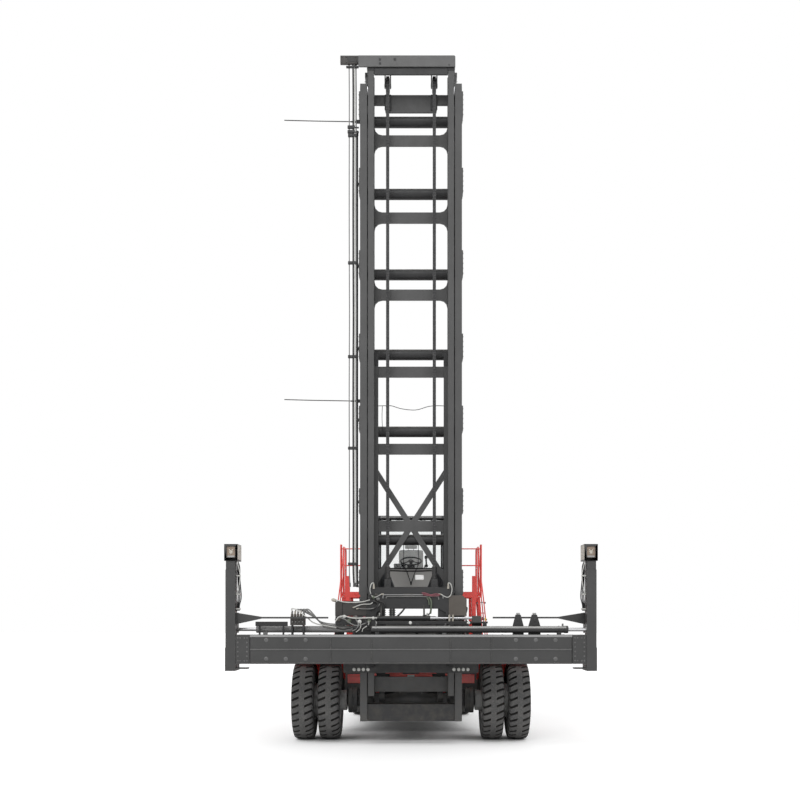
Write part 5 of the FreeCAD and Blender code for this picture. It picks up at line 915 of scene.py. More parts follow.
def tail():
    from_cad("counterweight_casting", CAST, "chassis", "counterweight", "cast_weight", 9)

    p = Piece("tail_fittings", CHASSIS)
    rear = 5600
    for side in (-1, 1):
        p.hoop((side * 760, 4700, 2062), (1, 0, 0), 62, 17, 28, 12)
        p.box(side * 905, side * 1135, rear - 46, rear, 1560, 1700, 8)
        p.use(RED_LENS).rod((side * 960, rear - 2, 1630), (side * 960, rear - 0.6, 1630), 44, 28)
        for x, material in ((960, RED_LENS), (1070, AMBER)):
            p.use(material).turned((side * x, rear - 12, 1630), REAR, [(0, 46), (4, 44), (9, 30), (11.5, 0)], 28)
        p.use(CHASSIS)
    p.use(ZINC).rod((0, 5490, 660), (0, 5490, 1012), 26, 28)
    p.rod((0, 5490, 1012), (0, 5490, 1030), 40, 28)
    p.hoop((0, 5490, 1062), REAR, 28, 6, 24, 8)
    for side in (-1, 1):
        for z in (1240, 1480, 1720):
            p.bolt((side * 452, 5586, z), REAR, 14, 10)
    p.make("chassis", slot="chassis_paint")

    p = Piece("radiator_grille_slats", CHASSIS)
    x0, x1, y0, y1, z0, z1 = extents("radiator_grille")
    for x in (x0, x1 - 34):
        p.box(x, x + 34, y0, y1, z0, z1)
    for z in (z0, z1 - 34):
        p.box(x0, x1, y0, y1, z, z + 34)
    p.box(x0 + 10, x1 - 10, y0, y0 + 14, z0 + 10, z1 - 10)
    p.box(-9, 9, y0 + 10, y1 - 4, z0, z1)
    count = 17
    for i in range(count):
        z = z0 + 46 + i * (z1 - z0 - 92) / (count - 1)
        p.plate([(y0 + 16, z + 10), (y0 + 18, z + 13), (y1 - 6, z - 7), (y1 - 6, z - 12), (y1 - 10, z - 12)], "yz",
            x0 + 30, x1 - 30)
    p.use(RUBBER)
    for i in range(40):
        x = x0 + 44 + i * (x1 - x0 - 88) / 39
        p.box(x - 1.5, x + 1.5, y0 + 14, y0 + 18, z0 + 36, z1 - 36, 0.4)
    p.make("chassis", "radiator_grille", slot="chassis_paint")

    from_cad("engine_hood_panels", CHASSIS, "chassis", "engine_hood", "chassis_paint", 4)
    p = Piece("engine_hood_hardware", CHASSIS)
    for side in (-1, 1):
        for row in range(2):
            y = 2560 + row * 470
            for i in range(9):
                z = 1290 + i * 32
                p.plate([(side * 610, z), (side * 627, z - 14), (side * 627, z - 18), (side * 610, z - 20)], "xz", y,
                    y + 380, 1)
        p.use(ZINC)
        for y in (2480, 3000, 3520):
            p.box(side * 611, side * 622, y - 22, y + 22, 2050, 2110)
            p.rod((side * 622, y, 2080), (side * 630, y, 2080), 14, 16)
        p.use(CHASSIS)
        p.pipe([(side * 612, 2700, 2010), (side * 650, 2700, 2010), (side * 650, 2940, 2010),
            (side * 612, 2940, 2010)], 20, 8, 10)
    p.make("chassis", slot="chassis_paint")

    p = Piece("engine_lid_pressed", CHASSIS)
    x0, x1, y0, y1, z0, z1 = extents("engine_lid")
    p.box(x0, x1, y0, y1, z0, z1 - 12, 8)
    for k in range(4):
        xa = x0 + 80 + k * (x1 - x0 - 160) / 4 + 14
        xb = x0 + 80 + (k + 1) * (x1 - x0 - 160) / 4 - 14
        p.box(xa, xb, y0 + 70, y1 - 70, z1 - 14, z1, 9)
    p.use(ZINC)
    for side in (-1, 1):
        p.rod((side * 420, y0 + 2, z0 + 14), (side * 300, y0 + 2, z0 + 14), 12, 16)
        p.box(side * 300, side * 380, y1 - 60, y1 - 44, z1 - 13, z1 - 3)
    p.make("engine_cover", "engine_lid", slot="chassis_paint")

    p = Piece("engine_dressed", ENGINE)
    p.box(-300, 300, 2580, 3530, 1152, 1640, 14)
    p.box(-380, 380, 2560, 2640, 1152, 1700, 14)
    p.box(-230, 230, 2620, 3480, 1640, 1800, 12)
    p.use(ALUMINIUM)
    for i in range(6):
        y = 2650 + i * 138
        p.box(-130, 130, y, y + 118, 1800, 1890, 14)
        p.bolt((0, y + 59, 1890), UP, 10, 8)
    p.use(HEAT).rod((270, 2700, 1700), (270, 3400, 1700), 48, 24)
    for i in range(6):
        p.rod((228, 2710 + i * 134, 1700), (272, 2710 + i * 134, 1700), 30, 18)
    p.turned((330, 2900, 1840), REAR, [(-70, 40), (-60, 92), (-10, 100), (0, 60), (10, 100), (56, 88), (70, 44)], 36)
    p.use(PLASTIC)
    p.turned((-290, 2760, 1760), REAR, [(0, 70), (8, 96), (330, 96), (340, 80), (380, 78), (388, 40)], 36)
    p.hose([(-290, 2770, 1760), (-300, 2690, 1740), (-120, 2660, 1830), (160, 2760, 1900), (320, 2840, 1880)], 42, 18)
    p.use(CHASSIS).turned((0, 3540, 1500), REAR, [(-14, 60), (-12, 150), (12, 150), (14, 60)], 40)
    p.turned((180, 3540, 1380), REAR, [(-14, 30), (-12, 80), (12, 80), (14, 30)], 32)
    p.use(RUBBER).tube([(150 * cos(a), 3540, 1500 + 150 * sin(a)) for a in [pi * i / 12 for i in range(21)]]
           + [(180 + 82 * cos(a), 3540, 1380 + 82 * sin(a)) for a in (4.4, 4.9, 5.5)], 9, 8)
    p.use(HOSE).hose([(-250, 2600, 1500), (-340, 2700, 1560), (-360, 3000, 1520), (-340, 3300, 1600)], 20)
    p.make("chassis", "engine_block", slot="cast_weight")

    p = Piece("exhaust_silencer", HEAT)
    foot, top = extents("exhaust_stack")[4:]
    x, y = 760, 2900
    p.turned((x, y, foot), UP, [
        (0, 58), (230, 60), (250, 64), (300, 118), (320, 129), (345, 124), (370, 129), (1090, 129), (1110, 124),
        (1130, 129),
        (1160, 118), (1200, 66), (top - foot - 60, 64), (top - foot - 56, 60), (top - foot - 56, 54)
    ], 40)
    p.use(CHASSIS)
    for i in range(14):
        c = Vector((x, y, foot + 420 + i * 48))
        for angle in turns(12, 0.5 * (i % 2)):
            out = Vector((cos(angle), sin(angle), 0))
            p.rod(c + out * 127, c + out * 130.5, 11, 8, 0.5)
    for low in (400, 1080):
        p.hoop((x, y, foot + low), UP, 129, 6, 36, 8)
    for low in (280, 980):
        p.box(600, x - 40, y - 30, y + 30, foot + low, foot + low + 60)
    p.use(HEAT).turned((x + 4, y, top - 40), (0.25, 0, 1), [(0, 66), (6, 68), (10, 60), (12, 0)], 32)
    p.box(x - 82, x - 60, y - 14, y + 14, top - 64, top - 22)
    p.make("chassis", "exhaust_stack", slot="light_steel")

    from_cad("side_tank_shells", CHASSIS, "chassis", "side_tanks", "chassis_paint", 10)
    p = Piece("side_tank_straps", CHASSIS)
    for side in (-1, 1):
        for y in (1300, 2100, 2900):
            p.use(RUBBER).box(side * 700, side * 1334, y - 32, y + 32, 1146, 1153)
            p.box(side * 1326, side * 1334, y - 32, y + 32, 600, 1120)
            p.use(ZINC).box(side * 700, side * 1337, y - 24, y + 24, 1150, 1156)
            p.box(side * 1331, side * 1338, y - 24, y + 24, 590, 1110)
            p.bolt((side * 1337, y, 640), (side, 0, 0), 11, 12)
        p.use(YELLOW if side < 0 else CHASSIS)
        p.turned((side * 1180, 2650, 1148), UP, [(0, 62), (6, 64), (30, 64), (38, 56), (40, 20), (40, 0)], 28)
        p.use(CHASSIS)
        for y in (1560, 2500):
            p.box(side * 1326, side * 1333, y - 150, y + 150, 720, 940)
        p.use(SCREEN).rod((side * 1333, 1560, 830), (side * 1336, 1560, 830), 46, 28)
    p.make("chassis", slot="chassis_paint")


axles()
chassis()
tail()


# ---- decks, ladders and rails
def fenders():
    p = Piece("front_fenders_rolled", RED)
    p.cad("front_fenders", lambda c: hypot(c.y, c.z - AXLE_Z) < 774 or hypot(c.y, c.z - AXLE_Z) > 800)
    for side in (-1, 1):
        arc = [radians(25 + 93 * i / 40) for i in range(41)]
        outer = [(790 * cos(a), AXLE_Z + 790 * sin(a)) for a in arc]
        inner = [(780 * cos(a), AXLE_Z + 780 * sin(a)) for a in reversed(arc)]
        p.plate(outer + inner, "yz", side * 1225, side * 2110)
        for x in (1225, 2104):
            lip = [(775 * cos(a), AXLE_Z + 775 * sin(a)) for a in arc]
            p.tube([(side * (x + 3), y, z) for y, z in lip], 7, 8)
        for turn in (38, 70, 104):
            a = radians(turn)
            p.tube([(side * 1232, 792 * cos(a), AXLE_Z + 792 * sin(a)),
                (side * 2100, 792 * cos(a), AXLE_Z + 792 * sin(a))], 6, 8)
        p.use(RUBBER)
        a = radians(26)
        y, z = 786 * cos(a), AXLE_Z + 786 * sin(a)
        p.plate([(y - 6, z), (y + 4, z), (y + 16, z - 430), (y + 10, z - 432)], "yz", side * 1240, side * 2095)
        p.use(RED)
    p.make("chassis", "front_fenders", slot="red_paint")


DECK_TOP = 2650


def decks():
    from_cad("deck_plates_welded", RED, "chassis", "deck_plates", "red_paint", 3)
    p = Piece("deck_tread_pattern", GREY_AND_HIGHLIGHT)
    for side in (-1, 1):
        for row in range(33):
            for column in range(11):
                x = side * (776 + column * 43)
                y = 935 + row * 43
                turn = radians(45 if (row + column) % 2 else -45)
                p.matrix = Matrix.Translation((x, y, DECK_TOP)) @ Matrix.Rotation(turn, 4, "Z")
                p.plate([(-15, 0), (0, -4.5), (15, 0), (0, 4.5)], "xy", -0.5, 2.4, 1)
        p.matrix = None
        p.box(side * 760, side * 1236, 920, 2330, DECK_TOP - 1, DECK_TOP + 0.6, 0.3)
    p.make("chassis", slot="chassis_paint")


def ladders():
    top_x, low_x, low_z = 1251, 1420, 480
    stringers, rail = (1010, 1560), 1320
    slope = (low_x - top_x) / (DECK_TOP - low_z)
    knee, hip = DECK_TOP + 497, DECK_TOP + 813
    p = Piece("ladders_and_guard_rails", RED)
    for s in (-1, 1):
        for y in stringers:
            p.plate([(s * top_x, DECK_TOP), (s * 1301, DECK_TOP), (s * 1470, low_z), (s * low_x, low_z)], "xz",
                y - 12, y + 12, 3)
            p.plate([(s * top_x, 2640), (s * 1236, 2640), (s * 1236, 2560), (s * 1258, 2560)], "xz", y - 40, y - 14,
                2)
        for i in range(7):
            z = 510 + i * 320
            x = low_x - (z - low_z) * slope
            p.use(GREY_AND_HIGHLIGHT).box(s * (x + 4), s * (x + 150), 1022, 1548, z + 22, z + 30, 1.5)
            p.box(s * (x + 4), s * (x + 9), 1022, 1548, z, z + 30, 1)
            p.box(s * (x + 145), s * (x + 150), 1022, 1548, z, z + 30, 1)
            for k in range(20):
                for j in range(3):
                    c = Vector((s * (x + 32 + j * 45), 1046 + k * 25.2, z + 29))
                    p.rod(c, c + Vector((0, 0, 4.5)), 6.5, 8, 1.5)
            p.use(RED)
        rail_x = s * rail
        top = DECK_TOP + 890
        near, far, end = 940, 1640, 2310
        p.rod((rail_x, near, 2540), (rail_x, near, top), 20, 20)
        p.turned((rail_x, near, top), UP, [(-2, 20), (3, 18), (6, 10), (7, 0)], 20)
        p.pipe([(rail_x, far, 2540), (rail_x, far, top), (rail_x, end, top), (rail_x, end, 2540)], 110, 20, 18, 8)
        p.rod((rail_x, far, knee), (rail_x, end, knee), 11, 14)
        for z in (knee, hip):
            p.rod((s * 780, near, z), (rail_x, near, z), 11, 14)
        p.rod((s * 780, near, DECK_TOP), (s * 780, near, hip), 11, 14)
        for y in (near, far, end):
            p.box(s * 1250.6, rail_x, y - 20, y + 20, 2540, 2580, 3)
        foot_x = low_x + 25 - (1200 - low_z) * slope
        for start, y in zip((near, far), stringers):
            line = [(rail_x, start, hip), (rail_x - s * 6, (start + y) / 2, DECK_TOP + 740),
                (rail_x - s * 10, y, 3120), (rail_x + s * 26, y, 2760), (rail_x + s * 70, y, 2380),
                (rail_x + s * 140, y, 1650), (rail_x + s * 150, y, 1330), (s * (foot_x + 6), y, 1222),
                (s * foot_x, y, 1200)]
            p.hose(line, 11, 14, 6)
            for z in (2250, 1700):
                x = 1445 - (z - low_z) * slope
                reach = rail + 82 + (2250 - z) * 0.096
                p.rod((s * (x - 10), y, z), (s * (reach + 2), y, z), 8, 12)
        p.use(ZINC)
        for y in (near, far, end):
            p.bolt((s * 1284, y - 20, 2560), FRONT, 8, 7)
        for y in stringers:
            p.bolt((s * 1262, y - 27, 2600), (s, 0, 0), 9, 8)
        p.use(RED)
        p.plate([(s * 1160, 2652), (s * 1226, 2652), (s * 1226, 2880), (s * 1205, 2935), (s * 1176, 2950),
            (s * 1160, 2950)], "xz", 901, 909, 2)
    p.make("chassis", "ladders_and_rails", slot="red_paint")


# ---- cab
def panes(p, node, width=24, proud=5):
    """The node's panes as glass with rounded rims, each in a rubber seal."""
    bm = bmesh.new()
    bm.from_mesh(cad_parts[node].data)
    bmesh.ops.remove_doubles(bm, verts=bm.verts, dist=1e-6)
    back = TO_ROW.inverted()
    seen = set()
    for first in bm.verts:
        group, edge = set(), [] if first in seen else [first]
        while edge:
            v = edge.pop()
            if v in group:
                continue
            group.add(v)
            edge += [e.other_vert(v) for e in v.link_edges]
        seen |= group
        if not group:
            continue
        spots = [back @ v.co for v in group]
        low = Vector([min(s[k] for s in spots) for k in range(3)])
        high = Vector([max(s[k] for s in spots) for k in range(3)])
        thin = min(range(3), key=lambda k: high[k] - low[k])
        u, v = [k for k in range(3) if k != thin]
        p.use(GLASS).box(low.x, high.x, low.y, high.y, low.z, high.z, 2)
        p.use(RUBBER)
        for across in (u, v):
            for edge_at in (low[across], high[across]):
                a, b = Vector(low), Vector(high)
                inward = width if edge_at == low[across] else -width
                a[across], b[across] = sorted((edge_at, edge_at + inward))
                a[thin] -= proud
                b[thin] += proud
                p.box(a.x, b.x, a.y, b.y, a.z, b.z, 3)
    bm.free()


ROOF_Z = 4034


def cab():
    from_cad("cab_shell", CAB, "chassis", "cab_frame", "cab_paint", 6)

    p = Piece("cab_windows", GLASS)
    panes(p, "cab_glass")
    p.make("chassis", "cab_glass", slot="glass")

    p = Piece("cab_fittings", CAB)
    p.use(DASH)
    p.plate([(-414, 3054), (414, 3054), (404, 2990), (300, 2730), (-300, 2730), (-404, 2990)], "xz", 436, 450, 4)
    # The dash's white plate glows a little: painted light on a plate in shade.
    p.use(GLOWING_PLATE).box(80, 232, 430, 436.5, 2866, 2950, 1.5)
    p.use(RUBBER)
    p.hose([(-560, 442, 3062), (-420, 440, 3036), (0, 438, 3022), (420, 440, 3036), (560, 442, 3062)], 14, 10)
    p.box(-16, 16, 424, 446, 2770, 2830)
    for side in (-1, 1):
        p.tube([(side * 6, 430, 2800), (side * 66, 428, 2985), (side * 150, 432, 3180)], 7, 8)
        p.box(side * 128, side * 140, 426, 438, 3120, 3640, 2)
    p.use(CAB)
    for side in (-1, 1):
        p.box(side * 420, side * 690, 470, 2130, ROOF_Z, 4046, 4)
        p.pipe([(side * 702, 800, 3340), (side * 742, 800, 3340), (side * 742, 800, 3760), (side * 702, 800, 3760)],
            26, 12)
    p.use(PLASTIC).box(-300, 300, 1760, 2080, ROOF_Z, 4134, 26)
    for i in range(9):
        p.box(-240, 240, 1796 + i * 30, 1806 + i * 30, 4132, 4138, 1.5)
    p.use(AMBER)
    p.turned((520, 1950, ROOF_Z + 1), UP, [(0, 70), (14, 72), (18, 58), (95, 54), (120, 38), (128, 0)], 32)
    p.use(PLASTIC).rod((520, 1950, ROOF_Z), (520, 1950, 4050), 74, 32)
    p.use(PALE_AND_HIGHLIGHT).box(-560, 560, 402, 411, 3996, 4030, 3)
    p.make("chassis", slot="cab_paint")

    p = Piece("roof_lamps", PLASTIC)
    for side in (-1, 1):
        c = Vector((side * 680, 450, 4155))
        p.turned(c, REAR, [(0, 61), (2, 68), (18, 70), (30, 67), (62, 57), (84, 42), (90, 26), (90, 0)], 40)
        for k in range(3):
            p.hoop(c + Vector((0, 40 + k * 13, 0)), REAR, 61 - k * 6, 4, 36, 8)
        p.use(ALUMINIUM).turned(c, REAR, [(1.5, 61), (6, 56), (10, 26), (12, 0)], 36)
        p.use(LAMP).turned(c, REAR, [(0.6, 0), (1, 35), (2.6, 57), (5, 61), (6, 52), (6, 0)], 36)
        p.use(PLASTIC).rod((c.x, 495, ROOF_Z + 1), (c.x, 495, 4090), 15, 16)
        p.box(c.x - 20, c.x + 20, 475, 515, ROOF_Z + 1, 4043)
    p.make("chassis", "work_lamps", slot="lamp_body")

    for side, name in SIDES:
        door = "door_" + name
        from_cad(door + "_leaf", CAB, door, "cab_" + door, "cab_paint", 5)
        p = Piece(door + "_glazing", GLASS)
        panes(p, "door_glass_" + name, 20, 4)
        p.make(door, "door_glass_" + name, slot="glass")
        p = Piece(door + "_hardware", PLASTIC)
        x = side * 700
        p.box(x - side, x + side * 10, 1690, 1735, 3010, 3110, 3)
        p.pipe([(x, 1700, 3130), (x + side * 34, 1700, 3130), (x + side * 34, 1700, 3330), (x, 1700, 3330)], 18, 9)
        p.use(ZINC)
        for z in (2760, 3322, 3860):
            p.rod((x + side * 6, 990, z - 45), (x + side * 6, 990, z + 45), 10, 16)
            p.box(x - side, x + side * 5, 1000, 1046, z - 32, z + 32, 1.5)
        p.rod((x + side * 9, 1712, 3050), (x + side * 15, 1712, 3050), 11, 16)
        p.make(door, slot="plastic")


def cushion(name, material, size, crown, place, ribs=0):
    """A stuffed pad: crowned faces, sides that pull in between the corners, sewn channels."""
    width, depth, thick = size
    count = (26, 22, 6)
    points, faces, index = [], [], {}

    def spot(i, j, k):
        key = (i, j, k)
        if key not in index:
            u, v, w = (2 * n / whole - 1 for n, whole in zip(key, count))
            lean = 1 - 0.10 * (1 - w * w)
            round_x = (1 - 0.055 * v ** 6) * (1 - 0.030 * (1 - v * v) * (1 - w * w)) * lean ** 0.2
            round_y = (1 - 0.055 * u ** 6) * (1 - 0.030 * (1 - u * u) * (1 - w * w)) * lean ** 0.2
            soft = (1 - 0.42 * (abs(u) ** 7)) * (1 - 0.42 * (abs(v) ** 7))
            rise = crown * (1 - u * u) * (1 - v * v)
            height = w * (thick / 2 - crown) * soft + (rise if w > 0 else -rise * 0.25) * abs(w)
            if ribs and w > 0.6:
                phase = (v * 0.5 + 0.5) * ribs
                height -= 9 * exp(-((phase - round(phase)) / 0.075) ** 2) * (1 - abs(u) ** 8)
                side = min(abs(abs(u) - 0.62) / 0.045, 4)
                height -= 9 * exp(-side * side)
            index[key] = len(points)
            points.append(place @ Vector((u * width / 2 * round_x, v * depth / 2 * round_y, height)))
        return index[key]

    for axis in range(3):
        a, b = [k for k in range(3) if k != axis]
        for end in (0, count[axis]):
            for i in range(count[a]):
                for j in range(count[b]):
                    corners = []
                    for da, db in ((0, 0), (1, 0), (1, 1), (0, 1)):
                        key = [0, 0, 0]
                        key[axis], key[a], key[b] = end, i + da, j + db
                        corners.append(spot(*key))
                    faces.append(corners)
    p = Piece(name, material)
    p.add(points, faces)
    seam = []
    for angle in turns(72):
        c, s = cos(angle), sin(angle)
        scale = 1 / max(abs(c), abs(s)) * (0.965 if abs(abs(c) - abs(s)) < 0.3 else 1)
        u, v = c * scale, s * scale
        seam.append(place @ Vector((u * width / 2 * 0.965, v * depth / 2 * 0.965, (thick / 2 - crown) * 0.55)))
    p.use(RUBBER).tube(seam, 3.2, 6, closed=True)
    return p


def settle(piece, cap):
    """Cloth pressure swells the pad a little, held within a cap."""
    start = [v.co.copy() for v in piece.data.vertices]
    cloth_mod = piece.modifiers.new("swell", "CLOTH")
    settings = cloth_mod.settings
    settings.use_pressure = True
    settings.uniform_pressure_force = 3
    settings.tension_stiffness = 40
    settings.compression_stiffness = 40
    settings.bending_stiffness = 4
    settings.effector_weights.gravity = 0
    piece.modifiers.move(len(piece.modifiers) - 1, 0)
    scene = bpy.context.scene
    for number in range(1, 11):
        scene.frame_set(number)
    depsgraph = bpy.context.evaluated_depsgraph_get()
    swollen = [v.co.copy() for v in piece.evaluated_get(depsgraph).data.vertices][:len(start)]
    piece.modifiers.remove(piece.modifiers["swell"])
    for vertex, old, new in zip(piece.data.vertices, start, swollen):
        move = new - old
        if move.length > cap:
            move *= cap / move.length
        vertex.co = old + move
    scene.frame_set(1)


def seat():
    flat = Matrix.Translation((0, 1440, 2984))
    upright, lean = Matrix.Rotation(radians(90), 4, "X"), Matrix.Rotation(radians(-1.6), 4, "X")
    back = Matrix.Translation((0, 1706, 3268)) @ lean @ upright
    head = Matrix.Translation((0, 1706, 3598)) @ upright
    for name, material, size, crown, place, ribs in (
        ("seat_pad", CLOTH, (484, 494, 104), 17, flat, 5),
        ("backrest_pad", CLOTH, (484, 440, 100), 15, back, 5),
        ("headrest_pad", CLOTH_PALE, (236, 176, 66), 9, head, 0),
    ):
        p = cushion(name, material, size, crown, place, ribs)
        if name == "headrest_pad":
            p.use(CHROME)
            for x in (-50, 50):
                p.rod((x, 1714, 3486), (x, 1714, 3530), 7, 12)
        piece = p.make("chassis", *(["seat_cushions"] if name == "seat_pad" else []), slot="seat_cloth", sharp=180)
        settle(piece, 0.005)

    p = Piece("seat_base", PLASTIC)
    p.box(-190, 190, 1250, 1630, 2655, 2700, 8)
    p.use(RUBBER)
    for i in range(7):
        z = 2702 + i * 30
        p.box(-168, 168, 1272, 1608, z, z + 22, 9)
    p.use(PLASTIC).box(-200, 200, 1240, 1640, 2906, 2929, 8)
    p.plate([(1628, 2880), (1766, 2880), (1772, 3060), (1786, 3480), (1772, 3490), (1760, 3050), (1628, 2920)], "yz",
        -60, 60, 3)
    p.box(-200, 200, 1768, 1788, 3120, 3460, 8)
    for side in (-1, 1):
        p.box(side * 262, side * 330, 1300, 1640, 3140, 3190, 16)
        p.box(side * 250, side * 270, 1600, 1640, 2930, 3160, 6)
    p.use(RED).box(270, 320, 1560, 1600, 2990, 3050, 6)
    p.use(PLASTIC).rod((296, 1330, 3190), (290, 1320, 3290), 16, 16)
    p.turned((290, 1320, 3290), UP, [(0, 16), (10, 28), (40, 32), (62, 24), (70, 0)], 20)
    p.make("chassis", "seat_frame", slot="plastic")

    p = Piece("console_and_wheel", PLASTIC)
    p.plate([(560, 2655), (710, 2655), (820, 3150), (680, 3150), (640, 2980)], "yz", -70, 70, 10)
    p.box(-330, 330, 520, 700, 2960, 3050, 20)
    p.use(SCREEN)
    p.matrix = Matrix.Translation((-210, 660, 3100)) @ Matrix.Rotation(radians(-20), 4, "X")
    p.box(-110, 110, -14, 14, -75, 75, 8)
    p.matrix = None
    p.use(PLASTIC)
    tilt = Vector((0, -sin(radians(25)), cos(radians(25))))
    centre = Vector((0, 750, 3120))
    top = centre + tilt * 110
    p.turned(centre, tilt, [(-30, 44), (0, 40), (60, 28), (96, 34), (112, 48), (122, 50), (130, 34), (132, 0)], 28)
    p.hoop(top, tilt, 190, 14, 48, 12)
    across, up = RIGHT, tilt.cross(RIGHT)
    for turn in (90, 210, 330):
        a = radians(turn)
        out = across * cos(a) + up * sin(a)
        p.hose([top + out * 30 + tilt * 4, top + out * 110 - tilt * 4, top + out * 186], 9, 10)
    p.use(ZINC)
    for k in range(5):
        p.rod((-120 + k * 60, 690, 3050), (-120 + k * 60, 690, 3062), 9, 14)
    p.make("chassis", "steering_console", slot="plastic")


fenders()
decks()
ladders()
cab()
seat()


# ---- mast
TIE_Y, CHAIN_Y = -370, -660
TIE_Z = (3540, 5441, 6796, 8205, 9621, 10888)
DOUBLER_TOPS = (11229, 9913, 8495, 7060, 5820, 4400, 3000)


def outer_mast():
    p = Piece("outer_columns_welded", MAST)
    p.cad("outer_columns")
    for side in (-1, 1):
        p.box(side * 757, side * 875, -799, -441, 11282, 11353, 4)
    p.make("outer_mast", "outer_columns", slot="mast_steel", bevel=5)

    p = Piece("outer_ties_welded", MAST_DARK_AND_SHADE)
    p.cad("outer_ties", lambda c: c.z < 900)
    for z in TIE_Z:
        p.rod((-756, TIE_Y, z), (756, TIE_Y, z), 94, 40)
        for side in (-1, 1):
            p.box(side * 735, side * 874, -438, -270, z - 100, z + 100, 8)
            p.turned((side * 735, TIE_Y, z), (-side, 0, 0), [(0, 100), (4, 100), (10, 95), (12, 94)], 40)
    p.use(MAST)
    p.plate([(-836, 11338), (-836, 11153), (-464, 11153), (-446, 11023), (446, 11023), (464, 11153), (836, 11153),
        (836, 11338)],
            "xz", -439.5, -409.5, 4)
    for side in (-1, 1):
        p.use(MAST_DARK_AND_SHADE).box(side * 346, side * 462, -464, -439, 11062, 11336, 8)
        p.use(CHAIN)
        for k in range(8):
            p.box(side * 362, side * 446, -465.5, -462, 11072 + k * 32, 11092 + k * 32, 3)
    p.make("outer_mast", "outer_ties", slot="mast_steel")

    p = Piece("mast_fastenings", ZINC)
    for side in (-1, 1):
        for top in DOUBLER_TOPS:
            for row in range(5):
                for y in (-745, -535):
                    p.bolt((side * 896, y, top - 45 - row * 85), (side, 0, 0), 11, 9)
        for z in TIE_Z:
            for dz in (-70, 70):
                for x in (775, 845):
                    p.bolt((side * x, -270, z + dz), REAR, 10, 8)
        p.use(CHROME).rod((side * 890, TILT_EYE_Y, TILT_EYE_Z), (side * 997, TILT_EYE_Y, TILT_EYE_Z), 30, 28)
        p.use(ZINC).box(side * 990, side * 998, -400, -320, 2318, 2342, 2)
        p.use(YELLOW).rod((side * 997, TILT_EYE_Y, TILT_EYE_Z), (side * 1003, TILT_EYE_Y, TILT_EYE_Z), 6, 8)
        p.use(ZINC)
    p.make("outer_mast", slot="chrome")

    p = Piece("lift_cylinder_barrels", MAST_DARK_AND_SHADE)
    for side in (-1, 1):
        x, y = side * LIFT_X, LIFT_Y
        p.turned((x, y, 900), UP, [
            (0, 70), (6, 82), (60, 82), (66, 78), (4600, 78), (4606, 81), (4660, 81), (4666, 78), (9170, 78),
            (9180, 90), (9240, 92),
            (9248, 86), (9250, 60), (9250, 51)
        ], 40)
        p.box(x - 50, x + 50, -438, -108, 842, 901, 5)
        for z in (3260, 6100, 8900):
            p.box(x - 50, x + 50, -438, -200, z, z + 60, 4)
            p.hoop((x, y, z + 30), UP, 84, 9, 36, 8)
            for dx in (-30, 30):
                p.use(ZINC).bolt((x + dx, -262, z + 60), UP, 9, 8)
            p.use(MAST_DARK_AND_SHADE)
        p.use(ZINC).fitting((x - side * 60, y + 50, 1010), (-side, 0.4, 0), 17, 60)
        p.use(CHAIN)
        p.pipe([(x - side * 120, y + 80, 1010), (x - side * 150, y + 90, 1010), (x - side * 150, y + 90, 5200)], 60,
            11)
        p.use(MAST_DARK_AND_SHADE)
    p.make("outer_mast", "lift_barrels", slot="mast_steel")

    p = Piece("mast_pipes_clipped", CHAIN)
    p.rod((PIPE_X, PIPE_Y, 2700), (PIPE_X, PIPE_Y, 10630), 15, 18)
    p.fitting((PIPE_X, PIPE_Y, 2702), UP, 20, 90)
    p.fitting((PIPE_X, PIPE_Y, 10628), (0, 0, -1), 20, 90)
    p.use(MAST_DARK_AND_SHADE)
    for top in DOUBLER_TOPS[1:]:
        z = top - 215
        p.box(-896.5, -956, -628, -572, z - 26, z + 26, 5)
        p.use(ZINC).bolt((-944, -628, z), FRONT, 7, 7)
        p.use(MAST_DARK_AND_SHADE)
    for z in (5936, 10790):
        p.box(-876.5, -960, -626, -574, z - 26, z + 26, 4)
        p.hose([(-940, PIPE_Y, z), (-1300, PIPE_Y, z + 6), (-1750, PIPE_Y, z + 14), (-2200, PIPE_Y, z + 26)], 8, 10)
        p.turned((-2196, PIPE_Y, z + 25.8), (-1, 0, 0.02), [(0, 8), (2, 10), (3.8, 6), (4, 0)], 12)
        p.use(RUBBER).turned((-962, PIPE_Y, z), (-1, 0, 0), [(0, 18), (50, 15), (90, 9)], 16)
        p.use(MAST_DARK_AND_SHADE)
    p.make("outer_mast", "mast_pipes", slot="chain_steel")


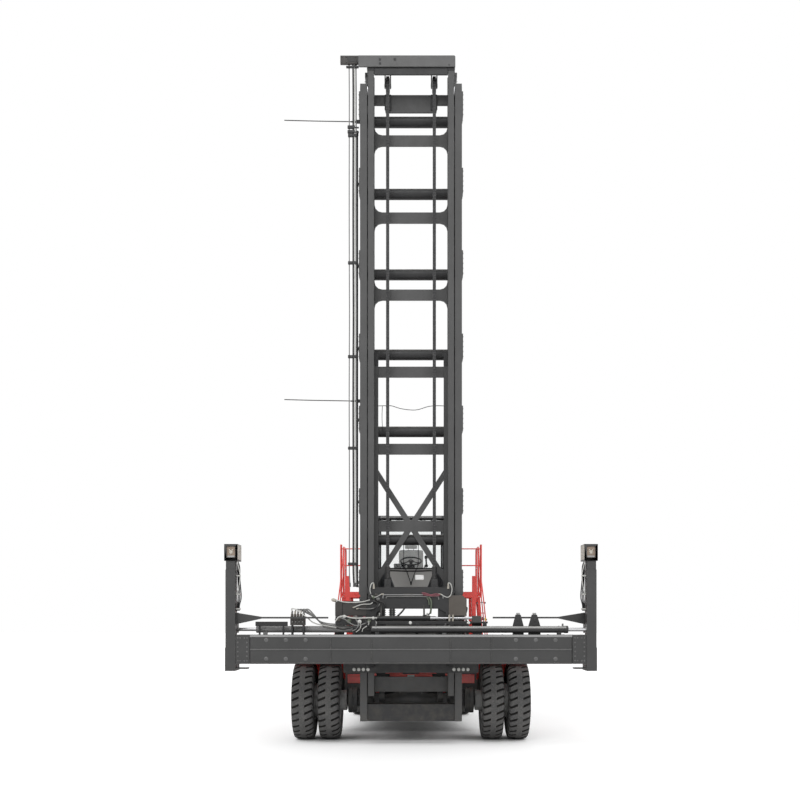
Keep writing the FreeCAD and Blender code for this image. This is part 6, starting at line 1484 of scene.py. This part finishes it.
def inner_mast():
    from_cad("inner_columns_welded", MAST, "inner_mast", "inner_columns", "mast_steel", 5)
    from_cad("inner_rungs_welded", MAST, "inner_mast", "inner_rungs", "light_steel", 3)

    p = Piece("crosshead_welded", GREY_AND_HIGHLIGHT)
    p.plate([(-902, 11612), (-890, 11610), (760, 11610), (760, 11778), (754, 11796), (738, 11805), (-902, 11805)],
            "xz", -860, -836, 5)
    p.box(-902, 760, -838, -500, 11785, 11805, 4)
    for side in (-1, 1):
        p.box(side * 738, side * 758, -838, -500, 11610, 11786, 4)
        p.box(side * 705, side * 805, -502, -133, 11610, 11700, 6)
        p.box(side * 745, side * 765, -560, -200, 11698, 11790, 6)
    p.box(-738, 738, -520, -500, 11664, 11786, 4)
    # A dark plate set back behind the crosshead's front plate: painted shade under the head.
    p.use(MAST_DARK_AND_SHADE).box(-631, 631, -830, -800, 11486, 11640, 4)
    for side in (-1, 1):
        p.box(side * 632, side * 741, -830, -819, 11568, 11612, 3)
        for face in (-1, 1):
            x = side * CHAIN_X + face * 47
            p.plate([(-640, 11640), (-410, 11640), (-460, 11440), (-500, 11408), (-550, 11408), (-590, 11440)], "yz",
                x - 9, x + 9, 4)
    p.make("inner_mast", "crosshead", slot="light_steel")
    p = Piece("crosshead_fittings", ZINC)
    for side in (-1, 1):
        x = side * CHAIN_X
        for face in (-1, 1):
            p.turned((x + face * 56, SHEAVE_Y, SHEAVE_Z), (face, 0, 0), [(0, 34), (3, 33), (5, 24), (5, 0)], 28)
        for dx in (-60, 60):
            p.bolt((side * LIFT_X + dx, -180, 11700), UP, 11, 9)
        p.use(MAST_DARK_AND_SHADE).box(side * 568, side * 636, -520, -508, 6570, 6810, 3)
        p.box(side * 548, side * 572, -520, -505, 6740, 6812, 4)
        p.use(ZINC)
    p.use(MAST_DARK_AND_SHADE)
    for x, z, radius, proud in ((-532, 11664, 20, 8), (-532, 11734, 20, 8), (-276, 11734, 22, 8),
            (650, 11640, 11, 6)):
        p.rod((x, -860, z), (x, -860 - proud, z), radius, 20)
    p.use(HOSE)
    p.hose([(-572, -512, 5870), (-420, -514, 5872), (-330, -514, 5868), (-180, -514, 5822), (0, -514, 5798),
        (130, -514, 5806), (300, -514, 5858), (440, -514, 5872), (572, -512, 5870)], 6, 8)
    p.hose([(-500, -512, 5874), (-506, -514, 5650), (-492, -514, 5420)], 5, 8)
    p.make("inner_mast", slot="chrome")

    p = Piece("chain_sheaves_grooved", CHAIN)
    for side in (-1, 1):
        x = side * CHAIN_X
        p.turned((x, SHEAVE_Y, SHEAVE_Z), (1, 0, 0), [
            (-33, 38), (-33, 60), (-26, 64), (-26, 100), (-33, 104), (-33, 121), (-30, 124), (-29.5, 116),
            (29.5, 116), (30, 124),
            (33, 121), (33, 104), (26, 100), (26, 64), (33, 60), (33, 38)
        ], 56, True)
        for a in turns(6):
            c = Vector((x, SHEAVE_Y + 82 * cos(a), SHEAVE_Z + 82 * sin(a)))
            p.rod(c - RIGHT * 28, c + RIGHT * 28, 14, 14)
    p.make("inner_mast", "chain_sheaves", slot="chain_steel")

    p = Piece("leaf_chains", CHAIN)
    radius, mid = 135, Vector((0, SHEAVE_Y, SHEAVE_Z))
    front, back_run = SHEAVE_Z - 3075, SHEAVE_Z - 11343
    arc = pi * radius
    pitch = 46

    def along(d):
        if d < front:
            return Vector((0, CHAIN_Y, 3075 + d)), Vector((0, 0, 1))
        if d < front + arc:
            a = pi - (d - front) / radius
            return mid + Vector((0, radius * cos(a), radius * sin(a))), Vector((0, sin(a), -cos(a)))
        return Vector((0, -390, SHEAVE_Z - (d - front - arc))), Vector((0, 0, -1))

    total = front + arc + back_run
    for side in (-1, 1):
        for i in range(int(total / pitch)):
            a, b = along(i * pitch)[0], along(min(total - 14, (i + 1) * pitch))[0]
            middle, run = (a + b) / 2, (b - a).normalized()
            out = RIGHT.cross(run)
            half, bulge = (b - a).length / 2, 16
            shape = [(-half, -bulge), (0, -bulge * 0.8), (half, -bulge), (half + 12, -7), (half + 12, 7),
                (half, bulge), (0, bulge * 0.8), (-half, bulge), (-half - 12, 7), (-half - 12, -7)]
            for x in ((-24, -8, 8, 24) if i % 2 else (-16, 0, 16)):
                centre = RIGHT * (side * CHAIN_X + x) + middle
                rows = [[centre + run * u + out * v + RIGHT * w for u, v in shape] for w in (-3.9, 3.9)]
                n = len(shape)
                faces = [list(range(n)), list(range(n, 2 * n))] + [[k, (k + 1) % n, n + (k + 1) % n,
                    n + k] for k in range(n)]
                p.add(rows[0] + rows[1], faces)
            centre = RIGHT * (side * CHAIN_X) + middle
            p.use(HOSE)
            wall = [centre + run * u * (half + 1) + out * v * 9 + RIGHT * w for w in (-27, 27) for u,
                v in ((-1, -1), (1, -1), (1, 1), (-1, 1))]
            p.add(wall, [[0, 1, 2, 3], [4, 5, 6, 7], [0, 1, 5, 4], [1, 2, 6, 5], [2, 3, 7, 6], [3, 0, 4, 7]])
            p.use(CHAIN).rod(a + RIGHT * (side * CHAIN_X - 28.3), a + RIGHT * (side * CHAIN_X + 28.3), 7, 8, 1)
        x = side * CHAIN_X
        p.turned((x, CHAIN_Y, 2560), UP, [(0, 28)] + [
            (4 + k * 26 + d, r) for k in range(19) for d, r in ((0, 34), (5, 45), (15, 45))
        ] + [(498, 34), (506, 28), (516, 28)], 24)
        p.box(x - 30, x + 30, -676, -644, 3000, 3086, 6)
        p.use(ZINC).rod((x, CHAIN_Y, 2562), (x, CHAIN_Y, 2604), 46, 6)
        p.rod((x, CHAIN_Y, 2607), (x, CHAIN_Y, 2622), 44, 6)
        p.use(CHAIN)
    p.make("inner_mast", "lift_chains", slot="chain_steel")

    p = Piece("lift_cylinder_rods", CHROME)
    foot, top = extents("lift_rods")[4:]
    for side in (-1, 1):
        p.rod((side * LIFT_X, LIFT_Y, foot), (side * LIFT_X, LIFT_Y, top), 50, 40)
    p.make("inner_mast", "lift_rods", slot="chrome")

    p = Piece("mast_hoses_on_clamps", HOSE)
    x0 = extents("mast_hoses")[0]
    for x, y, radius, material in ((-1066, -700, 9, HOSE_GREY), (-998, -700, 15, HOSE), (-973, -716, 8, HOSE_PALE),
            (-948, -700, 11, HOSE_GREY)):
        p.use(material)
        line = [(x, y - 60, 11692), (x, y - 58, 11640), (x, y - 30, 11480), (x, y, 11200), (x, y, 10900),
            (x - 2, y, 9400), (x, y, 8300), (x + 3, y, 7400), (x, y, 6680), (x - 2, y, 5900), (x, y, 5100),
            (x + 3, y - 2, 4100), (x, y, 3100), (x + 6, y, 2850), (x + 14, y, 2706)]
        p.hose(line, radius, 14, 8)
        p.use(BOLT).fitting((x, y - 60, 11692), (0, 0, -1), radius + 3, 70)
        p.fitting((x + 14, y, 2704), UP, radius + 3, 70)
    p.use(MAST_DARK_AND_SHADE)
    for z in (3100, 5100, 6680, 8300, 10500):
        p.box(-1088, -932, -730, -684, z - 25, z + 25, 6)
        p.use(BOLT).bolt((-1032, -730, z), FRONT, 8, 7)
        p.use(MAST_DARK_AND_SHADE)
    for z in (10560, 10640):
        p.box(-1096, -968, -730, -680, z - 22, z + 30, 7)
        p.box(-970, -900, -712, -690, z - 12, z + 12, 4)
    p.box(-1116, -900, -792, -744, 11636, 11664, 5)
    p.use(BROWN_DARK).box(x0, -906, -800, -742, 11694, 11835, 5)
    p.use(MAST_DARK_AND_SHADE).box(-930, -888, -838, -742, 11700, 11810, 5)
    p.box(-1090, -960, -806, -798, 11720, 11812, 3)
    p.use(CHAIN)
    for x in (-1190, -1112, -948):
        for z in (11722, 11806):
            p.bolt((x, -800, z), FRONT, 9, 7)
    p.make("inner_mast", "mast_hoses", slot="hose_rubber")


def tilt_cylinders():
    foot, eye = Vector((0, 1150, 1600)), Vector((0, TILT_EYE_Y, TILT_EYE_Z))
    run = (eye - foot).normalized()
    barrel = Piece("tilt_cylinder_barrels", MAST_DARK_AND_SHADE)
    rods = Piece("tilt_cylinder_rods", CHROME)
    for side in (-1, 1):
        off = RIGHT * (side * TILT_X)
        a, b = foot + off, eye + off
        barrel.use(MAST_DARK_AND_SHADE).sleeve(a - RIGHT * 35, a + RIGHT * 35, 62, 32, 36)
        barrel.turned(a, run, [(40, 40), (84, 42), (90, 74), (130, 76), (136, 74), (1050, 74), (1056, 82), (1112, 82),
            (1120, 76), (1120, 43)], 40)
        barrel.turned(a, run, [(1108, 43), (1118, 60), (1120, 41.5)], 36)
        barrel.use(ZINC)
        for reach, rise in ((180, 70), (1030, 66)):
            barrel.fitting(a + run * reach + Vector((0, 0, rise)), (0, -0.3, 1), 16, 56)
        barrel.use(CHAIN)
        barrel.hose([a + run * reach + Vector((0, y, z)) for reach, y, z in (
            (185, -14, 122), (320, 0, 136), (700, 0, 112), (980, 0, 128), (1026, -14, 118)
        )], 9, 10)
        rods.use(CHROME).rod(b - run * 990, b - run * 58, 40, 36)
        rods.use(MAST_DARK_AND_SHADE).sleeve(b - RIGHT * 34, b + RIGHT * 34, 62, 36, 36)
        rods.turned(b, -run, [(52, 38), (60, 52), (110, 52), (122, 42)], 32)
        rods.use(YELLOW).rod(b + Vector((0, 0, 60)), b + Vector((0, 0, 70)), 6, 8)
    barrel.make("tilt_barrels", "tilt_barrels", slot="mast_steel")
    rods.make("tilt_rods", "tilt_rods", slot="chrome")


# ---- carriage
ROLLER_Z = (1420, 2250)


def carriage():
    def not_roller(c):
        return abs(c.x) < 601 or c.y < -850 or min(abs(c.z - z) for z in ROLLER_Z) > 121

    from_cad("carriage_welded", MAST_DARK_AND_SHADE, "carriage", "carriage", "mast_steel", 4, not_roller)

    p = Piece("carriage_rollers", CHAIN)
    for side in (-1, 1):
        for z in ROLLER_Z:
            p.turned((side * 600, -645, z), (side, 0, 0), [
                (-1, 40), (6, 60), (14, 112), (20, 119), (76, 120), (96, 116), (98, 60), (92, 54), (92, 0)
            ], 40)
    p.use(ZINC)
    for side in (-1, 1):
        for k in range(4):
            x = side * (731 + k * 79)
            p.bolt((x, -980, 1292), FRONT, 21, 14)
        for k in range(6):
            p.use(CHAIN).hoop((side * CHAIN_X, CHAIN_Y, 2702 + k * 26), UP, 59 - k * 1.3, 6, 32, 8)
        p.use(ZINC)
    p.use(BROWN_DARK).box(-1286, -1170, -992, -978, 2207, 2451, 4)
    p.box(-1160, -760, -988, -978, 2215, 2440, 4)
    p.use(BROWN).plate([(642, 2207), (943, 2207), (943, 2480), (872, 2552), (642, 2552)], "xz", -990, -978, 3)
    p.make("carriage", slot="chain_steel")

    p = Piece("carriage_hose_dress", CREAM)
    y = -1006
    for s in (-1, 1):
        x = s * 632
        p.use(CREAM).rod((x, y + 14, 2664), (x, y + 14, 2696), 20, 6)
        p.fitting((x, y + 14, 2696), UP, 13, 54)
        p.use(HOSE_PALE)
        p.hose([(x, y + 14, 2744), (x + s * 10, y + 8, 2766), (x + s * 44, y - 6, 2740), (x + s * 64, y - 12, 2650),
            (x + s * 40, y - 14, 2556), (x - s * 10, y - 20, 2520), (x - s * 70, y - 16, 2538),
            (x - s * 120, y, 2570)], 8, 12, 8)
        p.use(CREAM).fitting((x - s * 120, y, 2570), (-s, 0, 0.1), 11, 50)
    p.use(LIGHT_GREY_AND_HIGHLIGHT)
    p.pipe([(-476, y + 6, 2500), (-476, y + 6, 2562), (545, y + 6, 2562), (545, y + 6, 2500)], 40, 10)
    p.use(HOSE_GREY)
    p.pipe([(-420, y + 2, 2500), (-420, y + 2, 2532), (470, y + 2, 2532), (470, y + 2, 2480)], 30, 9)
    p.use(BROWN_DARK).box(-130, 60, y, y + 26, 2520, 2584, 6)
    hoses(p,
        (HOSE_RED, 12, 12, 6, (184, -6, 2592), (250, -14, 2586), (330, -16, 2560), (420, -14, 2574), (494, -6, 2562)),
        (HOSE_RED, 10, 12, 6, (200, -10, 2566), (300, -18, 2548), (390, -18, 2542), (480, -10, 2548)),
        (HOSE_GREEN, 16, 14, 6, (300, -10, 2520), (336, -20, 2470), (344, -22, 2400), (340, -18, 2330),
            (330, -10, 2240)),
        (HOSE_GREEN, 11, 12, 6, (268, -10, 2516), (300, -20, 2460), (306, -22, 2390)),
        y=y,
    )
    for k, (x, z) in enumerate(((-690, 2560), (-640, 2520), (-590, 2556), (-560, 2490), (-630, 2450))):
        p.use((BEAM_DARK, HOSE_GREEN, BROWN_DARK, HOSE_GREY, BEAM_DARK)[k])
        p.turned((x, y + 10, z), (0.2, -1, 0.1), [(-20, 26), (0, 30), (18, 28), (22, 18), (40, 16), (42, 0)], 20)
    p.use(HOSE)
    for x, r in ((-459, 26), (-343, 28), (-296, 28)):
        for z in (2226, 2262, 2298):
            p.hoop((x, y + 6, z), UP, r, 8, 24, 8)
        p.tube([(x, y + 6, 2205), (x, y + 6, 2330)], r - 6, 16)
    hoses(p,
        (HOSE, 15, 14, 6, (-100, 0, 2352), (-140, -12, 2290), (-196, -12, 2230), (-240, 0, 2190)),
        (HOSE, 12, 14, 6, (330, 0, 2262), (290, -12, 2222), (200, -12, 2206)),
        (HOSE, 14, 14, 6, (-560, 0, 2460), (-480, -14, 2430), (-440, -14, 2380), (-450, 0, 2330)),
        (HOSE, 12, 14, 6, (-640, 0, 2470), (-560, -20, 2400), (-620, -20, 2330), (-700, 0, 2300)),
        (HOSE_PALE, 10, 12, 8, (-1296, 20, 2480), (-1230, 10, 2462), (-1120, 4, 2436), (-960, 0, 2432),
            (-820, 0, 2444), (-700, 0, 2474)),
        (HOSE_PALE, 9, 12, 8, (-960, -8, 2352), (-900, -16, 2376), (-820, -18, 2400), (-700, -16, 2404),
            (-650, -12, 2430)),
        (HOSE_GREY, 9, 12, 8, (-900, -6, 2330), (-800, -16, 2322), (-680, -20, 2324), (-580, -16, 2352),
            (-530, -6, 2410)),
        y=y,
    )
    p.use(CREAM)
    p.turned((-1300, y + 22, 2468), (-1, 0, 0.3), [(-30, 14), (-20, 26), (20, 30), (40, 26), (56, 12), (56, 0)], 24)
    for x, z in ((-960, 2352), (-900, 2330)):
        p.fitting((x + 10, y - 6, z), (-1, 0, -0.2), 11, 40)
    p.make("carriage", slot="hose_rubber")

    p = Piece("side_shift_barrel", BEAM_DARK)
    p.cad("shift_barrel", lambda c: hypot(c.y - SHIFT_Y, c.z - SHIFT_Z) > 46)
    p.turned((-580, SHIFT_Y, SHIFT_Z), (1, 0, 0), [(0, 24), (0, 42), (4, 46), (44, 46), (48, 40), (858, 40),
        (862, 46), (902, 46), (906, 42), (906, 24)], 36)
    p.use(ZINC)
    for x in (-530, 276):
        p.fitting((x, SHIFT_Y, 2203), UP, 14, 52)
    p.make("carriage", "shift_barrel", slot="spreader_steel")


# ---- spreader
def spreader():
    from_cad("shift_frame_welded", BEAM_DARK, "spreader", "shift_frame", "spreader_steel", 4)

    p = Piece("side_shift_rod", CHROME)
    p.rod((-1122, SHIFT_Y, SHIFT_Z), (1032, SHIFT_Y, SHIFT_Z), 22, 28)
    p.use(BEAM_DARK).cad("shift_rod", lambda c: c.x < -1119 or c.x > 1029)
    for x in (-1276, 1186):
        p.rod((x, SHIFT_Y, SHIFT_Z), (x - (8 if x > 0 else -8), SHIFT_Y, SHIFT_Z), 34, 28)
    p.use(CREAM)
    for x in (640, 700):
        p.rod((x, -1300, 2110), (x, -1300, 2210), 16, 14)
        p.bolt((x, -1300, 2210), UP, 15, 14)
    p.use(HOSE_RED).rod((1200, -1240, 2130), (1200, -1240, 2190), 14, 14)
    p.use(YELLOW).rod((1245, -1240, 2125), (1245, -1240, 2175), 12, 14)
    p.use(BEAM_DARK).box(620, 1280, -1330, -1210, 2080, 2112, 4)
    for x in (640, 1200):
        p.box(x, x + 60, -1379, -1210, 1990, 2090, 4)
    p.make("spreader", "shift_rod", slot="chrome")

    def lip(c):
        return c.y < -1798 and c.z > 1800

    def ledge(c):
        return c.y < -1798 and 1600 < c.z < 1720

    # The top front lip faces take the light grey and the ledge faces the mid grey: painted highlights where light
    # catches them.
    p = Piece("spreader_beam_welded", BEAM)
    p.cad("spreader_beam", lambda c: not lip(c) and not ledge(c))
    p.use(LIGHT_GREY_AND_HIGHLIGHT).cad("spreader_beam", lip)
    p.use(GREY_AND_HIGHLIGHT).cad("spreader_beam", ledge)
    p.make("spreader", "spreader_beam", slot="spreader_steel", bevel=4)

    p = Piece("beam_wear_pads", BOLT)
    for x in (-2349, -2030, -1709, 1701, 2025, 2343):
        for z in (1816, 1509):
            p.turned((x, -1787, z), FRONT, [(-2, 34), (2, 34), (5, 30), (7, 22), (9, 20), (9, 0)], 28)
            p.bolt((x, -1795, z), FRONT, 15, 4.5)
    for x in range(-2500, 2501, 250):
        for y in (-1660, -1520):
            if abs(x) > 260:
                p.bolt((x, y, 1898), UP, 9, 7)
    # A light grey strip along the beam's top front edge: painted highlight.
    p.use(LIGHT_GREY_AND_HIGHLIGHT).box(-2612, 2612, -1799.8, -1786, 1864, 1902, 2)
    p.use(BEAM)
    for x in (-1300, -640, 640, 1300):
        for low, high in ((1675, 1868), (1456, 1652)):
            p.box(x - 7, x + 7, -1787.5, -1799, low, high, 2)
    p.make("spreader", slot="chrome")

    p = Piece("extension_barrels_and_valve", GREY_AND_HIGHLIGHT)
    for side, y, material in ((-1, -1440, LIGHT_GREY_AND_HIGHLIGHT), (1, -1710, BEAM_DARK)):
        p.use(material)
        start = Vector((-side * 650, y, BARREL_Z))
        p.turned(start, (side, 0, 0), [
            (0, 40), (0, 56), (6, 60), (46, 60), (52, 55), (3140, 55), (3146, 61), (3200, 61), (3208, 56), (3210, 32)
        ], 36)
        for x in (-side * 550, side * 2410):
            p.box(x - 34, x + 34, y - 40, y + 40, BEAM_TOP, 1946, 4)
            p.hoop((x, y, BARREL_Z), (1, 0, 0), 58, 6, 32, 8)
        # A pale rod along the right barrel's upper front: painted highlight.
        if side == 1:
            p.use(PALE_AND_HIGHLIGHT).rod((start.x + 20, y - 46, 2019), (start.x + 3170, y - 46, 2019), 17, 20)
        for reach in (80, 3120):
            p.use(BOLT).fitting((start.x + side * reach, y, 2036), UP, 14, 46)
    p.use(BROWN_DARK).box(-1976, -1736, -1640, -1500, 2052, 2198, 5)
    for k in range(5):
        x = -1964 + k * 46
        p.box(x, x + 34, -1646, -1494, 2070, 2180, 4)
    p.use(BEAM_DARK)
    for x in (-1960, -1776):
        p.box(x, x + 26, -1636, -1504, BEAM_TOP, 2056, 3)
    p.box(-2552, -2024, -1600, -1560, 2040, 2112, 5)
    for x in (-2500, -2110):
        p.box(x, x + 30, -1590, -1560, BEAM_TOP, 2050, 3)
    p.use(CREAM)
    for k in range(5):
        x = -1952 + k * 48
        for y in (-1610, -1540):
            p.use(BROWN).box(x - 16, x + 16, y - 22, y + 22, 2196, 2236, 5)
            p.use(CREAM if k % 2 else HOSE_GREY).fitting((x, y, 2234), UP, 12, 40)
            p.rod((x, y, 2270), (x + 8, y, 2288), 10, 12)
    for k in range(4):
        p.rod((-1940 + k * 56, -1646, 2110), (-1940 + k * 56, -1672, 2110), 10, 18)
    p.use(HOSE_GREY)
    for k in range(4):
        x, y = -1904 + k * 48, -1540
        p.hose([(x, y, 2258), (x + 14, y + 8, 2306), (x + 90, y + 20, 2300), (-1600 + k * 24, y + 34, 2190 - k * 18),
            (-1490 + k * 20, -1490, 2110 - k * 26), (-1300, -1480 - k * 4, 2072 - k * 24),
            (-900, -1484, 2060 - k * 24)], 11, 12, 8)
    p.use(HOSE_PALE)
    p.hose([(-1952, -1610, 2294), (-1944, -1640, 2326), (-1860, -1660, 2300), (-1700, -1660, 2180),
        (-1560, -1600, 2080), (-1200, -1560, 2010)], 10, 12, 8)
    p.make("spreader", "spreader_hydraulics", slot="spreader_steel")

    p = Piece("spreader_hose_cluster", BROWN)
    for x, z, r, m in ((-1190, 2150, 34, BROWN), (-1096, 2196, 26, WHITE), (-1020, 2120, 38, HOSE_GREEN),
            (-930, 2180, 30, BROWN), (-846, 2110, 34, WHITE), (-770, 2176, 26, HOSE_RED),
            (-690, 2120, 32, HOSE_GREEN), (-620, 2170, 24, WHITE)):
        p.use(m)
        p.turned((x, -1560, z), FRONT, [(-40, r * 0.8), (-36, r), (10, r), (14, r * 0.8), (40, r * 0.78),
            (44, r * 0.5), (44, 0)], 24)
    p.use(BEAM_DARK).box(-1240, -580, -1530, -1500, 2052, 2200, 4)
    p.box(-960, -580, -1530, -1500, BEAM_TOP, 2060, 4)
    for x in (-960, -620):
        p.box(x, x + 40, -1600, -1500, BEAM_TOP, 1960, 4)
    hoses(p,
        (HOSE_PALE, 10, 12, 8, (-1236, -1620, 2120), (-1180, -1650, 2186), (-1090, -1660, 2204), (-980, -1655, 2176),
            (-860, -1650, 2170), (-640, -1640, 2176), (-560, -1600, 2172)),
        (HOSE_GREY, 9, 12, 8, (-1190, -1600, 2150), (-1170, -1650, 2180), (-1080, -1665, 2150), (-1000, -1650, 2090),
            (-900, -1650, 2050), (-760, -1640, 2080), (-690, -1600, 2120)),
        (HOSE_GREY, 9, 12, 8, (-930, -1600, 2180), (-900, -1640, 2150), (-860, -1650, 2060), (-900, -1650, 1990),
            (-960, -1640, 1960)),
        (HOSE_PALE, 7, 12, 8, (-846, -1600, 2110), (-820, -1640, 2060), (-840, -1650, 1990), (-900, -1650, 1940)),
        (HOSE_PALE, 7, 12, 8, (-690, -1600, 2120), (-700, -1640, 2060), (-780, -1650, 2000), (-800, -1640, 1950)),
        (HOSE, 14, 12, 8, (-1220, -1590, 2010), (-1100, -1640, 1990), (-940, -1650, 2020), (-820, -1640, 1990),
            (-640, -1610, 1980)),
        (HOSE, 12, 12, 8, (-770, -1600, 2176), (-740, -1650, 2120), (-700, -1650, 2040), (-600, -1600, 1980),
            (-420, -1560, 1950)),
    )
    p.use(BEAM_DARK).box(-740, 1000, -1372, -1350, 2062, 2118, 4)
    for x in (-700, 100, 940):
        p.box(x - 24, x + 24, -1379, -1350, BEAM_TOP, 2080, 3)
    p.use(WHITE)
    for x in (-591, -11, 956):
        p.bolt((x, -1372, 2090), FRONT, 20, 14)
    p.use(BEAM_DARK)
    for xa, xb in ((1669, 1847), (1928, 2122)):
        mid_x = (xa + xb) / 2
        ear = [(xa, BEAM_TOP), (xb, BEAM_TOP), (xb, 2035), (mid_x + 40, 2226), (mid_x - 40, 2226), (xa, 2035)]
        for y in (-1620, -1560):
            p.plate(ear, "xz", y, y + 20, 3)
        p.rod((mid_x, -1628, 2140), (mid_x, -1532, 2140), 26, 24)
        p.use(PALE_AND_HIGHLIGHT).rod((mid_x, -1580, 2226), (mid_x, -1580, 2256), 30, 20)
        p.use(BEAM_DARK)
    p.make("spreader", slot="spreader_steel")


def arms():
    for s, name, rod_y in ((-1, "left", -1440), (1, "right", -1710)):
        body = "arm_" + name

        def plain(c):
            """Neither the extension rod's bore nor the twistlock's."""
            return hypot(c.y - rod_y, c.z - BARREL_Z) > 33 and (hypot(c.x - s * LOCK_X,
                c.z - LOCK_Z) >= 39 or c.y >= -1691)

        from_cad(body + "_welded", ARM, body, "spreader_arm_" + name, "spreader_steel", 4, plain)

        p = Piece(body + "_rod_and_lock", CHROME)
        p.rod((-s * 530, rod_y, BARREL_Z), (s * 2858, rod_y, BARREL_Z), 30, 32)
        p.use(ZINC).rod((s * 2845, rod_y, BARREL_Z), (s * 2857, rod_y, BARREL_Z), 44, 6)
        for x in (2660, 2700, 2770, 2810):
            p.use(BOLT)
            for k in range(6):
                if x in (2660, 2810) or k in (0, 5):
                    p.bolt((s * x, -1788, 1480 + k * 74), FRONT, 11, 8)
        p.use(CREAM)
        z = LOCK_Z
        p.turned((s * LOCK_X, -1692, z), FRONT, [(0, 34), (84, 34), (90, 30), (98, 18), (100, 0)], 32)
        for side in (-1, 1):
            p.matrix = Matrix.Translation((s * LOCK_X, -1782, z)) @ Matrix.Rotation(radians(side * 34), 4, "Y")
            p.box(-9, 9, -10, 10, 4, 58, 4)
        p.matrix = Matrix.Translation((s * LOCK_X, -1782, z))
        p.box(-8, 8, -10, 10, -40, 6, 4)
        p.matrix = None
        p.use(RUBBER).rod((s * 2968, -1697, z - 52), (s * 2968, -1690, z - 52), 16, 20)
        p.use(HEAD)
        x0, x1 = s * 2849, s * 2991
        p.box(x0, x1, -1778, -1688, 3152, 3334, 3)
        p.use(PALE_AND_HIGHLIGHT).box(x0 + s * 10, x1 - s * 10, -1782, -1776, 3156, 3186, 2)
        p.use(BROWN).box(x0, x0 + s * 4, -1796, -1690, 3152, 3334, 1)
        p.box(x1, x1 - s * 4, -1796, -1690, 3152, 3334, 1)
        p.use(CREAM).box(s * 2809.5, s * 2812.5, -1790, -1430, 3124, 3362, 1)
        p.use(ARM).box(s * 2806, s * 3021, -1800, -1780, 3362, 3371.5, 2)
        # A thin pale strip along the arm's ledge: painted highlight.
        p.use(PALE_AND_HIGHLIGHT).box(s * 2850.5, s * 3014.5, -1799.8, -1796.5, 1686, 1694, 0.8)
        p.use(HOSE)
        inner = s * 2850
        for k in range(3):
            x = inner - s * (14 + k * 20)
            y = -1640 - k * 22
            p.hose([(s * 2830, y, 3110), (x, y, 3000), (x - s * 8, y, 2760), (x - s * (10 + 8 * k), y, 2520),
                (x + s * 2, y, 2380), (x + s * 4, y, 2290)], 9, 10, 8)
        p.use(HOSE_PALE)
        p.hose([(s * 2826, -1720, 3108), (inner - s * 34, -1726, 3040), (inner - s * 70, -1726, 2860),
            (inner - s * 44, -1726, 2660), (inner - s * 12, -1722, 2560)], 8, 10, 8)
        p.use(ZINC)
        for z in (2320, 2560, 2860):
            p.box(inner - s, inner - s * 64, -1740, -1620, z - 12, z + 12, 3)
        p.make(body, slot="chrome")


outer_mast()
inner_mast()
tilt_cylinders()
carriage()
spreader()
arms()
